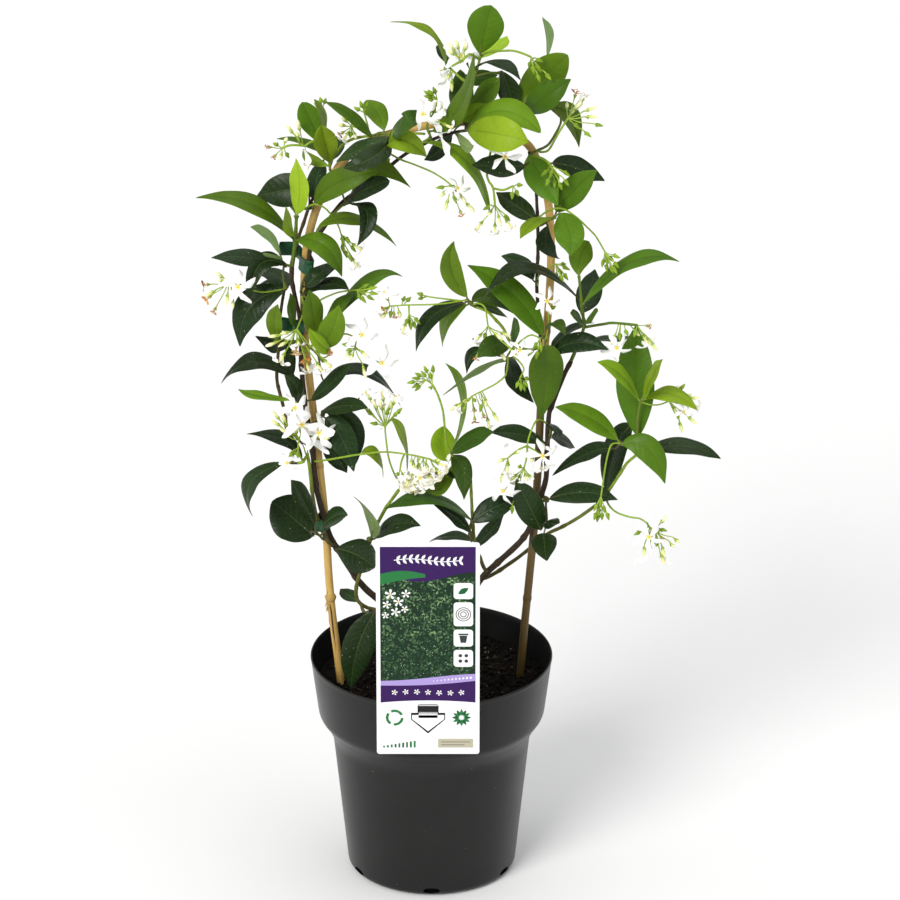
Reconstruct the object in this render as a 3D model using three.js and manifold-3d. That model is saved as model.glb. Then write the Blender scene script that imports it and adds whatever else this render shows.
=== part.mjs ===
// Star jasmine trained on a bamboo hoop, in its nursery pot.
// Millimetres, +Z up. The origin is the centre of the pot's flat underside.
// +X is to the right and -Y is the side of the label.
import * as THREE from 'three'
import { mergeVertices } from 'three/addons/utils/BufferGeometryUtils.js'
import Module from 'manifold-3d'

const wasm = await Module()
wasm.setup()

// ---------------------------------------------------------------- driving dimensions
const POT_SEGMENTS = 28
const POT_HEIGHT = 190
const POT_RIM_RADIUS = 100
const POT_WALL = 1.6
const POT_FLOOR = 2
const BASE_FLAT_RADIUS = 66
const COLLAR_FOOT_RADIUS = 93.4
const COLLAR_FOOT_Z = 139
const DRAIN_HOLES = 6
const DRAIN_WIDTH = 14
const DRAIN_HEIGHT = 6
const MIX_TOP = 167
const MIX_GAP = 0.35
const MIX_BUMP = 1.6
const STEM_GAP = 0.35
const HOOP_RADIUS = 3.4
const HOOP_SIDES = 8
const STEM_SIDES = 6
const BRANCH_SIDES = 5
const TWIG_SIDES = 3
const TIE_WALL = 1.0
const TIE_TAIL = [[-3.0, 2.4], [-6.9, 15.2], [-22, 16.2], [-22, 15.2], [-7.8, 14.2], [-4.0, 2.7]]
const TIE_TAIL_LOW = -1.6
const TIE_TAIL_HEIGHT = 12
const LEAF_HALF_THICKNESS = 0.45
const PETIOLE_RADIUS = 0.75
const PEDICEL_RADIUS = 0.45
const HUB_RADIUS = 1.3
const LABEL_X = -2.4
const LABEL_WIDTH = 83
const LABEL_LOW = 147.8
const LABEL_HIGH = 335.3
const LABEL_BACK_Y = -100.45
const LABEL_THICKNESS = 0.8
const LABEL_CORNER = 2
const TONGUE_TOP = 191.6
const TONGUE_NECK = 15.4
const TONGUE_SHOULDER_Z = 184
const TONGUE_TIP_Z = 168.2
const TONGUE_HEAD = 26
const TONGUE_GAP = 0.8
const SLIT_LOW = 181.6
const SLIT_HIGH = 184.6

const HOOP_PATH = [[-73.4,-6.8,105],[-73.7,-6.8,147],[-74.4,-6.8,160.9],[-81.5,-7.4,230.5],[-84.4,-7.7,272.4],[-86.4,-7.9,314.3],[-100.6,-9.1,467.5],[-101.4,-9.2,481.5],[-101.3,-9.2,509.4],[-100.1,-9.1,537.4],[-98.7,-9,551.3],[-96,-8.8,565],[-92.3,-8.6,578.5],[-87.4,-8.2,591.6],[-81.2,-7.7,604.1],[-74.3,-7.1,616.3],[-65.4,-6.4,627],[-54.5,-5.5,635.7],[-41.9,-4.5,641.7],[-28.6,-3.4,645.8],[-1.3,-1.2,651.3],[12.6,0,652.9],[26.5,1.1,653],[40.3,2.2,650.8],[53.7,3.3,647],[66.2,4.3,640.9],[77.2,5.2,632.5],[84.1,5.8,620.4],[88.7,6.2,607.2],[91.8,6.4,593.6],[94,6.6,579.8],[95.2,6.7,565.8],[96.1,6.7,537.9],[95.3,6.6,509.9],[89.6,6.1,426.2],[87.1,5.9,356.3],[84.9,5.7,314.3],[73,4.7,160.9],[71.9,4.7,105]]

// stems: name, start and end radius, path
const STEMS = [
  ['vine_left_main', 3.3, 1.6, [[-2.9,4,130],[-5.5,4,152.1],[-7.8,4,162.9],[-13,4.1,184.5],[-16.1,4.1,195.2],[-20,3.8,205.6],[-25.1,3.1,215.4],[-31.2,2.2,224.7],[-38.2,1.3,233.2],[-46.2,0,240.9],[-53.5,-1.9,249],[-59.8,-4,257.9],[-70.1,-8.6,277],[-79.7,-14,296.3],[-83.5,-15.6,306.6],[-89.2,-16,328.1],[-91.7,-16,338.9],[-93.5,-16,349.9],[-96.3,-16.9,383.1],[-101.9,-17.7,427.1],[-103.6,-18,449.3],[-104.6,-18,493.7],[-106.5,-17.4,504.7],[-110.7,-14.8,526.3],[-110.4,-14,537.4]]],
  ['vine_left_second', 1.7, 1.4, [[-80.9,-18.1,295.7],[-85.5,-23,303.6],[-89.3,-22.6,313.4],[-92.6,-22,323.4],[-95,-22,333.6],[-96.4,-21.8,344],[-97.9,-21.7,365],[-99.3,-22.2,375.4],[-101.6,-23,385.6]]],
  ['vine_left_outer', 1.5, 1.2, [[-101.8,-23.1,386.4],[-108.3,-22,393],[-116,-19.6,399.8],[-117.2,-16.6,409.9],[-119.9,-14.2,420],[-122.4,-12.4,430.2],[-123.7,-11.2,440.7],[-123.4,-10.3,451.3],[-121.8,-9,472.5],[-120.1,-9,493.8],[-117.2,-9,515]]],
  ['vine_left_upper', 2, 1.1, [[-102.1,-19.5,498.1],[-100.5,-20.9,509.2],[-98.2,-20.3,520.1],[-97,-19.5,531.2],[-96.8,-18.7,542.4],[-95.3,-16.5,553.2],[-89.7,-12.9,562.1],[-83.5,-11.8,571.3],[-77.5,-12,580.8],[-70.6,-11.8,589.5],[-62.1,-10.9,596.8],[-44.2,-11,610.3],[-18.2,-11,631.7],[-8.5,-10.9,637.2],[1.3,-11.6,642.7],[11.5,-12.5,647.3],[22.4,-12.4,649.9],[33.5,-11.8,651.1],[44.6,-10.7,650.5],[55.5,-9.4,648.1],[65.7,-8,643.8]]],
  ['vine_left_back', 1.5, 1.1, [[-110.8,-11.5,525.5],[-111.4,-4.6,533.1],[-109.3,-0.6,542.8],[-106.2,2.2,552.5],[-96.2,2,582.9],[-91.5,1.9,592.4],[-85.2,2.1,601],[-78.7,2.9,609.4],[-69.7,4.3,614.9],[-60,5.4,619.1],[-40.2,7,626.8]]],
  ['vine_top_green', 1.2, 1, [[-78.9,0.9,611.2],[-79.6,-7.1,619.2],[-77,-12.7,628.8],[-70.6,-14.6,638.1],[-61.3,-15.1,644.4],[-50.1,-15,646.9],[-38.7,-14.9,648.5],[-27.2,-14.9,649.5],[-15.8,-15.8,649.7],[-4.4,-17,649.4]]],
  ['vine_inner_olive', 1.6, 1.4, [[-29.2,-1.2,217.9],[-35.8,-5.3,225.2],[-43.6,-7.5,232.1],[-53.2,-9.4,236],[-60.3,-11,243.5],[-61.6,-12,253.8],[-59.5,-12.6,264.3],[-56.6,-12.9,274.6],[-46.9,-13.1,305.1],[-42.9,-12.9,315],[-37.8,-12.2,324.4],[-32.2,-11.9,333.4],[-26.1,-12,342.2]]],
  ['vine_right_main', 3.2, 1.8, [[1.4,14.5,130],[2.5,14.3,140.8],[4.5,14,151.4],[13.3,12.7,182.8],[23.5,10.5,213.6],[35.3,7.4,243.8],[40.1,6.2,253.4],[46.5,5,262],[61.3,2.3,277.7],[68.4,0.5,285.7],[74.7,-1.4,294.3],[79.9,-3,303.7],[86.1,-3,324.5],[89.9,-3.1,334.6],[92.5,-2.6,345.2],[93.7,-2,355.9],[94.9,-0.2,399.3],[97.1,0.5,409.8],[100.9,1,420],[108.2,-0.1,440.4],[112.7,0,450.2]]],
  ['vine_right_branch', 1.9, 1.4, [[44.6,9.2,254.1],[53.9,14.3,257.2],[63.1,15.8,263.2],[72,16.1,269.9],[80.5,15.9,277],[88,15.1,285.1],[95.9,13.2,292.7],[104.6,9.4,298.5],[121,2.5,311.8],[136.1,-3.4,327],[142.5,-6.1,335.6],[147.7,-8.3,345.2],[152.8,-9.5,354.9],[158.3,-10,364.6],[165.9,-11,372.6]]],
  ['vine_right_upper', 1.6, 1.2, [[94.6,-2.3,409.9],[92.3,-7,419.8],[90.6,-9.3,430.5],[88.5,-8.1,452.7],[87.7,-6.4,475],[85.1,-3.8,508.3],[84.8,-3,530.6],[85.4,-3,552.9],[84.9,-3,575.3],[83.1,-4,597.5],[77.7,-6,630.5]]],
  ['vine_centre_shoot', 1.3, 1.1, [[86,-9.5,465.6],[79.8,-17.6,466.8],[70.6,-20.1,469.8],[62.7,-20.1,475.9],[58.5,-20,485.2],[52.2,-20,493.3],[45.2,-20,500.7],[36,-20,504.7]]],
  ['vine_low_shoot', 1.6, 1.2, [[44,2.5,264.9],[41.2,-3.6,274],[38.5,-8.8,283.6],[36.1,-11.6,294.3],[34.6,-13.1,305.4],[33.6,-14,316.7],[33,-14.7,327.9],[32.3,-15,350.6]]],
]

// ties: name, origin, axis, across, height, inner outline (the wall is added outside it)
const TIES = [
  ['tie_upper', [-99.98,-9.14,538.8], [0.0869,0.0061,0.9962], [0.9962,0,-0.0869], 12, [[-4.16,0],[-3.85,-1.58],[0.58,-10.63],[1.12,-11.44],[2.54,-12.6],[3.54,-12.8],[4.53,-12.6],[5.37,-12.04],[5.93,-11.2],[6.12,-10.21],[4.25,0.03],[3.94,1.59],[3.04,2.94],[1.7,3.83],[0.11,4.15],[-1.61,3.82],[-2.95,2.92],[-3.85,1.58]]],
  ['tie_middle', [-104.25,-18.03,487], [-0.042,0.0062,0.9991], [0.9991,0,0.042], 9, [[-19.02,9.18],[-18.44,7.79],[-0.94,-2.34],[0.02,-2.53],[0.98,-2.34],[1.8,-1.79],[2.35,-0.97],[2.54,-0.01],[2.35,0.96],[1.8,1.78],[1,2.32],[-15.18,10.84],[-16.87,11.15],[-18.44,10.58]]],
  ['tie_lower', [-86.54,-7.87,315.99], [-0.0785,-0.007,0.9969], [0.9969,0,0.0785], 9, [[-6.82,-14.33],[-6.15,-15.95],[-4.69,-16.68],[-3.56,-16.99],[-2.23,-17.24],[-0.59,-16.56],[3.76,-10.2],[4.45,-9.17],[4.69,-7.95],[4.14,0.02],[3.83,1.58],[2.93,2.93],[1.59,3.82],[0.01,4.14],[-1.61,3.82],[-2.95,2.92],[-3.85,1.58],[-4.16,0.02]]],
]

// sprays: each is one growth of twigs, leaves and flower parts
//   twigs   [start radius, end radius, path]
//   leaves  [base, middle, tip, width direction, width, fold angle in degrees, outline, petiole path to the base]
//   hubs    [end of a peduncle that carries several flower stalks]
//   buds    [foot, tip, radius]
//   flowers [foot, throat, facing, radius]
//   curls   [foot, centre, size]
//   petals  [foot, tip, width]
const SPRAYS = [
  { name: 'shoot_top',
    twigs: [[1.25,0.85,[[27.9,-11.8,653.4],[30.6,-8.1,673.7],[38.9,2,705.8]]],
      [0.95,0.95,[[35,-2.4,692],[47.8,-4.5,695.9],[54.5,-6,696.1]]],
      [0.95,0.95,[[33,-4.5,685.1],[22.8,-4.9,692.5],[13.7,-4,701.2]]],
      [0.95,0.95,[[38.5,1.5,704.5],[30.4,-6.4,711.8],[25.5,-8,707.5]]],
      [0.95,0.85,[[37.6,0.6,705.4],[42.5,-1.7,710.7],[57.1,-3.2,713.5],[64.6,-3.9,713.8],[78.8,-5,709]]],
      [0.95,0.95,[[25.5,-8,707.5],[16.9,-9,702.9]]]],
    leaves: [[[38.8,-3.6,711],[41.8,-9.4,731.8],[47.2,-15.1,754.8],[-0.976,0.074,0.206],29.4,5,"o",[[40.7,-0.5,708.4],[38.8,-3.6,711]]],
      [[38.9,9,703.5],[50.9,31.9,705],[60.6,54.9,706.7],[-0.895,0.431,-0.111],19.4,5,"e",[[38.8,1.7,706],[38.9,9,703.5]]],
      [[34.1,-5.3,700],[52.8,-20.5,709.2],[70.6,-36.1,699.7],[0.644,0.764,-0.024],19.4,5,"e",[[36.9,-0.3,697.3],[34.1,-5.3,700]]],
      [[56,-11.5,699.6],[61.6,-7.7,681],[64.8,-15.4,665.5],[0.968,0.069,0.24],22,30,"e",[[54.4,-5.7,696],[56,-11.5,699.6]]],
      [[53.7,-12.5,694.2],[43.5,-12.4,681.8],[31,-14,669.9],[0.531,-0.716,-0.453],19.4,5,"e",[[54.6,-5.7,696.2],[53.7,-12.5,694.2]]],
      [[25.5,-1.3,688.8],[38.9,7.7,687.4],[53.2,16.7,686.9],[-0.141,0.317,0.938],13.1,5,"e",[[25.4,-5.1,690.8],[25.5,-1.3,688.8]]],
      [[12.2,-0.9,701],[-2,5.6,726.1],[-32.6,12.2,732.1],[-0.164,-0.971,0.173],23.3,5,"e",[[13.9,-4.3,701.3],[12.2,-0.9,701]]],
      [[14.5,0.2,699.8],[9.8,12.3,704.9],[5,23.2,709.6],[-0.739,-0.496,0.456],13,5,"e",[[13.7,-4.3,701.4],[14.5,0.2,699.8]]],
      [[26.3,-6.2,658.9],[24,7.5,675.8],[29.5,21.3,696.1],[-0.997,0.025,0.067],19.6,5,"e",[[29,-10.7,660.8],[26.3,-6.2,658.9]]],
      [[23.9,-14,659.2],[34.1,-18.2,667.2],[45.8,-20.2,675.4],[-0.518,0.281,0.808],15.5,5,"e",[[28.8,-10.8,657.7],[23.9,-14,659.2]]]],
    hubs: [[25.5,-8,707.5], [78.8,-5,709]],
    buds: [[[25.5,-8,707.5],[14.5,-8.6,722.5],1.05], [[25.5,-8,707.5],[19.2,-9.1,725.1],1.05], [[25.5,-8,707.5],[28.6,-10.2,723],1.05], [[16,-4.2,699.1],[12.9,-5.9,690.3],1.05], [[17.1,-4.3,698],[16.9,-4.6,680],1.05], [[78.8,-5,709],[80.9,-24.3,701.4],0.85], [[78.8,-5,709],[86.2,-30.4,705.1],0.85], [[78.8,-5,709],[90.8,4.2,690.3],0.85]],
    flowers: [[[25.5,-8,707.5],[23.9,-2.6,709],[0.128,-0.784,0.607],14.7], [[14.6,-4.1,700.4],[7.5,-7.6,699.2],[-0.92,-0.352,-0.172],6.5]],
  },
  { name: 'shoot_top_right',
    twigs: [[1.25,0.85,[[61.2,-9.5,648.6],[65.5,-13,661.7],[74,-10.7,673.1],[81,-6.1,684.9],[90.6,-2,703.9]]]],
    leaves: [[[71.1,-9.5,671.7],[89,-10,694.2],[107.4,-17.4,714.8],[-0.721,0.234,0.652],29.4,5,"r",[[72.3,-11.5,670.5],[71.1,-9.5,671.7]]],
      [[75.1,-3.8,663.1],[90.3,-29.3,684.3],[109.7,-27,698.3],[-0.591,0.271,0.76],22,5,"e",[[71.1,-11.7,669.7],[75.1,-3.8,663.1]]],
      [[90.7,4.4,703.4],[93.4,24.6,713.3],[88.1,44.8,725.7],[0.261,-0.454,0.852],19.4,5,"e",[[90.6,-2.3,703.9],[90.7,4.4,703.4]]]],
  },
  { name: 'leaves_crown',
    twigs: [[1.25,0.95,[[29.5,-14.3,652.5],[30.2,-20,657.1]]],
      [0.95,0.95,[[30.2,-20,657.1],[38.9,-16.5,647.5],[43.9,-16.4,643],[49.1,-17.2,638.9],[54.6,-20,636.3]]],
      [0.95,0.85,[[48.4,-17.1,639.5],[44.4,-24.7,620.4],[45.6,-26.6,613.9],[49.2,-27,607.9],[50.8,-28,594.1]]],
      [0.95,0.95,[[49.2,-27,607.7],[57.3,-28,606.7],[64.9,-28,610]]]],
    leaves: [[[28.6,-26,655.9],[54.2,-56.6,663.3],[76.6,-62.9,658.9],[0.189,0.322,0.928],28.6,5,"e",[[29.9,-16.8,654.7],[28.6,-26,655.9]]],
      [[32.5,-24.9,662.1],[59.8,-36.8,674.5],[86.3,-41.9,659],[0.262,0.705,0.659],26,5,"r",[[30.1,-19.8,656.9],[32.5,-24.9,662.1]]],
      [[16.9,-5,644.4],[7.4,-5,631.9],[-5.3,-4,623.1],[0.305,-0.882,-0.36],19.4,5,"e",[[30.3,-18.7,655.8],[26.3,-17,657.7],[22.4,-9,653.3],[19.2,-5,648.6],[16.9,-5,644.4]]],
      [[20,-22,651.2],[27,-51.7,652.5],[34,-56.7,653.4],[0.066,-0.038,-0.997],13,5,"e",[[30.2,-17,654.9],[20,-22,651.2]]]],
    hubs: [[54.6,-20,636.3], [50.8,-28,594.1], [64.9,-28,610]],
    buds: [[[54.6,-20,636.3],[49.3,-4.1,624.9],0.85], [[54.6,-20,636.3],[64,-23.4,641.7],0.85], [[50.8,-28,594.1],[45.3,-31.8,586.3],1.05], [[50.8,-28,594.1],[55.5,-32.5,578.1],1.05], [[50.8,-28,594.1],[62.7,-28.1,580.7],0.85], [[50.8,-28,594.1],[41.3,-36.9,593.2],0.85], [[64.9,-28,610],[69.6,-29.3,602.1],0.85], [[64.9,-28,610],[64.1,-33.2,601],0.85], [[64.9,-28,610],[72.7,-33.2,612.7],0.85]],
    flowers: [[[54.6,-20,636.3],[58.4,-31.8,635.5],[-0.051,-0.911,0.41],13.1], [[50.8,-28,594.1],[35.8,-35,575.7],[-0.609,-0.129,-0.783],7.3], [[50.8,-28,594.1],[50.8,-31.7,571.1],[0.002,-0.143,-0.99],7.3], [[50.8,-28,594.1],[64.2,-33.1,576.7],[0.602,-0.143,-0.786],7.3]],
  },
  { name: 'leaves_crown_left',
    twigs: [[1.25,0.95,[[0.1,-13.9,644.2],[-0.4,-20,649.6]]],
      [0.95,0.95,[[-0.4,-20,649.6],[-2.7,-21,656.7],[-0.4,-20,663.7]]],
      [0.85,0.7,[[-0.4,-20,663.7],[3.9,-18.2,670.4],[5.1,-16,678.1]]]],
    leaves: [[[1.2,-22,653.6],[24.7,-30.7,679.8],[33.9,-37.9,724],[-0.261,0.909,0.327],27,5,"e",[[-1.7,-20.3,652.7],[1.2,-22,653.6]]],
      [[-5.9,-22,644.5],[27.1,-25.5,630.8],[46.9,-23.2,586.5],[0.138,0.985,0.105],27,5,"e",[[0.1,-16.1,646.5],[-5.9,-22,644.5]]]],
    hubs: [[-0.4,-20,663.7], [5.1,-16,678.1]],
    buds: [[[-0.4,-20,663.7],[2.8,-23.5,674.9],0.85], [[5.1,-16,678.1],[-5.1,-18.4,681.4],0.85], [[5.1,-16,678.1],[-1.9,-20.3,687],0.85], [[5.1,-16,678.1],[2,-16.8,688.2],0.85]],
    flowers: [[[-0.4,-20,663.7],[-5.8,-27.8,669.7],[-0.119,-0.907,0.403],13.1], [[-0.4,-20,663.7],[9,-24,674.2],[0.754,-0.24,0.612],7.3], [[-0.4,-20,663.7],[16.9,-40.3,662.5],[0.895,-0.172,-0.413],5.7]],
  },
  { name: 'leaves_top_b',
    twigs: [[1.25,0.95,[[-42.9,-17.3,649],[-38.1,-22,652],[-31.8,-25,649.7]]]],
    leaves: [[[-36.5,-18.1,652.3],[-42.1,-6.8,662.5],[-50.9,4.6,670.2],[-0.874,-0.477,-0.098],19.4,5,"o",[[-37.4,-22.7,651.7],[-36.5,-18.1,652.3]]],
      [[-30.9,-29.3,654.6],[-20.3,-65.1,674.4],[-10.3,-50.1,680.7],[0.043,0.799,0.6],19.4,5,"e",[[-31.8,-24.8,649.5],[-30.9,-29.3,654.6]]],
      [[-45.1,-27.7,649.8],[-61.3,-33.1,669.1],[-82.1,-37.1,682.8],[-0.029,-0.952,-0.304],19.4,5,"e",[[-40.6,-19.1,650.4],[-45.1,-27.7,649.8]]],
      [[-32.5,-30,651.5],[-52.7,-42.3,646.7],[-73.7,-51.3,638.3],[0.507,-0.824,-0.253],19.4,5,"e",[[-31.7,-24.7,649.6],[-32.5,-30,651.5]]],
      [[-31.7,-28.7,646.9],[-46.1,-63.4,645.9],[-68,-62.9,637.5],[0.68,-0.607,-0.412],19.4,5,"e",[[-31.8,-24.7,649.9],[-31.7,-28.7,646.9]]],
      [[-33.3,-31,646],[-20.5,-51.5,655.7],[-2.7,-41.4,638.9],[0.315,0.317,0.894],20.4,20,"e",[[-31.7,-24.7,649.9],[-33.3,-31,646]]]],
  },
  { name: 'leaves_upper_right_a',
    twigs: [[1.25,0.85,[[79.1,-8,624.4],[78.6,-11,630.1],[84.3,-9.2,633.1],[90,-5.9,634.5],[94.7,-2.5,637.7],[101.4,3.1,648],[103,5.4,654.1],[100.2,6,660.1],[94.2,6,663.1]]],
      [0.95,0.95,[[78.6,-10.8,629.7],[89.3,-16.6,628.4],[94.1,-18,624.8]]],
      [0.95,0.85,[[83.3,-9.5,632.6],[88.4,-14.9,633.7],[93.4,-17.7,637],[107.9,-18,663]]]],
    leaves: [[[74.5,-13.9,621.7],[53,-25.3,625.7],[32.5,-38.3,631.2],[0.18,-0.612,-0.77],19.4,5,"e",[[79.1,-9.2,627.3],[74.5,-13.9,621.7]]],
      [[76.8,-13,629.7],[87.2,-11,611.4],[100.5,-25.2,592.2],[0.857,0.159,0.491],25.3,5,"e",[[78.9,-9.8,628.2],[76.8,-13,629.7]]],
      [[95.8,-13,623.8],[115.9,-0.7,615.3],[138.3,3.6,602.8],[0.139,0.622,0.771],19.4,5,"e",[[94,-18.3,624.8],[95.8,-13,623.8]]],
      [[93.5,11.1,661.3],[109,26.1,650.3],[118.5,41.1,617.3],[0.582,0.481,0.656],19.4,25,"e",[[94.3,5.7,663.2],[93.5,11.1,661.3]]]],
    hubs: [[94.1,-18,624.8], [107.9,-18,663]],
    buds: [[[94.1,-18,624.8],[87,-22.5,616.4],0.85], [[94.1,-18,624.8],[91,-22,607.8],0.85], [[94.1,-18,624.8],[98.2,-17.4,604.5],0.85], [[107.9,-18,663],[117.9,-19.3,676.7],1.05], [[107.9,-18,663],[130.4,-22.8,673.8],1.05], [[107.9,-18,663],[131.4,-18.4,664],1.05], [[107.9,-18,663],[135.4,-19.5,656.9],0.85], [[107.9,-18,663],[126.1,-20.1,648],0.85], [[107.9,-18,663],[117.4,-19,654.2],0.85]],
    curls: [[[107.9,-18,663],[114,-17.9,683.7],4.9], [[107.9,-18,663],[121.8,-17.7,680.3],4.1]],
  },
  { name: 'leaves_upper_right_b',
    twigs: [[1.25,0.95,[[87.2,-4.9,568.5],[91.7,-9.7,573.5],[98.6,-11,577.8]]]],
    leaves: [[[99.4,-9,581.2],[113.3,-14.4,602.6],[131.1,-20.6,620.7],[-0.716,0.255,0.65],22,5,"e",[[98.5,-11.2,577.5],[99.4,-9,581.2]]],
      [[102.3,-20.6,584.7],[109.1,-36.8,573.8],[109.8,-49.2,559.2],[0.973,0.057,0.222],24.5,5,"e",[[98.5,-10.7,577.6],[102.3,-20.6,584.7]]],
      [[94.5,-17,579.1],[83,-39.1,583.9],[70.1,-61.3,577.9],[0.862,-0.478,0.167],19.4,5,"e",[[94.4,-9.9,575],[94.5,-17,579.1]]],
      [[93,-12.8,570.8],[91.4,-23.6,557.1],[102.3,-34.4,551],[0.788,0.564,-0.249],19.4,5,"e",[[90.6,-8.4,572.6],[93,-12.8,570.8]]],
      [[83.5,-12.1,575.6],[67.6,-6.4,586.2],[51.8,3.6,593.5],[-0.591,-0.651,-0.477],19.4,5,"e",[[89.2,-6.6,570.3],[83.5,-12.1,575.6]]]],
  },
  { name: 'shoot_right_top',
    twigs: [[1.25,0.85,[[113.1,0,450.9],[119.6,-3.9,469.7],[122.4,-7.5,482.4],[118,-14,528.8]]],
      [0.95,0.85,[[122.4,-7.4,482.2],[127.1,-11.3,484.7],[146.1,-14,488.7],[165,-10,485.3]]]],
    leaves: [[[118.1,-10.4,527.5],[119,-3,540],[126.2,4,551.8],[-0.961,0.121,0.247],19.6,5,"o",[[118,-14.3,529],[118.1,-10.4,527.5]]],
      [[120.2,-3.9,493.3],[127.1,15.6,503.7],[132.3,35.1,516.1],[-0.953,0.134,0.272],21.2,5,"e",[[121.2,-9.7,495.9],[120.2,-3.9,493.3]]],
      [[121.5,-12.4,504.3],[160.3,-8.8,538.8],[198.2,-14.4,540.9],[-0.033,0.992,0.124],27,5,"e",[[120.3,-10.1,503.1],[121.5,-12.4,504.3]]],
      [[118.3,-11,508.1],[74.8,-28,541],[41.5,-28.4,513.9],[0.214,-0.973,-0.082],27,5,"e",[[120.4,-11,507.7],[118.3,-11,508.1]]],
      [[121.7,-11.6,486.8],[116.6,-21.1,496.6],[110.8,-29,503.1],[0.16,-0.726,-0.669],13,5,"e",[[122.2,-7.5,485.1],[121.7,-11.6,486.8]]],
      [[124.1,-12.4,489.7],[129.3,-21.3,497.5],[133,-30.3,505.3],[0.267,0.705,0.657],13,5,"e",[[121.7,-8,488.1],[124.1,-12.4,489.7]]],
      [[123.9,1.1,467.1],[144.5,17.4,462.4],[161.3,33.4,458.6],[-0.661,0.748,-0.06],19.4,5,"e",[[119.6,-4.5,470.9],[123.9,1.1,467.1]]]],
    hubs: [[165,-10,485.3]],
    buds: [[[150.3,-13.1,487.9],[144.4,-11.9,468.9],1.05], [[151.7,-12.8,487.7],[151.5,-12.2,472.4],0.85], [[154.7,-12.2,487.1],[157.8,-14.3,477.6],0.85], [[159.1,-11.2,486.4],[167.5,-10.9,476.2],1.05], [[165,-10,485.3],[178.1,-11.4,466.9],1.05], [[165,-10,485.3],[181.9,-15.6,465.2],1.05], [[165,-10,485.3],[162.6,-13.8,476.5],0.85]],
    flowers: [[[151.7,-12.8,487.7],[149,-16.2,468],[0.109,-0.993,-0.037],12.2], [[165,-10,485.3],[173.9,-13,470.2],[0.507,-0.188,-0.841],9.8]],
    curls: [[[165,-10,485.3],[174.7,-9.2,484.1],3.3]],
  },
  { name: 'shoot_top_left',
    twigs: [[1.25,0.85,[[-80.2,-7.1,623.9],[-81.6,-5.7,629.1],[-83.4,-5.8,648.5],[-85.5,-2,667.5]]],
      [0.95,0.95,[[-82,-6.1,635.8],[-86.5,-7.6,641.2],[-93.1,-8.1,640.3],[-99.1,-8,636.3]]],
      [0.95,0.95,[[-99.1,-8,636.3],[-111.4,-9.1,637.1],[-117.2,-9,634.9]]]],
    leaves: [[[-79.6,-3.6,625.5],[-99.5,5.3,634.9],[-122.5,8.6,636.3],[-0.258,-0.964,0.063],19.4,5,"e",[[-81.2,-6.6,626.9],[-79.6,-3.6,625.5]]],
      [[-84.2,-3.9,634.8],[-93.6,1.5,652.1],[-101.5,6.9,667.8],[-0.86,-0.397,-0.321],19.4,5,"o",[[-83.8,-6.9,638.3],[-84.2,-3.9,634.8]]],
      [[-82.3,-10.2,650.4],[-85,-21.9,666.9],[-90.8,-33.7,684.1],[-0.283,-0.752,-0.595],13,5,"e",[[-83.4,-5.5,647.8],[-82.3,-10.2,650.4]]],
      [[-78.6,-13.2,623.1],[-81.9,-28.7,646],[-85.3,-42.6,665.8],[-0.969,-0.105,-0.225],22,26,"o",[[-81.1,-6,626.9],[-78.6,-13.2,623.1]]],
      [[-78,-2.8,622.7],[-72.6,5.5,628.2],[-75.1,13.8,637],[-0.7,0.532,-0.476],13,5,"e",[[-81.2,-6.5,627],[-78,-2.8,622.7]]],
      [[-81.2,-2.4,617.5],[-93.4,7.8,618.9],[-101.5,18.1,624.6],[-0.724,-0.68,-0.113],13,5,"e",[[-81,-6.4,627.1],[-81.2,-2.4,617.5]]]],
    hubs: [[-99.1,-8,636.3], [-117.2,-9,634.9], [-85.5,-2,667.5]],
    buds: [[[-99.1,-8,636.3],[-114.5,-12.5,655.3],1.05], [[-99.1,-8,636.3],[-105,-10.7,658.9],1.05], [[-103.7,-8.4,636.6],[-105.9,-12.3,650.3],1.05], [[-117.2,-9,634.9],[-113.1,-10.3,643.8],1.05], [[-117.2,-9,634.9],[-118.8,-10.9,626.4],1.05], [[-117.2,-9,634.9],[-124.3,-7.8,638.7],0.85], [[-117.2,-9,634.9],[-111.7,-10.2,627],0.85], [[-85.5,-2,667.5],[-86.9,-5.9,676.3],0.85], [[-85.5,-2,667.5],[-82.3,-2,674.1],0.85], [[-85.5,-2,667.5],[-91.8,-1.1,669.7],0.85]],
    curls: [[[-99.1,-8,636.3],[-97.7,-7,621.7],4.1], [[-117.2,-9,634.9],[-128.1,-13.1,637.2],3.3], [[-117.2,-9,634.9],[-123.6,-9.5,627.6],3.3]],
  },
  { name: 'leaves_upper_left_c',
    twigs: [[1.25,0.95,[[-93.2,-0.1,584.2],[-94.5,-5,583.5],[-99.4,-17,586.7]]],
      [0.85,0.7,[[-99.4,-17,586.7],[-95.9,-22.3,591.2],[-90.4,-26.5,594.3],[-83.5,-27.3,591.3],[-74.9,-23.7,579],[-71.1,-17,565.6]]]],
    leaves: [[[-92.1,-20,592],[-72.6,-39.1,616.5],[-38.7,-42.7,627.8],[-0.319,0.509,0.799],22,5,"e",[[-94,-2.7,583.6],[-92.1,-20,592]]],
      [[-96.5,-3.5,599.5],[-115.6,-2.1,597.3],[-139,5.3,588.7],[0.167,-0.331,-0.929],27.8,5,"e",[[-95.1,-7.3,584.2],[-96.1,-7.4,584],[-96.5,-3.5,599.5]]],
      [[-92.5,7,586.4],[-90.8,21.6,598],[-85.3,33.6,610.6],[-0.856,0.454,-0.245],19.4,5,"e",[[-94.3,-3.3,583.8],[-91.9,-1.3,583.5],[-92.5,7,586.4]]]],
    hubs: [[-71.1,-17,565.6]],
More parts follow.
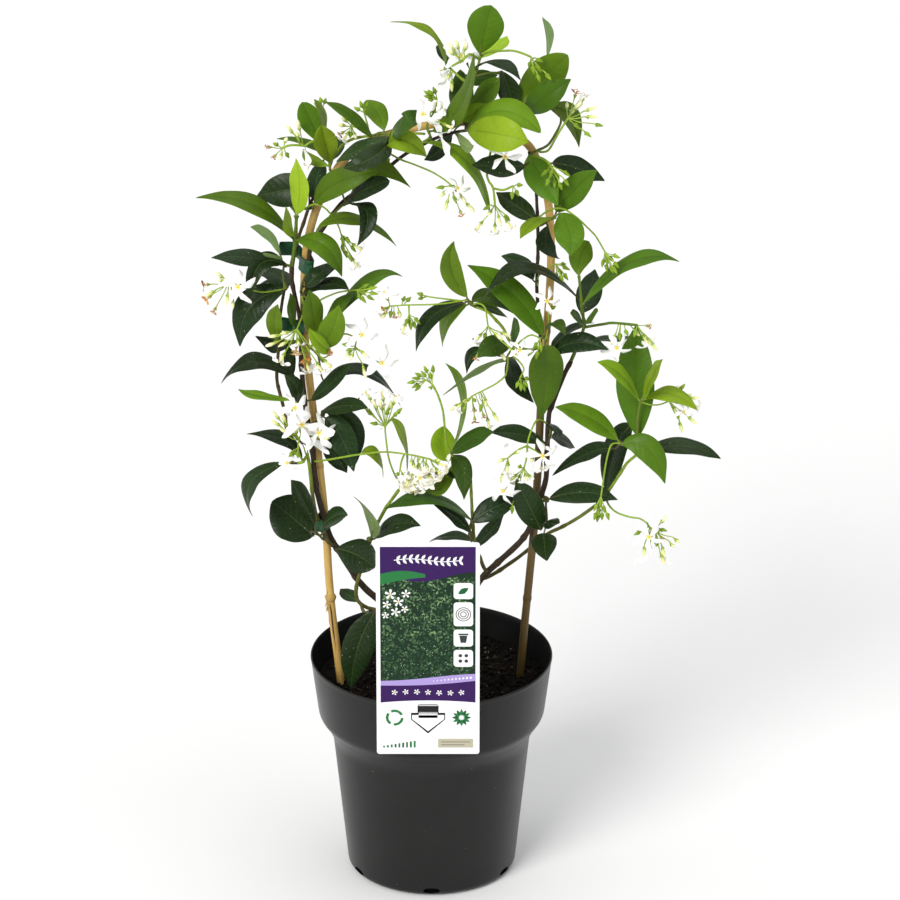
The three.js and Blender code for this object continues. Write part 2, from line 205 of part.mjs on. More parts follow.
    buds: [[[-71.1,-17,565.6],[-68.7,-20.9,558.6],0.85], [[-71.1,-17,565.6],[-63.2,-21.4,559.6],0.85], [[-71.1,-17,565.6],[-59.4,-15.5,549.8],0.85]],
    flowers: [[[-71.1,-17,565.6],[-58.6,-19.4,538.6],[0.444,-0.106,-0.89],7.3], [[-71.1,-17,565.6],[-55.2,-23.6,554.6],[0.804,-0.16,-0.573],6.5]],
  },
  { name: 'shoot_left_green',
    twigs: [[1.25,0.85,[[-110.4,-13.9,538.1],[-107.5,-11.9,558.4],[-106.4,-12,579]]]],
    leaves: [[[-107.8,-13.4,558.4],[-141.9,-20,592],[-186.1,-18.5,596.5],[-0.038,-0.978,-0.208],27,5,"e",[[-107.6,-11.6,557.5],[-107.8,-13.4,558.4]]],
      [[-105.8,-16.3,582.3],[-102.9,-23.8,607.6],[-105.5,-30.2,634.1],[-0.821,0.55,0.151],19.4,5,"e",[[-106.4,-11.7,578.8],[-105.8,-16.3,582.3]]],
      [[-107.7,-8,580],[-112,8.1,586.8],[-111.3,15.1,596.1],[-0.603,-0.518,0.606],13,5,"e",[[-106.3,-12.3,578.9],[-107.7,-8,580]]],
      [[-108.4,-16.7,563.8],[-113.3,-30.7,580.8],[-113.4,-44.6,599.3],[-0.39,-0.697,-0.602],13.7,5,"e",[[-107.2,-11.6,562.1],[-108.4,-16.7,563.8]]],
      [[-106.9,-14.6,559.7],[-83.5,-32,560.3],[-70.5,-22.5,531.2],[0.595,0.511,0.621],19.4,5,"e",[[-107.5,-11.5,559.1],[-106.9,-14.6,559.7]]]],
  },
  { name: 'leaves_inner_upper_left',
    twigs: [[1.25,0.95,[[-70.3,-14.9,589],[-63.7,-20,593.7]]],
      [0.95,0.95,[[-69.4,-16,589.8],[-78.9,-21.7,582.5],[-87.6,-22,572.5]]]],
    leaves: [[[-68.4,-20.2,592.9],[-51.4,-41.9,611.7],[-31.6,-47.8,621.3],[0.058,0.753,0.656],19.4,5,"o",[[-68.1,-16.3,590.3],[-68.4,-20.2,592.9]]],
      [[-63.7,-17,595.1],[-46.3,-14.5,610.2],[-32,-11.8,627.6],[-0.631,0.572,0.525],19.4,5,"e",[[-63.7,-20.3,593.5],[-63.7,-17,595.1]]],
      [[-62.1,-20.9,592.3],[-49.9,-42.3,590.1],[-57.8,-51,568.2],[0.978,0.198,-0.073],19.4,35,"e",[[-63.9,-19.9,593.9],[-62.1,-20.9,592.3]]],
      [[-70,-17,601.8],[-49.2,-24.2,627],[-15.5,-21.2,605.9],[0.047,0.94,0.338],26,5,"e",[[-65.8,-18.4,591.8],[-70,-17,601.8]]],
      [[-88.3,-50.4,583.1],[-57.2,-32.4,583.1],[-26.5,-41.7,563.9],[-0.129,0.991,0.036],26.4,5,"e",[[-87.6,-21.7,572.4],[-88.3,-50.4,583.1]]]],
  },
  { name: 'leaves_left_mid_a',
    twigs: [[1.25,0.95,[[-113.6,-13.5,537.6],[-119.2,-12,540]]],
      [0.95,0.95,[[-116.6,-13.1,538.6],[-117.6,-11.5,531.4],[-117.3,-11.1,524.1],[-115.5,-12,517]]],
      [0.85,0.7,[[-115.5,-12,517],[-138.3,-18.8,517.6],[-160.5,-20,526]]]],
    leaves: [[[-119.2,-9.1,543.1],[-128.3,4.2,555.2],[-144.8,19.1,558.1],[-0.031,-0.491,0.871],19.4,5,"e",[[-119.2,-12.2,539.7],[-119.2,-9.1,543.1]]],
      [[-119,-16,543.2],[-125.5,-31.5,552.5],[-132.3,-38.8,557.7],[0.894,-0.421,0.156],13,5,"e",[[-119.2,-11.7,539.8],[-119,-16,543.2]]],
      [[-119.3,-11,537.1],[-148.1,-5.3,541.7],[-175.2,-5.3,540.9],[-0.118,-0.935,-0.335],21.3,5,"e",[[-117.6,-12.5,539.7],[-119.3,-11,537.1]]],
      [[-115.1,-15.6,537.1],[-135.6,-20.7,541.6],[-144.4,-29.4,512.6],[0.686,-0.233,-0.689],19.7,30,"e",[[-116.7,-12.8,538.7],[-115.1,-15.6,537.1]]],
      [[-114.1,-5.4,516.1],[-125.7,29.9,512.9],[-140.8,45.4,511.3],[-0.863,-0.471,-0.181],19.4,5,"e",[[-116,-12.1,518.6],[-114.1,-5.4,516.1]]],
      [[-116.3,-13.5,516.7],[-144.3,-16.2,503.2],[-152.7,-18.9,469.9],[0.704,-0.514,-0.49],27,5,"e",[[-115.4,-11.7,517],[-116.3,-13.5,516.7]]],
      [[-117.4,-3.7,514.6],[-132.1,4.4,511.5],[-151.7,26.6,495.2],[-0.431,-0.78,-0.454],19.4,5,"e",[[-115.8,-12.1,518.7],[-117.4,-3.7,514.6]]]],
    hubs: [[-160.5,-20,526]],
    buds: [[[-160.5,-20,526],[-171.3,-22.5,535.5],1.05], [[-160.5,-20,526],[-169.8,-24.7,529.6],1.05], [[-160.5,-20,526],[-179.9,-19.5,513],1.05]],
    flowers: [[[-153.3,-19.6,523.3],[-153.1,-27,524.5],[-0.194,-0.968,0.158],15.5]],
    curls: [[[-160.5,-20,526],[-179.7,-18.4,522.9],4.9], [[-160.5,-20,526],[-178,-24.7,513.3],5.7], [[-160.5,-20,526],[-172.7,-22.9,502.4],4.1]],
  },
  { name: 'leaves_left_mid_b',
    twigs: [[1.25,0.95,[[-107.4,-18.6,474.8],[-116,-16,471.4]]]],
    leaves: [[[-123,-19.2,475.2],[-124.9,-27.6,494.9],[-121.1,-36.4,513.6],[-0.923,0.333,0.195],15.1,5,"e",[[-115.7,-15.9,471.2],[-123,-19.2,475.2]]],
      [[-109.2,-22.5,489.4],[-110.9,-34.4,509.4],[-111.2,-46.2,526.8],[-0.536,-0.7,-0.471],13,5,"e",[[-110.3,-17.7,473.3],[-109.2,-22.5,489.4]]],
      [[-111.2,-14.1,472.3],[-121.7,8.1,459.1],[-141.9,11.2,467.5],[-0.585,-0.762,-0.279],19.4,5,"e",[[-110.2,-18.1,473.7],[-111.2,-14.1,472.3]]]],
  },
  { name: 'leaves_inner_left',
    twigs: [[1.25,0.95,[[-100.6,-18.9,466.8],[-90.2,-23,475.9]]],
      [0.95,0.95,[[-97.1,-20,469.9],[-90.7,-23.7,466.3],[-86.2,-27,460.3]]],
      [0.85,0.7,[[-90.7,-23.7,466.3],[-74.5,-31.8,484],[-67.1,-33.9,487.1],[-59.9,-34.9,483.1],[-60.4,-35,475.5]]]],
    leaves: [[[-88.5,-26.8,471.4],[-78.3,-44.4,495.5],[-72.5,-48.5,517.5],[-0.917,0.125,0.378],21.2,5,"e",[[-90.8,-23.5,466],[-88.5,-26.8,471.4]]],
      [[-89.4,-19.6,477.9],[-73.9,-22.5,504.8],[-62.1,-10.8,513.9],[-0.365,0.93,0.05],19.4,5,"e",[[-90.2,-23.3,475.7],[-89.4,-19.6,477.9]]],
      [[-90.2,-20.4,476.6],[-51.8,-4.1,519.1],[-22.2,-5.5,524.7],[-0.211,0.977,-0.004],27,5,"e",[[-90.1,-23.3,475.8],[-90.2,-20.4,476.6]]],
      [[-79.5,-35.5,472.3],[-88.6,-47.7,484.9],[-96.6,-41.8,495.3],[-0.489,-0.679,-0.548],13,5,"e",[[-88.2,-25.5,462.5],[-79.5,-35.5,472.3]]],
      [[-91.6,-27.1,483.5],[-94.1,-40.1,508.3],[-95.9,-54,532.3],[-0.865,-0.403,-0.298],19.4,5,"e",[[-90.1,-22.8,475.6],[-91.6,-27.1,483.5]]],
      [[-85.8,-18.9,440.5],[-52.2,-11.8,446.3],[-24.2,-8.8,413.8],[-0.136,0.989,0.058],27,5,"e",[[-90.9,-23.6,466.5],[-90.2,-24,465.9],[-88.8,-21,454.4],[-88.2,-19,446.7],[-85.8,-18.9,440.5]]]],
    hubs: [[-60.4,-35,475.5]],
    buds: [[[-60.4,-35,475.5],[-70.6,-39.8,480.8],0.85], [[-60.4,-35,475.5],[-67.5,-40.2,475],0.85], [[-60.4,-35,475.5],[-50,-40.3,469.9],1.05], [[-60.4,-35,475.5],[-51.7,-37.6,451.6],1.05], [[-60.4,-35,475.5],[-64.3,-40.2,467.3],1.05]],
    flowers: [[[-60.1,-34.9,483.2],[-54.6,-40.1,488.7],[0.223,-0.898,0.379],13.9], [[-60.4,-35,475.5],[-38.9,-39.5,464.4],[0.441,-0.89,0.118],13.9]],
    curls: [[[-83.8,-27.1,473.9],[-80.1,-42.6,475.1],3.3]],
  },
  { name: 'leaves_left_c',
    twigs: [[1.25,0.95,[[-98.4,-22.6,532.5],[-100.7,-26.7,530.8],[-102.5,-26.8,525.1],[-103.2,-25,519.4]]],
      [0.85,0.7,[[-103.2,-25,519.4],[-92.3,-28.2,509.5],[-87.3,-29.8,514.7],[-80.7,-30.6,518.4],[-73.6,-30.9,521.3],[-58.5,-31,523.5]]],
      [0.85,0.7,[[-103.2,-25,519.4],[-101.1,-28.2,504],[-106.6,-28,489]]]],
    leaves: [[[-101.3,-34.8,520.7],[-83,-30.9,528.5],[-64.4,-49,530.4],[0.283,0.92,0.272],19.4,5,"e",[[-103.2,-24.7,519.4],[-101.3,-34.8,520.7]]],
      [[-99.9,-25.8,524],[-87.7,-31.3,538],[-74.1,-2.7,536.5],[-0.703,0.689,0.177],16.6,5,"e",[[-102.7,-27,525.4],[-99.9,-25.8,524]]]],
    hubs: [[-58.5,-31,523.5], [-106.6,-28,489]],
    buds: [[[-58.5,-31,523.5],[-48.9,-30.6,528.4],0.85], [[-58.5,-31,523.5],[-42.5,-35.6,527.8],0.85], [[-58.5,-31,523.5],[-41.8,-32.5,520.6],0.85], [[-106.6,-28,489],[-120.1,-30.9,485.9],1.05], [[-106.6,-28,489],[-129.7,-30.7,483.2],1.05], [[-106.6,-28,489],[-131.5,-29.9,475.2],1.05]],
    flowers: [[[-106.6,-28,489],[-120.1,-41.1,465.9],[-0.47,-0.124,-0.874],9], [[-106.6,-28,489],[-105,-32.8,477.2],[0.218,-0.408,-0.887],6.5], [[-106.6,-28,489],[-97.2,-36.8,456.5],[0.29,-0.102,-0.952],9.8], [[-106.6,-28,489],[-86.7,-41.4,458.3],[0.512,-0.089,-0.854],8.2], [[-106.6,-28,489],[-79.4,-43.5,462.6],[0.668,-0.082,-0.74],7.3]],
    curls: [[[-106.6,-28,489],[-99.6,-32.9,466.1],6.5], [[-106.6,-28,489],[-107.6,-29.4,470.7],6.5]],
  },
  { name: 'leaves_left_d',
    twigs: [[1.25,0.95,[[-102.2,-21.3,430.4],[-102.7,-25,424]]],
      [0.95,0.95,[[-101.9,-23.2,428],[-104.7,-24.5,435.3],[-108.9,-24,441.8]]]],
    leaves: [[[-108.1,-23.7,445.1],[-142.4,-22.4,458.4],[-168.5,-20,438.4],[-0.038,-0.978,-0.205],25.4,5,"e",[[-109,-24,441.4],[-108.1,-23.7,445.1]]],
      [[-105.1,-24.6,424.7],[-107.8,-34.9,441],[-117.2,-36.1,453.6],[-0.594,-0.631,-0.499],15,5,"e",[[-102.4,-25.1,423.9],[-105.1,-24.6,424.7]]],
      [[-113.1,-24.1,426.2],[-138.9,-20.2,428.1],[-155.2,-14,431.6],[-0.228,-0.973,0.041],19.4,5,"e",[[-102.4,-25,423.9],[-113.1,-24.1,426.2]]],
      [[-111.3,-24,446.1],[-112.7,-24.9,460.3],[-115,-21.5,474.4],[-0.7,-0.713,-0.029],13,5,"e",[[-108.8,-24,441.5],[-111.3,-24,446.1]]],
      [[-96.2,-25,426.6],[-79.1,-31.6,444.9],[-62.8,-37.9,462.9],[-0.131,0.89,0.436],19.4,5,"e",[[-102.8,-23.4,426.5],[-96.2,-25,426.6]]]],
  },
  { name: 'leaves_left_e',
    twigs: [[1.25,0.95,[[-95.3,-18.3,402.7],[-90.3,-20,407],[-86.9,-21,412.7]]]],
    leaves: [[[-87.5,-26.9,417.8],[-68.7,-38.7,427],[-50.1,-49.1,429.6],[0.366,0.834,0.413],19.4,5,"e",[[-86.8,-20.7,412.5],[-87.5,-26.9,417.8]]],
      [[-85.2,-23.8,410.4],[-71.5,-30.6,396.7],[-62,-36.4,368.6],[0.881,0.202,0.428],22.9,5,"e",[[-87.8,-20.5,411.5],[-85.2,-23.8,410.4]]],
      [[-83.7,-19.5,413.9],[-65.3,-16.8,398.8],[-60.8,-14.1,366],[0.874,0.204,0.441],21.2,5,"e",[[-87.2,-21.1,412.6],[-83.7,-19.5,413.9]]],
      [[-88,-17.1,386.6],[-77.2,-4.7,369.1],[-68.7,9.9,347.8],[0.779,0.263,0.57],16.3,5,"e",[[-93.2,-19.1,404.9],[-88,-17.1,386.6]]]],
  },
  { name: 'leaves_left_f',
    twigs: [[1.25,0.95,[[-101.5,-24.6,375.7],[-103.5,-27,373.2],[-107.3,-26,372]]],
      [0.85,0.7,[[-103.1,-26.6,373.7],[-105.2,-30.6,379.3],[-106.7,-31.8,386.2],[-104.4,-33,400.3]]]],
    leaves: [[[-104.1,-25.1,375.1],[-119.3,-22.4,391.5],[-149.1,-19.7,394.7],[-0.196,-0.963,-0.186],19.5,5,"e",[[-102.9,-26.8,373.5],[-104.1,-25.1,375.1]]],
      [[-118.6,-27.5,372.7],[-146.2,-30.2,355.4],[-144.1,-32.9,327.5],[0.444,-0.884,-0.145],21.9,5,"e",[[-107,-26,372],[-118.6,-27.5,372.7]]]],
    hubs: [[-104.4,-33,400.3]],
    buds: [[[-105.1,-32.6,395.9],[-108.3,-32,406],1.05], [[-105.1,-32.6,395.9],[-128.1,-37.3,415.2],1.05], [[-105.1,-32.6,395.9],[-127.2,-36.2,421.7],1.05], [[-106.3,-32,388.5],[-111.1,-31.7,380.6],0.85], [[-106.6,-31.8,387],[-106.9,-36.3,380.8],0.85], [[-106.3,-32,388.5],[-114.3,-33.2,380.3],0.85]],
    flowers: [[[-104.4,-33,400.3],[-103.2,-40.9,411.5],[0.2,-0.819,0.537],16.3], [[-104.4,-33,400.3],[-89.8,-37,402.9],[0.247,-0.935,0.255],15.5], [[-104.4,-33,400.3],[-108.3,-50.5,430.2],[0.224,-0.783,0.58],13.9], [[-106.2,-26.3,372.4],[-116,-30.1,373.8],[-0.524,-0.824,0.214],10.6]],
  },
  { name: 'leaves_left_low',
    twigs: [[1.25,0.95,[[-87.8,-25.4,304.4],[-93.4,-28,311.1]]],
      [0.95,0.95,[[-90.2,-27,308],[-86.1,-28,312.9]]]],
    leaves: [[[-95.7,-7.6,299.4],[-112.8,-2.1,313],[-129.9,2.3,326.2],[-0.621,-0.49,-0.611],40,5,"r",[[-93.2,-28.3,311.2],[-97.6,-22,310.2],[-97.9,-13,303.5],[-95.7,-7.6,299.4]]],
      [[-94,-31.5,318.9],[-104,-40,346.4],[-112.4,-48.4,366.8],[-0.521,-0.723,-0.454],19.4,5,"e",[[-93.4,-27.9,310.8],[-94,-31.5,318.9]]],
      [[-88.3,-33.5,318.9],[-77.3,-50.2,336],[-66.4,-66.9,344.2],[-0.084,0.566,0.82],15.1,5,"e",[[-86,-27.8,312.6],[-88.3,-33.5,318.9]]]],
  },
  { name: 'leaves_low_inner',
    twigs: [[1.25,0.95,[[-50.1,-15.8,299.4],[-50.6,-18,301.3]]]],
    leaves: [[[-44.9,-22.1,304],[-29.2,-33,321.3],[-8.1,-44,324.4],[0.137,0.789,0.599],19.4,5,"e",[[-50.9,-17.8,301.2],[-44.9,-22.1,304]]],
      [[-48.9,-22.9,305.3],[-48.5,-37.3,329.4],[-62.6,-51.7,354.2],[0.648,-0.722,-0.243],19.4,5,"e",[[-50.7,-17.7,301.1],[-48.9,-22.9,305.3]]],
      [[-77.3,-29.2,297.4],[-60.8,-44.4,298.9],[-45.2,-59.6,294.3],[0.437,0.377,0.816],29.4,5,"o",[[-50.4,-18,301.6],[-58,-19,292.8],[-69.3,-24,297.8],[-77.3,-29.2,297.4]]]],
  },
  { name: 'leaves_low_label',
    twigs: [[1.25,0.95,[[-57.4,-13.1,238.6],[-54.9,-16.7,235.4],[-48.6,-18,234.9]]]],
    leaves: [[[-60.2,-7,239.8],[-68.7,5.4,240.4],[-75.4,14.2,241.8],[-0.783,-0.53,-0.327],13,5,"e",[[-55.7,-15.6,236.5],[-60.2,-7,239.8]]],
      [[-46.1,-20.6,237.9],[-60.2,-25.1,206.6],[-66.1,-29.6,171.4],[0.956,-0.109,-0.273],26.9,5,"e",[[-48.8,-17.8,234.7],[-46.1,-20.6,237.9]]]],
  },
  { name: 'shoot_low_centre',
    twigs: [[1.25,0.95,[[33.4,-15.2,303],[31.5,-18.2,307.5],[31.6,-19,313.3]]]],
    leaves: [[[32.4,-20.5,319.3],[-0.8,-35.1,345.2],[-38.9,-33.7,334],[0.17,-0.984,-0.058],27,5,"e",[[31.5,-18.9,313],[32.4,-20.5,319.3]]],
      [[32.4,-23.1,308.9],[19.4,-23.8,324.3],[1.6,-38,341.2],[0.005,-0.91,-0.416],19.4,5,"e",[[32.3,-16.7,305.5],[32.4,-23.1,308.9]]],
      [[33.3,-8.9,295.5],[15.3,0.6,295.7],[-1.9,6.2,287.8],[-0.392,-0.92,-0.016],19.4,5,"e",[[32.3,-17.2,305.9],[33.3,-8.9,295.5]]],
      [[33.1,-24.5,319.3],[51,-21.5,330.4],[72.1,-13.3,334.8],[-0.439,0.574,0.691],19.4,5,"e",[[31.5,-18.8,313.1],[33.1,-24.5,319.3]]],
      [[35.7,-7,288.3],[47.3,8.1,296],[59.6,16.4,308.4],[-0.623,0.767,-0.153],19.4,5,"e",[[32.2,-17.2,305.9],[35.7,-7,288.3]]]],
  },
  { name: 'leaves_low_centre',
    twigs: [[1.25,0.95,[[32.3,-15,351.3],[26.7,-19.5,362],[15.3,-23,378.6]]],
      [0.95,0.85,[[25.5,-20,363.8],[19.1,-26.5,374.8],[15.5,-27.3,381.1],[11.9,-28.8,394.9],[8.9,-32.5,423.4],[4.6,-34.1,437.1],[0.9,-34,443.3]]],
      [0.85,0.7,[[4.9,-34,436.3],[1.3,-34,443.7],[-5.5,-33,448]]]],
    leaves: [[[12.9,-19.5,371],[9.6,-12.7,382.2],[10.4,-6,396],[-0.887,-0.436,0.149],24,5,"r",[[17.2,-22.6,376.4],[12.9,-19.5,371]]],
      [[16.9,-30.5,382.7],[33,-38.1,398.1],[50.5,-49.2,408.9],[0.004,0.816,0.578],19.4,5,"e",[[15.6,-26.9,380.6],[16.9,-30.5,382.7]]],
      [[16.9,-25.1,378.6],[25.8,-33.2,369],[26.6,-35.3,343.5],[0.8,0.599,0.047],19.4,5,"e",[[16.4,-27.4,379.6],[16.9,-25.1,378.6]]],
      [[20.1,-26,372.9],[8,-29.6,351.6],[-5.6,-38.7,353.8],[0.577,-0.771,-0.27],14.4,5,"e",[[20,-25.2,373.2],[20.1,-26,372.9]]],
      [[16.1,-25.9,381.6],[25.8,-15.5,422.7],[11.3,-16.2,455],[-0.228,-0.967,0.112],27,5,"e",[[15.1,-27.7,382.3],[16.1,-25.9,381.6]]],
      [[28.2,-31,361],[17.7,-28.7,362.7],[7.2,-33,368.9],[0.058,-0.994,-0.094],13,5,"e",[[30.4,-16.2,354.9],[28.2,-31,361]]]],
    hubs: [[-5.5,-33,448]],
    buds: [[[-5.5,-33,448],[-15.1,-35.1,449.8],0.85], [[-5.5,-33,448],[-19,-36.7,446.1],0.85], [[-5.5,-33,448],[-15.1,-33.1,440.3],0.85]],
  },
  { name: 'shoot_centre',
    twigs: [[1.25,0.95,[[35.3,-20,505],[28.8,-23,511.8]]],
      [0.85,0.7,[[28.8,-23,511.8],[-1.4,-30.7,510.9],[-32.3,-34,511]]],
      [0.85,0.7,[[-17.3,-33,511.5],[-17.3,-35,504.6]]],
      [0.85,0.7,[[24.5,-24.3,511.6],[-4.6,-30,518]]],
      [0.85,0.7,[[33.1,-20.8,507.2],[38.6,-25.4,509.8],[43.2,-29.9,508],[45.5,-32,493.2]]]],
    leaves: [[[28.8,-24.5,515],[16.1,-28.1,541],[18.5,-31.7,565.2],[-0.974,-0.081,-0.213],19.6,20,"e",[[28.8,-22.8,511.5],[28.8,-24.5,515]]],
      [[27.2,-24.5,509.9],[-0.6,-28.1,498.5],[-11.8,-31.7,470.7],[0.365,-0.91,-0.197],22.4,5,"e",[[29,-22.8,512.1],[27.2,-24.5,509.9]]],
      [[28.9,-18.5,505.8],[12.1,-10.7,489.9],[9.7,-2.9,462.7],[0.277,-0.858,-0.433],19.4,5,"e",[[31.1,-22.2,509.8],[28.9,-18.5,505.8]]],
      [[32.8,-19.7,508.8],[48.8,-13.2,509.7],[68.9,-11.2,493.5],[-0.035,0.907,0.42],19.4,5,"e",[[32,-21.8,508.3],[32.8,-19.7,508.8]]],
      [[34.4,-16.2,504.1],[48.9,-6.6,497.7],[61.9,2.3,486.5],[-0.339,0.862,0.377],14.4,5,"e",[[33,-21.1,507.4],[34.4,-16.2,504.1]]]],
    hubs: [[-32.3,-34,511], [-17.3,-35,504.6], [-4.6,-30,518], [45.5,-32,493.2]],
    buds: [[[-32.3,-34,511],[-39.5,-35.9,500.7],1.05], [[-32.3,-34,511],[-32.4,-32.7,500.3],0.85], [[-23.3,-33,511],[-20.4,-32,518.7],0.85], [[-21.8,-32.9,511],[-15.7,-32.3,518],0.85], [[-26.3,-33.4,511],[-24.4,-33.1,500.4],1.05], [[-17.3,-35,504.6],[-20.4,-39.6,496.2],0.85], [[-17.3,-35,504.6],[-15.7,-35.8,491.2],0.85], [[-17.3,-35,504.6],[-11.8,-33.5,491.2],0.85], [[-4.6,-30,518],[-10.9,-34.4,522.2],0.85], [[-4.6,-30,518],[-10.1,-29.8,515.3],0.85], [[45.5,-32,493.2],[56.6,-44.7,486.2],1.05], [[45.5,-32,493.2],[59.1,-36.9,466],1.05], [[45.5,-32,493.2],[63.9,-30.7,483.2],1.05], [[45.5,-32,493.2],[42.4,-31,480.8],0.85]],
    flowers: [[[-32.3,-34,511],[-41.8,-37.9,507.4],[-0.869,-0.299,-0.393],7.3], [[-32.3,-34,511],[-37,-38.5,524.7],[-0.369,-0.237,0.899],7.3], [[-17.3,-35,504.6],[-22.8,-40,490.3],[-0.331,-0.207,-0.921],7.3], [[45.5,-32,493.2],[35.2,-36.7,481.3],[-0.615,-0.211,-0.759],7.3]],
    curls: [[[-32.3,-34,511],[-35.5,-34.8,508.8],4.9], [[-29.3,-33.7,511],[-29.2,-37.3,503.8],4.1], [[45.5,-32,493.2],[36.1,-31.1,465.4],4.1]],
  },
  { name: 'leaves_centre_b',
    twigs: [[1.25,0.95,[[66.4,-22.3,470.7],[61.7,-26,465]]],
      [0.85,0.7,[[65.6,-23.3,469.6],[73.9,-28.4,480.7],[80.2,-29,484.3],[87.1,-29,481.7]]],
      [0.85,0.7,[[62.7,-25.5,466.2],[69.7,-29.2,462.6],[74.3,-30.9,455.9],[71.3,-31,448.1]]],
      [0.85,0.7,[[61.7,-26,465],[59.7,-28.2,449.4],[54,-29.8,444.1],[32.9,-31,432.5]]]],
    leaves: [[[62.5,-21,470.8],[48.6,-47.5,482.2],[37.5,-56.3,475.5],[0.333,-0.352,-0.875],18,5,"e",[[64.7,-24,468.2],[62.5,-21,470.8]]],
      [[62.4,-26,465.9],[65.9,-11.9,442],[83,-9.8,417.7],[0.547,0.695,0.467],19.4,5,"e",[[62.9,-25.2,466.4],[62.4,-26,465.9]]],
      [[44.1,-20.5,466.3],[32.1,-18.6,462],[28.9,-15.7,444.5],[0.389,-0.806,-0.446],13,5,"e",[[61.4,-26.7,461.8],[60.1,-24,463.4],[48.9,-22,464.3],[44.1,-20.5,466.3]]],
      [[66.5,-17.1,470.9],[67.4,-5,479.1],[66.7,4.6,486.5],[-0.558,0.486,-0.673],13,5,"e",[[64.4,-24.1,468.3],[66.5,-17.1,470.9]]],
      [[59.3,-24.2,460],[40.9,-30.6,454.8],[8.9,-34.6,434],[-0.115,-0.827,0.55],21.7,5,"e",[[61.8,-26.1,465.3],[59.3,-24.2,460]]]],
    hubs: [[87.1,-29,481.7], [71.3,-31,448.1], [32.9,-31,432.5]],
    buds: [[[87.1,-29,481.7],[81.5,-32.8,473.8],0.85], [[87.1,-29,481.7],[87.8,-34,471.7],0.85], [[87.1,-29,481.7],[77.6,-29.1,466.3],0.85], [[71.3,-31,448.1],[68.1,-30.9,439.4],0.85], [[71.3,-31,448.1],[72.1,-31.3,437],0.85], [[71.3,-31,448.1],[77.8,-28.3,439.2],0.85], [[32.9,-31,432.5],[24.9,-34.3,427.8],1.05], [[32.9,-31,432.5],[14.5,-35.4,421.3],1.05], [[32.9,-31,432.5],[25.7,-36.5,420.9],0.85], [[41,-30.5,437],[44.9,-32.6,423.6],1.05], [[38.3,-30.7,435.5],[39.3,-35.8,420.6],0.85], [[32.9,-31,432.5],[36.1,-36,429.4],0.85]],
    flowers: [[[68.2,-24.9,473.1],[70.7,-58,483],[0.124,-0.889,0.441],9.8], [[32.9,-31,432.5],[20.1,-38.3,424.3],[-0.743,-0.279,-0.608],6.5], [[39.7,-30.6,436.2],[46.6,-31,404.7],[0.16,-0.118,-0.98],6.5]],
    curls: [[[32.9,-31,432.5],[35.3,-36.7,413.2],4.1], [[32.9,-31,432.5],[34.5,-30.9,420.3],3.3], [[35.6,-30.8,434],[42.5,-34.8,416.7],3.3]],
  },
  { name: 'leaves_right_hoop',
    twigs: [[1.25,0.95,[[88.5,-9.5,473.6],[90.1,-15.4,477.1],[92,-22,477.2]]],
      [0.85,0.7,[[92,-22,477.2],[93.9,-24.6,493.5],[93.3,-25,510.1]]]],
    leaves: [[[89.7,-16.2,478.3],[65.5,-15.1,513],[28.8,-17.6,539.6],[-0.512,-0.68,-0.524],26,5,"e",[[89.9,-14.5,476.4],[89.7,-16.2,478.3]]],
      [[91.1,-29.8,476],[92.1,-26.1,451.2],[88.4,-29.2,411.8],[0.966,0.256,-0.038],30,5,"e",[[92,-21.7,477.2],[91.1,-29.8,476]]],
      [[92.8,-20.3,483.4],[99.5,-35.7,498],[107.3,-45.6,490],[0.815,0.53,0.235],13,5,"e",[[90.1,-15.9,476.9],[92.8,-20.3,483.4]]]],
    buds: [[[93.5,-24.8,504],[99.7,-23.4,506.9],0.85]],
    flowers: [[[93.3,-25,508.9],[92.4,-29.7,513.6],[0.132,-0.938,0.321],10.6]],
  },
  { name: 'leaves_right_mid',
    twigs: [[1.25,0.95,[[89.7,-9.9,464.3],[96.2,-18,466.1]]]],
    leaves: [[[97.1,-11.7,461],[116.9,-18.5,473.2],[142.3,-25.1,469.8],[0.089,0.74,0.666],19.4,5,"e",[[96.1,-18.3,466.3],[97.1,-11.7,461]]],
      [[97,-14.5,467.3],[113.5,7.9,474.8],[132.1,12.3,478.3],[-0.537,0.806,-0.248],19.4,5,"e",[[96.1,-18.3,466],[97,-14.5,467.3]]]],
  },
  { name: 'leaves_right_low',
    twigs: [[1.25,0.95,[[96.4,-3.6,394.1],[96.2,-8,388.1]]]],
    leaves: [[[93,-8.7,381.3],[69.4,-13.7,392.2],[48.3,-20.6,396],[0.093,-0.894,-0.439],19.4,5,"e",[[96.3,-8,388.4],[93,-8.7,381.3]]],
      [[96.9,-10.3,399.6],[99.8,-24.8,402.1],[104.3,-39.4,400.4],[0.908,0.223,-0.354],13,5,"e",[[96.3,-5.2,391.4],[96.9,-10.3,399.6]]],
      [[98,0.5,382.7],[107.3,16.2,374.3],[117.6,29,361.8],[-0.271,0.683,0.679],15.1,5,"e",[[96.1,-8.3,388.3],[98,0.5,382.7]]]],
  },
  { name: 'leaves_right_low_b',
    twigs: [[1.25,0.95,[[91,-5.6,329.6],[93.4,-7,332]]]],
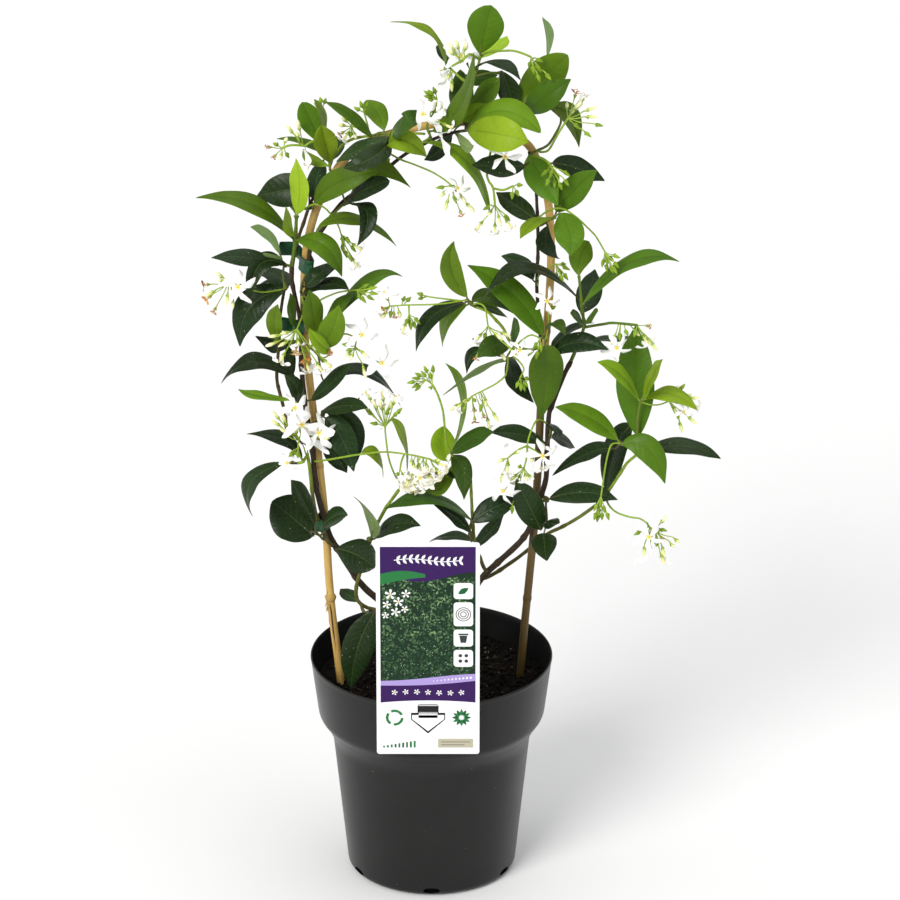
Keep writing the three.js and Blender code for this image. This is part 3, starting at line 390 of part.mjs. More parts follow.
    leaves: [[[95.8,-8.5,332.7],[123.3,-12.8,340.8],[151.6,-16.6,335.4],[0.091,0.814,0.574],21.2,5,"e",[[93.1,-6.8,332],[95.8,-8.5,332.7]]],
      [[89.4,-15.5,308.2],[79.3,-24.9,334.5],[68.5,-32.4,360.7],[-0.898,-0.163,-0.409],23.7,5,"e",[[93.4,-6.9,332.4],[93.4,-8,327.1],[92.6,-12,315.6],[89.4,-15.5,308.2]]],
      [[93.4,-14.3,314.8],[97.9,-30.3,320.1],[104,-46.2,328],[0.678,0.462,0.571],13,5,"e",[[93.4,-6.9,332.4],[93.4,-9,321.4],[93.4,-14.3,314.8]]],
      [[91.8,-16.4,305.9],[91.5,-32.7,302.5],[93.7,-48.9,295.6],[0.994,0.026,0.105],21.2,5,"v",[[93.4,-6.9,332.4],[93.4,-8,327.1],[94.3,-11,315.1],[91.8,-16.4,305.9]]]],
  },
  { name: 'shoot_right',
    twigs: [[1.25,0.85,[[166.4,-11.1,373.2],[166.4,-12.8,386.1],[166.8,-12,407.3],[169.1,-12,421.2]]],
      [0.95,0.95,[[166.7,-11.7,376.1],[152.5,-18,386.2]]],
      [0.85,0.7,[[152.5,-18,386.2],[145.9,-21,386.5],[143,-23.2,379.9],[137.5,-25,342.5]]],
      [0.85,0.7,[[168.8,-12,419.7],[176.8,-13.1,417.5],[184.7,-10.7,416.8],[191.9,-7,418.3]]]],
    leaves: [[[167.4,-8.2,388.2],[165.4,2.6,434.4],[165.2,13.5,476.1],[-0.959,0.27,-0.09],33,5,"e",[[166.4,-13,389.7],[167.4,-8.2,388.2]]],
      [[167.4,-15.7,422.7],[151.4,-25.6,448.5],[132.6,-34.5,463.3],[-0.061,-0.884,-0.463],19.4,5,"e",[[169.3,-11.7,421.1],[167.4,-15.7,422.7]]],
      [[170.5,-17.4,426.1],[176.7,-33.9,449.2],[184.4,-50.3,472.2],[-0.056,0.805,0.59],19.4,5,"e",[[169.1,-11.7,421],[170.5,-17.4,426.1]]],
      [[172.2,-15,423.3],[193.5,-21.3,430.3],[214.4,-27.6,418.1],[0.307,0.899,0.311],19.4,5,"e",[[168.9,-11.8,421.1],[172.2,-15,423.3]]],
      [[150.8,-19.5,389.4],[126.3,-21.3,409.4],[99.7,-23.1,419.7],[-0.269,-0.792,-0.548],21.6,5,"e",[[152.7,-17.9,385.9],[150.8,-19.5,389.4]]],
      [[154,-20.7,386.4],[174.8,-27,383.8],[188.7,-33.3,356.7],[0.681,0.26,0.685],21.2,5,"e",[[153.7,-17.1,385.2],[154,-20.7,386.4]]],
      [[173.1,-10.9,377.9],[208.8,-8.2,378.5],[235.1,-5.5,366.8],[-0.039,0.967,0.252],23.4,5,"e",[[166.1,-11.9,379.2],[173.1,-10.9,377.9]]],
      [[162.7,-0.6,395.5],[148.9,13.3,364.9],[143.1,19.1,319.7],[0.67,-0.658,-0.344],24.6,5,"e",[[166.6,-12.9,392.7],[166.5,-9,392],[165,-4,394.3],[162.7,-0.6,395.5]]],
      [[147.8,-17,380.5],[125.5,-8,372.2],[98,-13.7,355.3],[0.065,-0.965,-0.253],20.7,5,"e",[[152.7,-18,386.4],[147.8,-17,380.5]]]],
    hubs: [[137.5,-25,342.5], [191.9,-7,418.3]],
    buds: [[[137.5,-25,342.5],[131.9,-27.5,330.4],0.85], [[137.5,-25,342.5],[135.2,-26.1,325.3],0.85], [[137.5,-25,342.5],[140.8,-28.2,328.9],0.85], [[191.9,-7,418.3],[210.4,-6.1,424],1.05], [[191.9,-7,418.3],[216.7,-9.6,422.8],1.05], [[191.9,-7,418.3],[197.8,-6.1,408.3],1.05], [[191.9,-7,418.3],[200.4,-5.8,401.2],0.85], [[191.9,-7,418.3],[204.6,-6.2,432.8],0.85]],
    flowers: [[[191.9,-7,418.3],[204,-10.6,410.2],[0.431,-0.834,0.345],9], [[191.9,-7,418.3],[216,-10.9,414.7],[0.974,-0.158,-0.165],5.7]],
  },
  { name: 'flowers_right_low',
    twigs: [[0.95,0.75,[[142.1,-8.3,332.4],[144.6,-13.7,329.3],[149.5,-15.8,324.8],[162.7,-18.1,320.6],[169.6,-18,319.4],[175.4,-18,315.6]]],
      [0.95,0.75,[[175.4,-18,315.6],[177.7,-18,311.3],[182,-18,309.3]]]],
    leaves: [],
    hubs: [[182,-18,309.3]],
    buds: [[[176.9,-18,312.8],[171.4,-20,308.4],1.05], [[176.9,-18,312.8],[179.6,-18,308.4],1.05], [[177.7,-18,311.4],[173.5,-17.2,284.9],1.05], [[176.9,-18,312.8],[164.9,-21.6,306.5],0.85], [[182,-18,309.3],[191.3,-23.4,324.1],1.05], [[182,-18,309.3],[187.7,-18.1,308.5],0.85], [[182,-18,309.3],[191.8,-17.2,308.1],0.85], [[182,-18,309.3],[190.4,-20.8,286.5],1.05], [[182,-18,309.3],[189.7,-22.5,280.1],1.05], [[182,-18,309.3],[184.5,-21.3,296.6],0.85]],
    flowers: [[[179.1,-18,310.7],[176.9,-25.9,306.6],[-0.1,-0.988,0.116],13.9]],
    curls: [[[182,-18,309.3],[187.6,-22.5,303.3],3.3]],
  },
  { name: 'flowers_crown_under',
    twigs: [[0.95,0.75,[[-39.5,7.1,627.1],[-35.2,3.9,627.7],[-25.3,-14.5,628.2],[-20.4,-19.2,627.6],[-1,-20,619.9],[16.1,-20,607.9]]]],
    leaves: [],
    hubs: [[16.1,-20,607.9]],
    buds: [[[16.1,-20,607.9],[7.4,-19,597.5],1.05], [[16.1,-20,607.9],[11.4,-24.1,587.6],1.05], [[16.1,-20,607.9],[34.3,-21.1,585.7],1.05], [[16.1,-20,607.9],[20,-25.1,594.7],0.85], [[16.1,-20,607.9],[4.3,-19.6,605.3],0.85]],
    flowers: [[[16.1,-20,607.9],[21.6,-24.2,606.9],[0.343,-0.936,0.078],10.6]],
    curls: [[[16.1,-20,607.9],[24,-25.2,585.5],4.1]],
  },
  { name: 'flowers_top_left',
    twigs: [[0.95,0.75,[[-48.3,-16.3,649.6],[-48.9,-19.8,655.4],[-52.1,-20,668.7]]],
      [0.95,0.75,[[-48.7,-18.7,653.6],[-61.6,-20,657.1]]]],
    leaves: [],
    hubs: [[-52.1,-20,668.7], [-61.6,-20,657.1]],
    buds: [[[-52.1,-20,668.7],[-55.2,-18.8,677.4],0.85], [[-52.1,-20,668.7],[-48.9,-21.2,677.4],0.85], [[-52.1,-20,668.7],[-59.8,-28.1,675.6],0.85], [[-61.6,-20,657.1],[-70.2,-19.5,664.4],1.05], [[-61.6,-20,657.1],[-64.6,-20.6,668.1],1.05], [[-61.6,-20,657.1],[-58.5,-20.5,647.3],1.05], [[-61.6,-20,657.1],[-63.3,-19.3,646.9],0.85]],
    flowers: [[[-61.6,-20,657.1],[-68.7,-22.7,645.6],[-0.526,-0.25,-0.813],5.7]],
    curls: [[[-61.6,-20,657.1],[-70.3,-20.2,650.5],4.1]],
  },
  { name: 'buds_upper_right',
    twigs: [[0.95,0.75,[[86.5,-5.3,576],[92.9,-15,584.3],[99,-16.7,587.2],[105.9,-17.5,586.6],[117.4,-18.1,578.3],[127.3,-17.6,568.1],[138.4,-16,550]]]],
    leaves: [],
    hubs: [[138.4,-16,550]],
    buds: [[[138.4,-16,550],[136.2,-14.5,536.7],0.85], [[138.4,-16,550],[140.3,-14.7,532.5],0.85], [[138.4,-16,550],[144.9,-19.2,533.4],0.85]],
  },
  { name: 'buds_centre_right',
    twigs: [[0.95,0.75,[[85.4,-5.5,518.7],[85.5,-6.5,525],[89.2,-7.5,530],[99.7,-9,537.2]]]],
    leaves: [[[81.4,-16.1,526.2],[71.1,-9.2,537.2],[55.9,-6.2,542.9],[-0.481,-0.845,-0.233],20,5,"e",[[85.5,-5.6,521.5],[81.4,-16.1,526.2]]]],
    hubs: [[99.7,-9,537.2]],
    buds: [[[99.7,-9,537.2],[104.5,-11.5,527.9],0.85], [[99.7,-9,537.2],[99.9,-6.1,522.4],0.85], [[99.7,-9,537.2],[109.3,-13.5,525.2],0.85]],
  },
  { name: 'flowers_low_centre',
    twigs: [[0.95,0.75,[[-25.7,-12,342.8],[-25.4,-13.7,347.9],[-29.9,-19.9,360.3],[-32.1,-21.5,367],[-35.2,-22.1,381.1],[-37,-22,402.7]]]],
    leaves: [[[-32.2,-18.8,407.5],[-21.9,-11.9,386.2],[-19.6,-5,355.1],[0.112,0.954,0.278],19.4,5,"e",[[-37.3,-22,402.4],[-35.4,-22,404.4],[-32.2,-18.8,407.5]]]],
    hubs: [[-37,-22,402.7]],
    buds: [[[-37,-22,402.7],[-49.1,-23.2,405.8],0.85], [[-37,-22,402.7],[-52.1,-27,418.7],0.85], [[-37,-22,402.7],[-55.4,-22.9,422.2],1.05], [[-37,-22,402.7],[-47.3,-27.2,427.5],1.05], [[-37,-22,402.7],[-40.9,-23.8,426.1],1.05], [[-37,-22,402.7],[-25.7,-24.7,416.9],0.85]],
    flowers: [[[-37,-22,402.7],[-52.1,-24.7,433.4],[-0.469,-0.093,0.878],4.9], [[-37,-22,402.7],[-39.2,-29.9,435.5],[-0.138,-0.108,0.984],6.5], [[-37,-22,402.7],[-28,-27.8,431.2],[0.273,-0.125,0.954],6.5]],
    curls: [[[-37,-22,402.7],[-58.5,-27.1,425.7],4.1], [[-37,-22,402.7],[-45.7,-22.3,423.7],3.3], [[-37,-22,402.7],[-39.4,-21,418.8],4.1]],
  },
  { name: 'flowers_big_bunch',
    twigs: [[0.95,0.75,[[-92.7,-19.6,370.8],[-80.4,-34.4,378.9],[-75.5,-38.5,381.6],[-69.1,-40.4,383.6],[-34.9,-34.8,385.4],[-14.3,-33,381.8],[-0.8,-33,378.5]]],
      [0.95,0.75,[[-21.4,-33.5,383.2],[-25,-32,368.4]]]],
    leaves: [[[-55.6,-25.8,381.6],[-42.9,-18.5,374.1],[-39,-11.2,352.5],[-0.059,0.906,0.42],17.3,5,"e",[[-54.2,-38.3,384.5],[-54.8,-29,381.2],[-55.6,-25.8,381.6]]]],
    hubs: [[-0.8,-33,378.5], [-25,-32,368.4]],
    buds: [[[-12.6,-33,381.4],[-14.5,-34.9,369.7],1.05], [[-11.1,-33,381],[-8.1,-33.6,368.2],1.05], [[-0.8,-33,378.5],[8.1,-32.6,376.6],1.05], [[-25,-32,368.4],[-27.4,-33.9,364],0.85], [[-25,-32,368.4],[-21.7,-35.5,365.6],0.85]],
    flowers: [[[-5.2,-33,379.6],[-16.9,-36.9,363.5],[-0.585,-0.155,-0.796],9.8], [[-0.8,-33,378.5],[12.1,-44.7,377.4],[0.946,-0.196,-0.259],9.8], [[-6.7,-33,379.9],[1.6,-37.7,360.4],[0.42,-0.157,-0.894],9.8], [[-6.7,-33,379.9],[-8.8,-39.8,364.8],[-0.373,-0.927,0.036],11.4], [[-9.6,-33,380.7],[-13.7,-36.8,351.2],[-0.121,-0.111,-0.987],8.2], [[-3.7,-33,379.2],[-2.4,-39.6,369.9],[0.178,-0.333,-0.926],9], [[-8.1,-33,380.3],[-20.9,-39.8,356.9],[-0.473,-0.117,-0.873],9], [[-0.8,-33,378.5],[8.9,-44.1,368.4],[0.62,-0.193,-0.761],7.3]],
    curls: [[[-3.7,-33,379.2],[-5.6,-37.3,369],4.1], [[-0.8,-33,378.5],[4.8,-27.6,363],4.1]],
  },
  { name: 'flowers_hanging',
    twigs: [[0.95,0.75,[[92.8,-3.3,397.4],[89.5,-8.1,402.1],[85,-13.6,403.9],[81.6,-18.4,399.3],[79,-22,393.2],[77.4,-24,386.1]]],
      [0.95,0.75,[[77.4,-24,386.1],[71.7,-25.6,384.2],[62,-28,377.3]]],
      [0.95,0.75,[[77.4,-24,386.1],[84.6,-26,382.5]]],
      [0.95,0.75,[[77.4,-24,386.1],[77.5,-25.6,380.1],[75,-27,368.1]]]],
    leaves: [],
    hubs: [[62,-28,377.3], [84.6,-26,382.5], [75,-27,368.1]],
    buds: [[[62,-28,377.3],[53.2,-31.7,375.3],1.05], [[62,-28,377.3],[55.7,-28.6,355.6],1.05], [[65.7,-27.1,379.9],[71.6,-31.3,384.8],1.05], [[84.6,-26,382.5],[80.6,-28.6,374],1.05], [[75,-27,368.1],[82.4,-26.4,356.4],1.05], [[75,-27,368.1],[70.1,-30.2,371.2],0.85], [[75,-27,368.1],[65.5,-26.6,327.3],0.85], [[75,-27,368.1],[63,-26.3,356.3],1.05]],
    flowers: [[[62,-28,377.3],[61.2,-34.5,366.9],[-0.129,-0.243,-0.961],7.3], [[62,-28,377.3],[58.1,-32.1,350.1],[-0.322,-0.94,-0.109],13.9], [[84.6,-26,382.5],[90.2,-31.3,380.4],[0.182,-0.967,0.176],13.9], [[84.6,-26,382.5],[88.7,-29,367.1],[0.228,-0.209,-0.951],8.2], [[75,-27,368.1],[67.9,-20.7,351.3],[-0.464,-0.216,-0.859],7.3], [[75,-27,368.1],[77.3,-40,362.3],[0.263,-0.326,-0.908],7.3]],
  },
]

// ---------------------------------------------------------------- helpers
const V = (p) => new THREE.Vector3(p[0], p[1], p[2])

// geometry -> closed solid with shared vertices
function solid(geometry) {
  let g = geometry.clone()
  g.deleteAttribute('normal')
  g.deleteAttribute('uv')
  g = mergeVertices(g, 1e-4)
  const index = g.index.array
  const tri = []
  for (let i = 0; i < index.length; i += 3) {
    const [a, b, c] = [index[i], index[i + 1], index[i + 2]]
    if (a !== b && b !== c && c !== a) tri.push(a, b, c)
  }
  const m = new wasm.Mesh({ numProp: 3, vertProperties: new Float32Array(g.attributes.position.array), triVerts: new Uint32Array(tri) })
  m.merge()
  let s = new wasm.Manifold(m)
  return s
}

function geometryOf(s) {
  const m = s.getMesh()
  const g = new THREE.BufferGeometry()
  const pos = new Float32Array(m.numVert * 3)
  for (let i = 0; i < m.numVert; i++) for (let k = 0; k < 3; k++) pos[3 * i + k] = m.vertProperties[i * m.numProp + k]
  g.setAttribute('position', new THREE.BufferAttribute(pos, 3))
  g.setIndex(new THREE.BufferAttribute(new Uint32Array(m.triVerts), 1))
  g.computeVertexNormals()
  return g
}

// a sphere geometry drawn out along a path: its poles are the two ends and its
// circles of latitude are the rings, so the result is a closed bar with `sides` sides
function bar(path, radii, sides, flatStart = true, flatEnd = true) {
  const P = path.map((p) => (p.isVector3 ? p : V(p)))
  const rings = []
  for (let i = 0; i < P.length; i++) {
    if (i === 0 && !flatStart) continue
    if (i === P.length - 1 && !flatEnd) continue
    rings.push(i)
  }
  const g = new THREE.SphereGeometry(1, sides, rings.length + 1)
  const tangents = P.map((p, i) => {
    const a = P[Math.max(i - 1, 0)], b = P[Math.min(i + 1, P.length - 1)]
    if (i === 0 || i === P.length - 1) return b.clone().sub(a).normalize()
    return p.clone().sub(a).normalize().add(b.clone().sub(p).normalize()).normalize()
  })
  let n = new THREE.Vector3(0, 0, 1)
  if (Math.abs(tangents[0].z) > 0.9) n.set(0, 1, 0)
  n.sub(tangents[0].clone().multiplyScalar(n.dot(tangents[0]))).normalize()
  const frames = []
  for (let i = 0; i < P.length; i++) {
    n = n.clone().sub(tangents[i].clone().multiplyScalar(n.dot(tangents[i]))).normalize()
    frames.push([n.clone(), new THREE.Vector3().crossVectors(tangents[i], n)])
  }
  const pos = g.attributes.position
  const columns = sides + 1
  for (let row = 0; row <= rings.length + 1; row++) {
    for (let c = 0; c <= sides; c++) {
      const k = row * columns + c
      let q
      if (row === 0) q = P[0].clone()
      else if (row === rings.length + 1) q = P[P.length - 1].clone()
      else {
        const i = rings[row - 1]
        const a = (2 * Math.PI * (c % sides)) / sides
        q = P[i].clone()
          .add(frames[i][0].clone().multiplyScalar(radii[i] * Math.cos(a)))
          .add(frames[i][1].clone().multiplyScalar(radii[i] * Math.sin(a)))
      }
      pos.setXYZ(k, q.x, q.y, q.z)
    }
  }
  return outward(g)
}

// turn the faces out where a drawn-out shape came out inside out
function outward(g) {
  const p = g.attributes.position, ix = g.index.array
  let volume = 0
  for (let i = 0; i < ix.length; i += 3) {
    const a = new THREE.Vector3().fromBufferAttribute(p, ix[i])
    const b = new THREE.Vector3().fromBufferAttribute(p, ix[i + 1])
    const c = new THREE.Vector3().fromBufferAttribute(p, ix[i + 2])
    volume += a.dot(b.cross(c))
  }
  if (volume < 0) for (let i = 0; i < ix.length; i += 3) { const t = ix[i]; ix[i] = ix[i + 1]; ix[i + 1] = t }
  return g
}

function taper(path, r0, r1) {
  const P = path.map(V)
  const d = [0]
  for (let i = 1; i < P.length; i++) d.push(d[i - 1] + P[i].distanceTo(P[i - 1]))
  return d.map((x) => r0 + ((r1 - r0) * x) / d[d.length - 1])
}

// share of the full width that the blade has at t (0 base, 1 tip)
function outline(t, kind) {
  const [a, b, tp, tl] = { e: [0.92, 0.74, 0.68, 0.18], o: [1.38, 0.62, 1.0, 0.1], v: [0.72, 0.7, 0.75, 0.2], r: [0.95, 0.56, 0.9, 0.12] }[kind]
  const x = Math.pow(Math.max(0, Math.sin(Math.PI * Math.pow(t, a))), b)
  return x * (tp + (1 - tp) * Math.min(1, (1 - t) / tl))
}

// a leaf: a sphere geometry with four columns, laid out as a thin petiole that
// widens into a folded lens
function leaf(base, middle, tip, across, width, foldDegrees, kind, petiole) {
  const P0 = V(base), P2 = V(tip), S = V(across)
  const C = V(middle).multiplyScalar(2).sub(P0.clone().add(P2).multiplyScalar(0.5))
  const fold = THREE.MathUtils.degToRad(foldDegrees)
  const stations = P0.distanceTo(P2) > 70 ? [0.2, 0.5, 0.8] : [0.28, 0.72]
  const rings = []
  for (const t of stations) {
    const p = P0.clone().multiplyScalar((1 - t) ** 2).add(C.clone().multiplyScalar(2 * t * (1 - t))).add(P2.clone().multiplyScalar(t * t))
    const d = C.clone().sub(P0).multiplyScalar(1 - t).add(P2.clone().sub(C).multiplyScalar(t)).normalize()
    const s = S.clone().sub(d.clone().multiplyScalar(S.dot(d))).normalize()
    const n = new THREE.Vector3().crossVectors(d, s)
    const h = (width / 2) * outline(t, kind)
    rings.push([
      p.clone().addScaledVector(s, h * Math.cos(fold)).addScaledVector(n, h * Math.sin(fold)),
      p.clone().addScaledVector(n, LEAF_HALF_THICKNESS),
      p.clone().addScaledVector(s, -h * Math.cos(fold)).addScaledVector(n, h * Math.sin(fold)),
      p.clone().addScaledVector(n, -LEAF_HALF_THICKNESS),
    ])
  }
  // the petiole's rings, from the blade back to the twig
  const path = petiole.map(V)
  let s = S.clone()
  for (let i = path.length - 1; i >= 1; i--) {
    const next = i === path.length - 1 ? C : path[i + 1]
    const d = path[i].clone().sub(path[i - 1]).normalize().add(next.clone().sub(path[i]).normalize())
    if (d.length() < 0.2) d.copy(next).sub(path[i])
    d.normalize()
    s.addScaledVector(d, -s.dot(d))
    s.normalize()
    const n = new THREE.Vector3().crossVectors(d, s)
    rings.unshift([
      path[i].clone().addScaledVector(s, PETIOLE_RADIUS), path[i].clone().addScaledVector(n, PETIOLE_RADIUS),
      path[i].clone().addScaledVector(s, -PETIOLE_RADIUS), path[i].clone().addScaledVector(n, -PETIOLE_RADIUS),
    ])
  }
  const g = new THREE.SphereGeometry(1, 4, rings.length + 1)
  const pos = g.attributes.position
  for (let row = 0; row <= rings.length + 1; row++) {
    for (let c = 0; c <= 4; c++) {
      const p = row === 0 ? path[0] : row === rings.length + 1 ? P2 : rings[row - 1][c % 4]
      pos.setXYZ(row * 5 + c, p.x, p.y, p.z)
    }
  }
  return outward(g)
}

// an open flower: a flat five-sided disc on the end of its tube
function flowerDisc(centre, facing, radius) {
  const g = new THREE.SphereGeometry(1, 5, 2)
  const q = new THREE.Quaternion().setFromUnitVectors(new THREE.Vector3(0, 1, 0), V(facing).normalize())
  g.scale(radius, 0.7, radius)
  g.applyQuaternion(q)
  g.translate(centre[0], centre[1], centre[2])
  return g
}

function lerp(a, b, t) { return V(a).lerp(V(b), t) }

const plant = new THREE.Group()
const materials = {
  pot: { color: 0x35373a, roughness: 0.5, metalness: 0 },
  mix: { color: 0x2a211b, roughness: 0.95, metalness: 0 },
  bamboo: { color: 0xc2a876, roughness: 0.55, metalness: 0 },
  tie: { color: 0x1f4a2f, roughness: 0.45, metalness: 0 },
  label: { color: 0xf4f3f1, roughness: 0.4, metalness: 0 },
  bark: { color: 0x4a3327, roughness: 0.75, metalness: 0 },
  leaf: { color: 0x3f5f22, roughness: 0.35, metalness: 0 },
  flower: { color: 0xeeeee2, roughness: 0.6, metalness: 0 },
}
function add(name, geometry, material) {
  const mesh = new THREE.Mesh(geometry, new THREE.MeshStandardMaterial(materials[material]))
  mesh.name = name
  plant.add(mesh)
  return mesh
}

// ---------------------------------------------------------------- pot
const bodyTop = 120
const potOutside = [
  [BASE_FLAT_RADIUS, 0], [70, 3.5], [81.9, bodyTop], [88, 132], [COLLAR_FOOT_RADIUS, COLLAR_FOOT_Z], [99.4, 186.5], [POT_RIM_RADIUS, POT_HEIGHT],
]
const potInside = [
  [POT_RIM_RADIUS - POT_WALL, POT_HEIGHT], [97.7, 186.5], [COLLAR_FOOT_RADIUS - POT_WALL, 140.2], [86.3, 132.8], [80.2, bodyTop + 0.6], [68.6, 5.6], [65.2, POT_FLOOR],
]
// radius of the inner wall at a height
function innerRadius(z) {
  const p = [...potInside].reverse()
  for (let i = 1; i < p.length; i++) if (z <= p[i][1]) return p[i - 1][0] + ((p[i][0] - p[i - 1][0]) * (z - p[i - 1][1])) / (p[i][1] - p[i - 1][1])
  return p[p.length - 1][0]
}
function turned(profile, segments) {
  const g = new THREE.LatheGeometry(profile.map((p) => new THREE.Vector2(p[0], p[1])), segments)
  g.rotateX(Math.PI / 2)
  return outward(g)
}
let pot = solid(turned([[0, 0], ...potOutside, ...potInside, [0, POT_FLOOR]], POT_SEGMENTS))
// drain holes round the bottom corner
for (let i = 0; i < DRAIN_HOLES; i++) {
  const hole = new THREE.CylinderGeometry(DRAIN_WIDTH / 2, DRAIN_WIDTH / 2, 16, 6)
  hole.rotateZ(Math.PI / 2)
  hole.scale(1, 1, DRAIN_HEIGHT / DRAIN_WIDTH)
  hole.translate(70, 0, DRAIN_HEIGHT / 2 + POT_FLOOR + 0.3)
  hole.rotateZ(-Math.PI / 2 + (i * 2 * Math.PI) / DRAIN_HOLES)
  pot = pot.subtract(solid(hole))
}
// slit under the rim for the label's tongue
const slit = new THREE.BoxGeometry(TONGUE_NECK + 2, 12, SLIT_HIGH - SLIT_LOW)
slit.translate(LABEL_X, -POT_RIM_RADIUS, (SLIT_HIGH + SLIT_LOW) / 2)
pot = pot.subtract(solid(slit))
add('pot', geometryOf(pot), 'pot')

// ---------------------------------------------------------------- potting mix
const mixBase = POT_FLOOR + MIX_GAP
const mixProfile = [[0, mixBase], [64.6, mixBase], [68.0, 6.2]]
for (const z of [120.6, 132.8, 140.2, MIX_TOP - 3]) mixProfile.push([innerRadius(z) - MIX_GAP - 0.25, z])
const mixTop = [0.97, 0.8, 0.58, 0.3]
for (const f of mixTop) mixProfile.push([innerRadius(MIX_TOP) * f - 0.6, MIX_TOP])
mixProfile.push([0, MIX_TOP])
const mixGeometry = turned(mixProfile, POT_SEGMENTS)
{
  // a chunky surface: the points of the top ride up and down a little
  const p = mixGeometry.attributes.position
  for (let i = 0; i < p.count; i++) {
    if (Math.abs(p.getZ(i) - MIX_TOP) > 0.01) continue
    const x = p.getX(i), y = p.getY(i), r = Math.hypot(x, y)
    if (r < 1) continue
    const a = Math.round((Math.atan2(y, x) * POT_SEGMENTS) / (2 * Math.PI) + POT_SEGMENTS) % POT_SEGMENTS
    const h = Math.sin(a * 2.399 + r * 0.37) * 0.6 + Math.sin(a * 5.1 + r * 0.19 + 1) * 0.4
    p.setZ(i, MIX_TOP + MIX_BUMP * h * (r > 88 ? 0.5 : 1))
  }
}
let mix = solid(mixGeometry)
for (const [path, r] of [[HOOP_PATH, HOOP_RADIUS], [STEMS[0][3], STEMS[0][1]], [STEMS.find((s) => s[0] === 'vine_right_main')[3], STEMS.find((s) => s[0] === 'vine_right_main')[1]]]) {
  const ends = path === HOOP_PATH ? [path.slice(0, 5), [...path].reverse().slice(0, 5)] : [path.slice(0, 5)]
  for (const e of ends) {
    const q = e.map(V)
    const down = q[0].clone().sub(q[1]).normalize()
    q[0].add(down.multiplyScalar(STEM_GAP))
    mix = mix.subtract(solid(bar(q, q.map(() => (r + STEM_GAP) / Math.cos(Math.PI / 8)), 8)))
  }
}
add('potting_mix', geometryOf(mix), 'mix')

// ---------------------------------------------------------------- bamboo hoop, stems, ties
add('bamboo_hoop', bar(HOOP_PATH, HOOP_PATH.map(() => HOOP_RADIUS), HOOP_SIDES), 'bamboo')
for (const [name, r0, r1, path] of STEMS) add(name, bar(path, taper(path, r0, r1), r0 > 2.5 ? STEM_SIDES : BRANCH_SIDES), 'bark')

for (const [name, origin, axis, across, height, inner] of TIES) {
  const A = V(axis), E = V(across), F = new THREE.Vector3().crossVectors(A, E)
  const ring = inner.map((p) => new THREE.Vector2(p[0], p[1]))
  const centre = ring.reduce((s, p) => s.add(p), new THREE.Vector2()).divideScalar(ring.length)
  const outer = ring.map((p, i) => {
    const a = ring[(i + ring.length - 1) % ring.length], b = ring[(i + 1) % ring.length]
    const n1 = new THREE.Vector2(p.y - a.y, a.x - p.x).normalize(), n2 = new THREE.Vector2(b.y - p.y, p.x - b.x).normalize()
    const n = n1.clone().add(n2).normalize()
    if (n.dot(p.clone().sub(centre)) < 0) n.negate()
    return p.clone().add(n.multiplyScalar(TIE_WALL / Math.max(0.6, Math.abs(n.dot(n1)))))
  })
  const shape = new THREE.Shape(outer)
  shape.holes.push(new THREE.Path(ring))
  const g = new THREE.ExtrudeGeometry(shape, { depth: height, bevelEnabled: false })
  g.translate(0, 0, -height / 2)
  let band = solid(g)
  if (name === 'tie_upper') {
    // the loose end of the upper tie, a flat strip to the left behind the green shoot
    const strip = new THREE.Shape(TIE_TAIL.map((p) => new THREE.Vector2(p[0], p[1])))
    const tail = new THREE.ExtrudeGeometry(strip, { depth: TIE_TAIL_HEIGHT, bevelEnabled: false })
    tail.translate(0, 0, TIE_TAIL_LOW)
    band = band.add(solid(tail))
  }
  const mesh = add(name, geometryOf(band), 'tie')
  mesh.quaternion.setFromRotationMatrix(new THREE.Matrix4().makeBasis(E, F, A))
  mesh.position.set(origin[0], origin[1], origin[2])
}

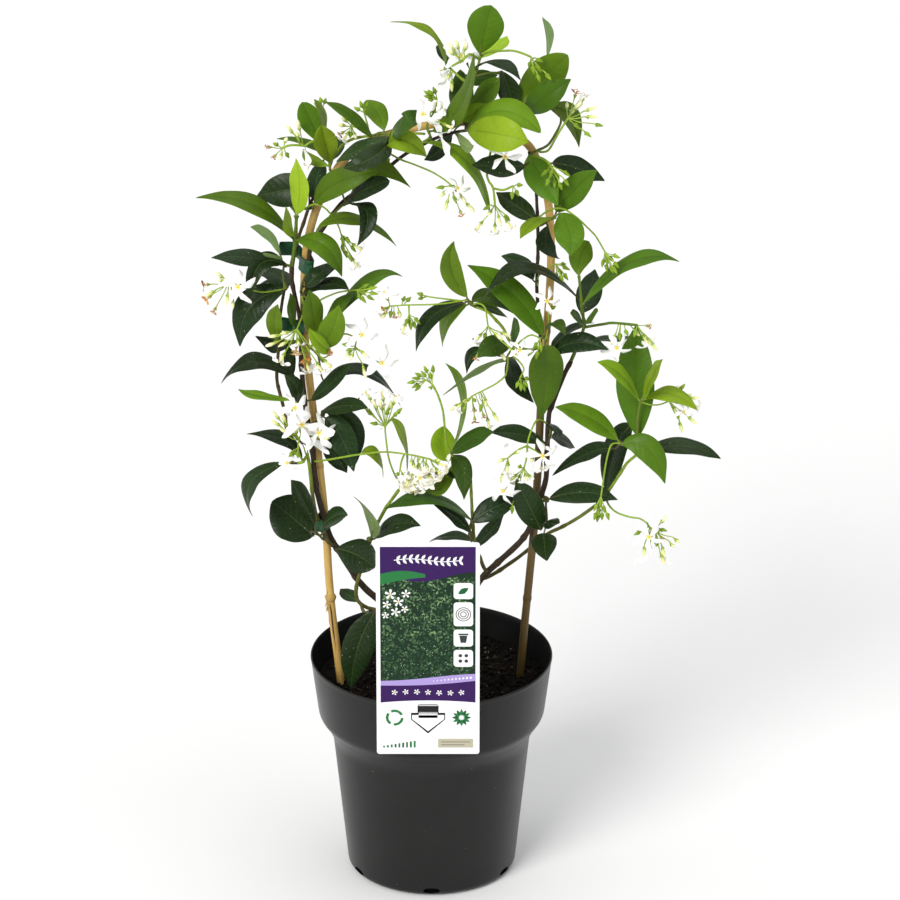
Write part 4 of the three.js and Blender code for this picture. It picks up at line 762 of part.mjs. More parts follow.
// ---------------------------------------------------------------- plant label
{
  const w = LABEL_WIDTH / 2, c = LABEL_CORNER
  const card = new THREE.Shape()
  card.moveTo(-w + c, LABEL_LOW)
  card.lineTo(w - c, LABEL_LOW)
  card.quadraticCurveTo(w, LABEL_LOW, w, LABEL_LOW + c)
  card.lineTo(w, LABEL_HIGH - c)
  card.quadraticCurveTo(w, LABEL_HIGH, w - c, LABEL_HIGH)
  card.lineTo(-w + c, LABEL_HIGH)
  card.quadraticCurveTo(-w, LABEL_HIGH, -w, LABEL_HIGH - c)
  card.lineTo(-w, LABEL_LOW + c)
  card.quadraticCurveTo(-w, LABEL_LOW, -w + c, LABEL_LOW)
  // the tongue's cut-out, a neck over an arrow head
  const n = TONGUE_NECK / 2 + TONGUE_GAP, h = TONGUE_HEAD / 2 + TONGUE_GAP
  const cut = new THREE.Path([
    new THREE.Vector2(-n, TONGUE_TOP), new THREE.Vector2(n, TONGUE_TOP), new THREE.Vector2(n, TONGUE_SHOULDER_Z + TONGUE_GAP),
    new THREE.Vector2(h, TONGUE_SHOULDER_Z + TONGUE_GAP), new THREE.Vector2(h, TONGUE_SHOULDER_Z - 5.4), new THREE.Vector2(0, TONGUE_TIP_Z - 2.2),
    new THREE.Vector2(-h, TONGUE_SHOULDER_Z - 5.4), new THREE.Vector2(-h, TONGUE_SHOULDER_Z + TONGUE_GAP), new THREE.Vector2(-n, TONGUE_SHOULDER_Z + TONGUE_GAP),
  ])
  card.holes.push(cut)
  const plate = new THREE.ExtrudeGeometry(card, { depth: LABEL_THICKNESS, bevelEnabled: false, curveSegments: 3 })
  plate.rotateX(Math.PI / 2)
  plate.translate(0, LABEL_BACK_Y, 0)
  let label = solid(plate)
  // the neck: over the rim, down inside the wall and out again through the slit
  const t = LABEL_THICKNESS
  const front = LABEL_BACK_Y - t
  const inside = -95.6
  const side = new THREE.Shape([
    [front, TONGUE_TOP + 1.2], [inside + t, TONGUE_TOP - 0.2], [inside + t, SLIT_LOW + 1.1], [front + t + 0.3, SLIT_LOW + 0.4], [front + t, SLIT_LOW - 1.4],
    [front, SLIT_LOW - 1.4], [front, SLIT_LOW + 1.5], [inside, SLIT_LOW + 2.1], [inside, TONGUE_TOP - 1.0], [front + t, TONGUE_TOP - 0.6], [front, TONGUE_TOP - 0.6],
  ].map((p) => new THREE.Vector2(p[0], p[1])))
  const neck = new THREE.ExtrudeGeometry(side, { depth: TONGUE_NECK, bevelEnabled: false })
  // shape x -> row y, shape y -> row z, depth -> row x
  neck.applyMatrix4(new THREE.Matrix4().makeBasis(new THREE.Vector3(0, 1, 0), new THREE.Vector3(0, 0, 1), new THREE.Vector3(1, 0, 0)))
  neck.translate(-TONGUE_NECK / 2, 0, 0)
  label = label.add(solid(neck))
  const a = TONGUE_HEAD / 2
  const head = new THREE.Shape([
    [-a, TONGUE_SHOULDER_Z - 1.2], [-a, TONGUE_SHOULDER_Z - 5], [0, TONGUE_TIP_Z], [a, TONGUE_SHOULDER_Z - 5], [a, TONGUE_SHOULDER_Z - 1.2],
  ].map((p) => new THREE.Vector2(p[0], p[1])))
  const arrow = new THREE.ExtrudeGeometry(head, { depth: t, bevelEnabled: false })
  arrow.rotateX(Math.PI / 2)
  arrow.translate(0, LABEL_BACK_Y, 0)
  label = label.add(solid(arrow))
  add('plant_label', geometryOf(label), 'label').position.x = LABEL_X
}

// ---------------------------------------------------------------- sprays of leaves and flowers
for (const spray of SPRAYS) {
  let body = null
  const join = (g) => { const s = solid(g); body = body ? body.add(s) : s }
  for (const [r0, r1, path] of spray.twigs) join(bar(path, taper(path, r0, r1), TWIG_SIDES))
  for (const [base, middle, tip, across, width, fold, kind, petiole] of spray.leaves) {
    join(leaf(base, middle, tip, across, width, fold, kind, petiole))
  }
  for (const p of spray.hubs ?? []) { const g = new THREE.OctahedronGeometry(HUB_RADIUS); g.translate(p[0], p[1], p[2]); join(g) }
  for (const [foot, tip, r] of spray.buds ?? []) join(bar([foot, lerp(foot, tip, 0.62), tip], [0, r, 0], 3, false, false))
  for (const [foot, throat, facing, r] of spray.flowers ?? []) {
    join(bar([foot, lerp(foot, throat, 0.6), throat], [0, 0.9, 0], 3, false, false))
    join(flowerDisc(throat, facing, r))
  }
  for (const [foot, centre, size] of spray.curls ?? []) {
    const far = V(centre).add(V(centre).sub(V(foot)).setLength(size * 0.7))
    join(bar([foot, lerp(foot, centre, 0.6), centre, far], [0, PEDICEL_RADIUS, size * 0.75, 0], 3, false, false))
  }
  for (const [foot, tip, width] of spray.petals ?? []) join(bar([foot, lerp(foot, tip, 0.6), tip], [0, Math.max(0.9, width * 0.22), 0], 3, false, false))
  add(spray.name, geometryOf(body), spray.name.startsWith('flowers') || spray.name.startsWith('buds') ? 'flower' : 'leaf')
}

export default plant
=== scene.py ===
"""Star jasmine trained on a bamboo hoop, in its nursery pot: the looks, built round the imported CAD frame.
Tables are in millimetres in the row frame; every mesh is written in metres."""
import bpy, bmesh, math, random
import numpy as np
from mathutils import Vector, Matrix


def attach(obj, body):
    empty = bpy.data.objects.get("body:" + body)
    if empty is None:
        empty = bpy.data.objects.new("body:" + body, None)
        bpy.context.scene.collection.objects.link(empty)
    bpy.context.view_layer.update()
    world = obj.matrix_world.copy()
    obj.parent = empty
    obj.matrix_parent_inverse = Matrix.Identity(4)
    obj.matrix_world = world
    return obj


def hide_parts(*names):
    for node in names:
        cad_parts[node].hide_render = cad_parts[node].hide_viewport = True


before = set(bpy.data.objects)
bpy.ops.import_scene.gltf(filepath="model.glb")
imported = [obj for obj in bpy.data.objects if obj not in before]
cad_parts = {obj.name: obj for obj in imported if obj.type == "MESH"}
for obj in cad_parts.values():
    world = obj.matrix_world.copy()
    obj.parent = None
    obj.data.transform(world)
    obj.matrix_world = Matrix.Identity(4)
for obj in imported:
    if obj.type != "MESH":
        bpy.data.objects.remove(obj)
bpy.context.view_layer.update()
scene = bpy.context.scene

# ------------------------------------------------------------------ camera
cam = bpy.data.objects.new("camera", bpy.data.cameras.new("camera"))
scene.collection.objects.link(cam)
cam.location = (0.0153, -3.613, 1.906)
cam.rotation_euler = (math.radians(90 - 23), 0, 0)
cam.data.sensor_fit = "HORIZONTAL"
cam.data.sensor_width = 36
cam.data.lens = 36 * 4836 / 900
cam.data.clip_start, cam.data.clip_end = 0.1, 60
scene.camera = cam

# ------------------------------------------------------------------ tables
HOOP = [(-73.4,-6.8,105),(-73.7,-6.8,147),(-74.4,-6.8,160.9),(-77.1,-7,188.8),(-81.5,-7.4,230.5),(-83.6,-7.6,258.4),(-84.4,-7.7,272.4),(-85.4,-7.8,300.3),(-86.4,-7.9,314.3),(-88.8,-8.1,342.2),(-93.9,-8.5,397.9),(-99.4,-9,453.6),(-100.6,-9.1,467.5),(-101.4,-9.2,481.5),(-101.5,-9.2,495.5),(-101.3,-9.2,509.4),(-100.9,-9.2,523.4),(-100.1,-9.1,537.4),(-98.7,-9,551.3),(-96,-8.8,565),(-92.3,-8.6,578.5),(-87.4,-8.2,591.6),(-81.2,-7.7,604.1),(-74.3,-7.1,616.3),(-65.4,-6.4,627),(-54.5,-5.5,635.7),(-41.9,-4.5,641.7),(-28.6,-3.4,645.8),(-15,-2.3,648.9),(-1.3,-1.2,651.3),(12.6,0,652.9),(26.5,1.1,653),(40.3,2.2,650.8),(53.7,3.3,647),(66.2,4.3,640.9),(77.2,5.2,632.5),(84.1,5.8,620.4),(88.7,6.2,607.2),(91.8,6.4,593.6),(94,6.6,579.8),(95.2,6.7,565.8),(95.8,6.7,551.8),(96.1,6.7,537.9),(95.9,6.7,523.9),(95.3,6.6,509.9),(94.5,6.5,495.9),(91.3,6.3,454.1),(89.6,6.1,426.2),(88.4,6,398.2),(87.1,5.9,356.3),(84.9,5.7,314.3),(83,5.5,286.4),(78.3,5.1,230.7),(77.1,5,216.7),(73,4.7,160.9),(72.5,4.7,147),(71.9,4.7,105)]
# vines: name, radii, colour kind, path
STEMS = [
    ('vine_left_main', 3.3, 1.6, 'dark', [(-2.9,4,130),(-4,4,141.1),(-5.5,4,152.1),(-7.8,4,162.9),(-13,4.1,184.5),(-16.1,4.1,195.2),(-20,3.8,205.6),(-25.1,3.1,215.4),(-31.2,2.2,224.7),(-38.2,1.3,233.2),(-46.2,0,240.9),(-53.5,-1.9,249),(-59.8,-4,257.9),(-65.1,-6,267.4),(-70.1,-8.6,277),(-79.7,-14,296.3),(-83.5,-15.6,306.6),(-86.3,-16,317.3),(-89.2,-16,328.1),(-91.7,-16,338.9),(-93.5,-16,349.9),(-96.3,-16.9,383.1),(-100.8,-17.5,416.1),(-101.9,-17.7,427.1),(-103.6,-18,449.3),(-104,-18.1,482.6),(-104.6,-18,493.7),(-106.5,-17.4,504.7),(-108.8,-16.2,515.4),(-110.7,-14.8,526.3),(-110.4,-14,537.4)]),
    ('vine_left_second', 1.7, 1.4, 'olive', [(-80,-14.1,296.9),(-80.9,-18.1,295.7),(-85.5,-23,303.6),(-89.3,-22.6,313.4),(-92.6,-22,323.4),(-95,-22,333.6),(-96.4,-21.8,344),(-97.1,-21.5,354.5),(-97.9,-21.7,365),(-99.3,-22.2,375.4),(-101.6,-23,385.6)]),
    ('vine_left_outer', 1.5, 1.2, 'brown', [(-101.6,-23,385.6),(-101.8,-23.1,386.4),(-108.3,-22,393),(-116,-19.6,399.8),(-117.2,-16.6,409.9),(-119.9,-14.2,420),(-122.4,-12.4,430.2),(-123.7,-11.2,440.7),(-123.4,-10.3,451.3),(-121.8,-9,472.5),(-120.1,-9,493.8),(-117.2,-9,515)]),
    ('vine_left_upper', 2, 1.1, 'dark', [(-105.2,-17.8,497.5),(-102.1,-19.5,498.1),(-100.5,-20.9,509.2),(-98.2,-20.3,520.1),(-97,-19.5,531.2),(-96.8,-18.7,542.4),(-95.3,-16.5,553.2),(-89.7,-12.9,562.1),(-83.5,-11.8,571.3),(-77.5,-12,580.8),(-70.6,-11.8,589.5),(-62.1,-10.9,596.8),(-44.2,-11,610.3),(-35.4,-11,617.3),(-27,-11,624.8),(-18.2,-11,631.7),(-8.5,-10.9,637.2),(1.3,-11.6,642.7),(11.5,-12.5,647.3),(22.4,-12.4,649.9),(33.5,-11.8,651.1),(44.6,-10.7,650.5),(55.5,-9.4,648.1),(65.7,-8,643.8)]),
    ('vine_left_back', 1.5, 1.1, 'brown', [(-110.5,-14.9,525.4),(-110.8,-11.5,525.5),(-111.4,-4.6,533.1),(-109.3,-0.6,542.8),(-106.2,2.2,552.5),(-96.2,2,582.9),(-91.5,1.9,592.4),(-85.2,2.1,601),(-78.7,2.9,609.4),(-69.7,4.3,614.9),(-60,5.4,619.1),(-40.2,7,626.8)]),
    ('vine_top_green', 1.2, 1, 'green', [(-78.2,3,609.7),(-78.9,0.9,611.2),(-79.6,-7.1,619.2),(-77,-12.7,628.8),(-70.6,-14.6,638.1),(-61.3,-15.1,644.4),(-50.1,-15,646.9),(-38.7,-14.9,648.5),(-27.2,-14.9,649.5),(-15.8,-15.8,649.7),(-4.4,-17,649.4)]),
    ('vine_inner_olive', 1.6, 1.4, 'olive', [(-27.5,2.7,219.1),(-29.2,-1.2,217.9),(-35.8,-5.3,225.2),(-43.6,-7.5,232.1),(-53.2,-9.4,236),(-60.3,-11,243.5),(-61.6,-12,253.8),(-59.5,-12.6,264.3),(-56.6,-12.9,274.6),(-46.9,-13.1,305.1),(-42.9,-12.9,315),(-37.8,-12.2,324.4),(-32.2,-11.9,333.4),(-26.1,-12,342.2)]),
    ('vine_right_main', 3.2, 1.8, 'dark', [(1.4,14.5,130),(2.5,14.3,140.8),(4.5,14,151.4),(7.3,13.6,161.9),(13.3,12.7,182.8),(19.9,11.4,203.4),(23.5,10.5,213.6),(35.3,7.4,243.8),(40.1,6.2,253.4),(46.5,5,262),(61.3,2.3,277.7),(68.4,0.5,285.7),(74.7,-1.4,294.3),(79.9,-3,303.7),(83.2,-3.2,314),(86.1,-3,324.5),(89.9,-3.1,334.6),(92.5,-2.6,345.2),(93.7,-2,355.9),(94.9,-0.2,399.3),(97.1,0.5,409.8),(100.9,1,420),(108.2,-0.1,440.4),(112.7,0,450.2)]),
    ('vine_right_branch', 1.65, 1.22, 'olive', [(42.2,5.8,256.2),(44.6,9.2,254.1),(53.9,14.3,257.2),(63.1,15.8,263.2),(72,16.1,269.9),(80.5,15.9,277),(88,15.1,285.1),(95.9,13.2,292.7),(104.6,9.4,298.5),(112.9,5.9,304.9),(121,2.5,311.8),(128.7,-0.5,319.2),(136.1,-3.4,327),(142.5,-6.1,335.6),(147.7,-8.3,345.2),(152.8,-9.5,354.9),(158.3,-10,364.6),(165.9,-11,372.6)]),
    ('vine_right_upper', 1.6, 1.2, 'dark', [(97.1,0.5,409.7),(94.6,-2.3,409.9),(92.3,-7,419.8),(90.6,-9.3,430.5),(89.4,-8.9,441.6),(88.5,-8.1,452.7),(87.7,-6.4,475),(85.9,-4.5,497.2),(85.1,-3.8,508.3),(84.8,-3,530.6),(85.4,-3,552.9),(84.9,-3,575.3),(84.2,-3.4,586.4),(83.1,-4,597.5),(81.5,-4.5,608.6),(77.7,-6,630.5)]),
    ('vine_centre_shoot', 1.3, 1.1, 'green', [(88,-7.2,465.4),(79.8,-17.6,466.8),(70.6,-20.1,469.8),(62.7,-20.1,475.9),(58.5,-20,485.2),(52.2,-20,493.3),(45.2,-20,500.7),(36,-20,504.7)]),
    ('vine_low_shoot', 1.6, 1.2, 'olive', [(46.7,4.9,262.2),(44,2.5,264.9),(41.2,-3.6,274),(38.5,-8.8,283.6),(36.1,-11.6,294.3),(34.6,-13.1,305.4),(33.6,-14,316.7),(33,-14.7,327.9),(32.6,-15.1,339.2),(32.3,-15,350.6)]),
]
# ties: name, origin, axis, across, height, inner outline
TIES = [
    ('tie_upper', (-99.98,-9.14,538.8), (0.0869,0.0061,0.9962), (0.9962,0,-0.0869), 12, [(-4.16,0),(-3.85,-1.58),(0.58,-10.63),(1.12,-11.44),(2.54,-12.6),(3.54,-12.8),(4.53,-12.6),(5.37,-12.04),(5.93,-11.2),(6.12,-10.21),(4.25,0.03),(3.94,1.59),(3.04,2.94),(1.7,3.83),(0.11,4.15),(-1.61,3.82),(-2.95,2.92),(-3.85,1.58)]),
    ('tie_middle', (-104.25,-18.03,487), (-0.042,0.0062,0.9991), (0.9991,0,0.042), 9, [(-19.02,9.18),(-18.44,7.79),(-0.94,-2.34),(0.02,-2.53),(0.98,-2.34),(1.8,-1.79),(2.35,-0.97),(2.54,-0.01),(2.35,0.96),(1.8,1.78),(1,2.32),(-15.18,10.84),(-16.87,11.15),(-18.44,10.58)]),
    ('tie_lower', (-86.54,-7.87,315.99), (-0.0785,-0.007,0.9969), (0.9969,0,0.0785), 9, [(-6.82,-14.33),(-6.15,-15.95),(-4.69,-16.68),(-3.56,-16.99),(-2.23,-17.24),(-0.59,-16.56),(3.76,-10.2),(4.45,-9.17),(4.69,-7.95),(4.14,0.02),(3.83,1.58),(2.93,2.93),(1.59,3.82),(0.01,4.14),(-1.61,3.82),(-2.95,2.92),(-3.85,1.58),(-4.16,0.02)]),
]
# growths: name -> twigs (r0, r1, kind, path), leaves (base, middle, tip, width direction, width, fold, outline, shade, petiole path),
# flower parts: o/s open (foot, calyx, throat, facing, radius), t/b bud (foot, calyx, tip), w withered (foot, calyx, centre, size), p loose petal (foot, base, tip, width)
SPRAYS = {
    'shoot_top': dict(
        twigs=[(1.25,0.85,'t',[(28,-12.1,650.5),(27.9,-11.8,653.4),(29.5,-10,667.1),(30.6,-8.1,673.7),(33.4,-4,686.6),(38.9,2,705.8)]),
            (0.95,0.95,'t',[(35,-2.4,692),(41.3,-3.4,694.4),(47.8,-4.5,695.9),(54.5,-6,696.1)]),
            (0.95,0.95,'t',[(33,-4.5,685.1),(27.8,-4.9,688.5),(22.8,-4.9,692.5),(13.7,-4,701.2)]),
            (0.95,0.95,'t',[(38.5,1.5,704.5),(34.8,-2.4,708.7),(30.4,-6.4,711.8),(25.5,-8,707.5)]),
            (0.95,0.85,'t',[(37.6,0.6,705.4),(42.5,-1.7,710.7),(49.6,-2.7,712.8),(57.1,-3.2,713.5),(64.6,-3.9,713.8),(71.8,-4.4,711.9),(78.8,-5,709)]),
            (0.95,0.95,'t',[(25.5,-8,707.5),(16.9,-9,702.9)])],
        leaves=[((38.8,-3.6,711),(41.8,-9.4,731.8),(47.2,-15.1,754.8),(-0.976,0.074,0.206),29.4,5,'o','m',[(40.5,-0.8,708.6),(38.8,-3.6,711),(39.2,-4.8,715)]),
            ((38.9,9,703.5),(50.9,31.9,705),(60.6,54.9,706.7),(-0.895,0.431,-0.111),19.4,5,'e','y',[(38.9,2,705.8),(38.5,4.9,704.2),(38.9,9,703.5),(41.5,13.6,703.8)]),
            ((34.1,-5.3,700),(52.8,-20.5,709.2),(70.6,-36.1,699.7),(0.644,0.764,-0.024),19.4,5,'e','d',[(36.6,-0.7,697.6),(35,-2.8,698.1),(34.1,-5.3,700),(37.9,-8.3,703.4)]),
            ((56,-11.5,699.6),(61.6,-7.7,681),(64.8,-15.4,665.5),(0.968,0.069,0.24),22,30,'e','d',[(54.5,-6,696.1),(55.1,-9,698),(56,-11.5,699.6),(57.3,-9.8,695.7)]),
            ((53.7,-12.5,694.2),(43.5,-12.4,681.8),(31,-14,669.9),(0.531,-0.716,-0.453),19.4,5,'e','m',[(54.5,-6,696.1),(54.5,-9.3,695.3),(53.7,-12.5,694.2),(51.8,-12.3,691.7)]),
            ((25.5,-1.3,688.8),(38.9,7.7,687.4),(53.2,16.7,686.9),(-0.141,0.317,0.938),13.1,5,'e','k',[(25.3,-4.9,690.5),(25.5,-1.3,688.8),(28.1,0.5,688.4)]),
            ((12.2,-0.9,701),(-2,5.6,726.1),(-32.6,12.2,732.1),(-0.164,-0.971,0.173),25.7,5,'e','l',[(13.7,-4,701.2),(12.2,-0.9,701),(10.7,0.4,707.6)]),
            ((14.5,0.2,699.8),(9.8,12.3,704.9),(5,23.2,709.6),(-0.739,-0.496,0.456),13,5,'e','d',[(13.7,-4,701.2),(14.5,0.2,699.8),(13.6,2.7,700.9)]),
            ((26.3,-6.2,658.9),(24,7.5,675.8),(29.5,21.3,696.1),(-0.997,0.025,0.067),19.6,5,'e','k',[(28.7,-11,660.8),(27.6,-8.9,659.2),(26.3,-6.2,658.9),(25.2,-3.4,662.1)]),
            ((23.9,-14,659.2),(34.1,-18.2,667.2),(45.8,-20.2,675.4),(-0.518,0.281,0.808),15.5,5,'e','l',[(28.4,-11.3,657.8),(25.8,-12.5,657.9),(23.9,-14,659.2),(25.9,-15,660.8)])],
        items=[('o',(25.5,-8,707.5),(22.8,4.1,703.9),(23.9,-2.6,709),(0.128,-0.784,0.607),14.7),
            ('t',(24,-8.2,706.8),(18.9,-7.4,714.5),(14.5,-8.6,722.5)),
            ('t',(25.5,-8,707.5),(22.1,-7.9,716.2),(19.2,-9.1,725.1)),
            ('t',(26.6,-7.6,708.5),(26.7,-8.9,715.5),(28.6,-10.2,723)),
            ('t',(24,-8.2,706.8),(19.3,-9.3,712.1),(13,-10.5,716.6)),
            ('s',(14.9,-4.1,700.2),(12.9,-5.5,700.2),(7.5,-7.6,699.2),(-0.92,-0.352,-0.172),6.5),
            ('p',(16,-4.2,699.1),(14.5,-2.6,697.5),(6.7,-4.6,685.8),4.9),
            ('t',(16,-4.2,699.1),(15.4,-4.7,695.5),(12.9,-5.9,690.3)),
            ('t',(17.1,-4.4,698),(16.9,-3.5,689.4),(16.9,-4.6,680)),
            ('p',(17.1,-4.4,698),(16.1,-3.1,696),(9.8,-5.1,680.1),4.1),
            ('b',(78.8,-5,709),(80.1,-23.6,707.4),(80.9,-24.3,701.4)),
            ('b',(78.8,-5,709),(83.2,-29.7,710.3),(86.2,-30.4,705.1)),
            ('b',(78.8,-5,709),(87.3,4.7,695.1),(90.8,4.2,690.3)),
            ('b',(78.8,-5,709),(90.2,-35.6,705.2),(93.9,-36,700.5)),
            ('b',(78.8,-5,709),(83.4,-35.5,704.5),(85.4,-36,698.8)),
            ('b',(78.8,-5,709),(78.2,-1.5,703.7),(77.3,-2.4,699.1)),
            ('b',(78.8,-5,709),(83.2,-17.4,711.5),(87.9,-18.3,709.3))]),
    'shoot_top_right': dict(
        twigs=[(1.25,0.85,'t',[(60.2,-8.8,646.1),(61.2,-9.5,648.6),(62.9,-11.8,655.2),(65.5,-13,661.7),(69.8,-12.3,667.5),(74,-10.7,673.1),(81,-6.1,684.9),(90.6,-2,703.9)])],
        leaves=[((71.1,-9.5,671.7),(89,-10,694.2),(107.4,-17.4,714.8),(-0.721,0.234,0.652),29.4,5,'r','m',[(72.2,-11.4,670.7),(71.1,-9.5,671.7),(74.6,-9.1,676.4)]),
            ((75.1,-3.8,663.1),(90.3,-29.3,684.3),(109.7,-27,698.3),(-0.591,0.271,0.76),22,5,'e','n',[(71.3,-11.7,669.5),(73,-6.9,665.1),(75.1,-3.8,663.1),(77.8,-11.1,667.9)]),
            ((90.7,4.4,703.4),(93.4,24.6,713.3),(88.1,44.8,725.7),(0.261,-0.454,0.852),19.4,5,'e','u',[(90.6,-2,703.9),(90.5,0.7,703.1),(90.7,4.4,703.4),(91.9,8.4,705.2)])],
        items=[]),
    'leaves_crown': dict(
        twigs=[(1.25,0.95,'t',[(29.5,-12,650.7),(30.2,-20,657.1)]),
            (0.95,0.95,'t',[(30.2,-20,657.1),(34.5,-18,652.3),(38.9,-16.5,647.5),(43.9,-16.4,643),(49.1,-17.2,638.9),(54.6,-20,636.3)]),
            (0.95,0.85,'t',[(48.4,-17.1,639.5),(46.8,-19.5,633.1),(44.4,-24.7,620.4),(45.6,-26.6,613.9),(49.2,-27,607.9),(50.8,-28,594.1)]),
            (0.95,0.95,'t',[(49.2,-27,607.7),(57.3,-28,606.7),(64.9,-28,610)])],
        leaves=[((28.6,-26,655.9),(54.2,-56.6,663.3),(76.6,-62.9,658.9),(0.189,0.322,0.928),28.6,5,'e','l',[(29.9,-17.1,654.8),(28.8,-20.9,654.6),(28.6,-26,655.9),(34,-34.1,658.3)]),
            ((32.5,-24.9,662.1),(59.8,-36.8,674.5),(86.3,-41.9,659),(0.262,0.705,0.659),24.2,5,'r','l',[(30.2,-20,657.1),(30.9,-22.2,658.7),(32.5,-24.9,662.1),(38,-27.8,666.8)]),
            ((16.9,-5,644.4),(7.4,-5,631.9),(-5.3,-4,623.1),(0.305,-0.882,-0.36),19.4,5,'e','d',[(30,-18.6,655.9),(26.3,-17,657.7),(22.4,-9,653.3),(19.2,-5,648.6),(16.9,-5,644.4),(15.2,-5.1,641.6)]),
            ((20,-22,651.2),(27,-51.7,652.5),(34,-56.7,653.4),(0.066,-0.038,-0.997),13,5,'e','u',[(29.9,-17.1,654.8),(24.8,-18.6,652.2),(20,-22,651.2),(21.4,-29.9,651.5)])],
        items=[('o',(54.6,-20,636.3),(58.9,-24,632),(58.4,-31.8,635.5),(-0.051,-0.911,0.41),13.1),
            ('b',(54.6,-20,636.3),(52.6,-3.2,627.6),(49.3,-4.1,624.9)),
            ('b',(54.6,-20,636.3),(59,-22.5,638.5),(64,-23.4,641.7)),
            ('s',(50.8,-28,594.1),(41,-33.9,582.4),(35.8,-35,575.7),(-0.609,-0.129,-0.783),7.3),
            ('s',(50.8,-28,594.1),(50.8,-30.5,579.5),(50.8,-31.7,571.1),(0.002,-0.143,-0.99),7.3),
            ('s',(50.8,-28,594.1),(59.1,-31.9,583.3),(64.2,-33.1,576.7),(0.602,-0.143,-0.786),7.3),
            ('t',(50.8,-28,594.1),(48.2,-30.5,591),(45.3,-31.8,586.3)),
            ('t',(50.8,-28,594.1),(53.3,-31.4,587.3),(55.5,-32.5,578.1)),
            ('b',(50.8,-28,594.1),(58.9,-27.5,585.3),(62.7,-28.1,580.7)),
            ('b',(50.8,-28,594.1),(46,-36,595.9),(41.3,-36.9,593.2)),
            ('b',(64.9,-28,610),(67.3,-28.4,606.3),(69.6,-29.3,602.1)),
            ('b',(64.9,-28,610),(64.5,-32.3,606.2),(64.1,-33.2,601)),
            ('b',(64.9,-28,610),(68.4,-32.3,612.4),(72.7,-33.2,612.7))]),
    'leaves_crown_left': dict(
        twigs=[(1.25,0.95,'t',[(0.8,-11.6,642.4),(0.1,-13.9,644.2),(-0.4,-20,649.6)]),
            (0.95,0.95,'t',[(-0.4,-20,649.6),(-2.7,-21,656.7),(-0.4,-20,663.7)]),
            (0.85,0.7,'p',[(-0.4,-20,663.7),(3.9,-18.2,670.4),(5.1,-16,678.1)])],
        leaves=[((1.2,-22,653.6),(24.7,-30.7,679.8),(33.9,-37.9,724),(-0.261,0.909,0.327),27,5,'e','m',[(-1.4,-20.4,652.8),(1.2,-22,653.6),(7,-23.8,657.4)]),
            ((-5.9,-22,644.5),(27.1,-25.5,630.8),(46.9,-23.2,586.5),(0.138,0.985,0.105),29.7,5,'o','l',[(-0.1,-16.3,646.4),(-3.8,-19.1,644.9),(-5.9,-22,644.5),(1.7,-23.2,644.2)])],
        items=[('o',(-0.4,-20,663.7),(-4.8,-20.1,666.3),(-5.8,-27.8,669.7),(-0.119,-0.907,0.403),13.1),
            ('s',(0.5,-19.7,665.1),(2.6,-21.9,669),(9,-24,674.2),(0.754,-0.24,0.612),7.3),
            ('s',(-0.4,-20,663.7),(9.3,-38.9,666),(16.9,-40.3,662.5),(0.895,-0.172,-0.413),5.7),
            ('p',(-0.9,-20.2,662.2),(0.4,-27.8,664.8),(12.2,-29.8,654.7),3.3),
            ('b',(-0.4,-20,663.7),(0.4,-22.6,669.6),(2.8,-23.5,674.9)),
            ('p',(-0.1,-16.3,646.4),(8.3,-32,651.3),(16.9,-34,640.4),3.3),
            ('b',(5.1,-16,678.1),(0.6,-17.5,680.1),(-5.1,-18.4,681.4)),
            ('b',(5.1,-16,678.1),(1.8,-19.4,682.7),(-1.9,-20.3,687)),
            ('b',(5.1,-16,678.1),(3.9,-15.9,683),(2,-16.8,688.2)),
            ('b',(5.1,-16,678.1),(1.8,-16.8,678),(-1.9,-17.7,677.8)),
            ('b',(5.1,-16,678.1),(-0.1,-17.4,682.1),(-5.1,-18.2,685.4))]),
    'leaves_top_b': dict(
        twigs=[(1.25,0.95,'t',[(-43.5,-14.9,647.8),(-42.9,-17.3,649),(-38.1,-22,652),(-31.8,-25,649.7)])],
        leaves=[((-36.5,-18.1,652.3),(-42.1,-6.8,662.5),(-50.9,4.6,670.2),(-0.874,-0.477,-0.098),19.4,5,'o','m',[(-37.4,-22.3,651.7),(-36.5,-18.1,652.3),(-37.4,-15.8,654.5)]),
            ((-30.9,-29.3,654.6),(-20.3,-65.1,674.4),(-10.3,-50.1,680.7),(0.043,0.799,0.6),19.4,5,'e','k',[(-31.8,-25,649.7),(-31.4,-26.6,651.5),(-30.9,-29.3,654.6),(-28.8,-40.6,659.6)]),
            ((-45.1,-27.7,649.8),(-61.3,-33.1,669.1),(-82.1,-37.1,682.8),(-0.029,-0.952,-0.304),19.4,5,'e','m',[(-40.7,-19.4,650.3),(-42.5,-23.3,648.8),(-45.1,-27.7,649.8),(-47.9,-28.9,654.1)]),
            ((-32.5,-30,651.5),(-52.7,-42.3,646.7),(-73.7,-51.3,638.3),(0.507,-0.824,-0.253),19.4,5,'e','d',[(-31.8,-25,649.7),(-31.7,-27.2,650.3),(-32.5,-30,651.5),(-36.5,-32.7,650.8)]),
            ((-31.7,-28.7,646.9),(-46.1,-63.4,645.9),(-68,-62.9,637.5),(0.68,-0.607,-0.412),19.4,5,'e','d',[(-31.8,-25,649.7),(-31.7,-28.7,646.9),(-34,-38.4,647.3)]),
            ((-33.3,-31,646),(-20.5,-51.5,655.7),(-2.7,-41.4,638.9),(0.315,0.317,0.894),20.4,20,'e','l',[(-31.8,-25,649.7),(-32.7,-27.5,647.1),(-33.3,-31,646),(-31.1,-37.5,650.1)])],
        items=[]),
    'leaves_upper_right_a': dict(
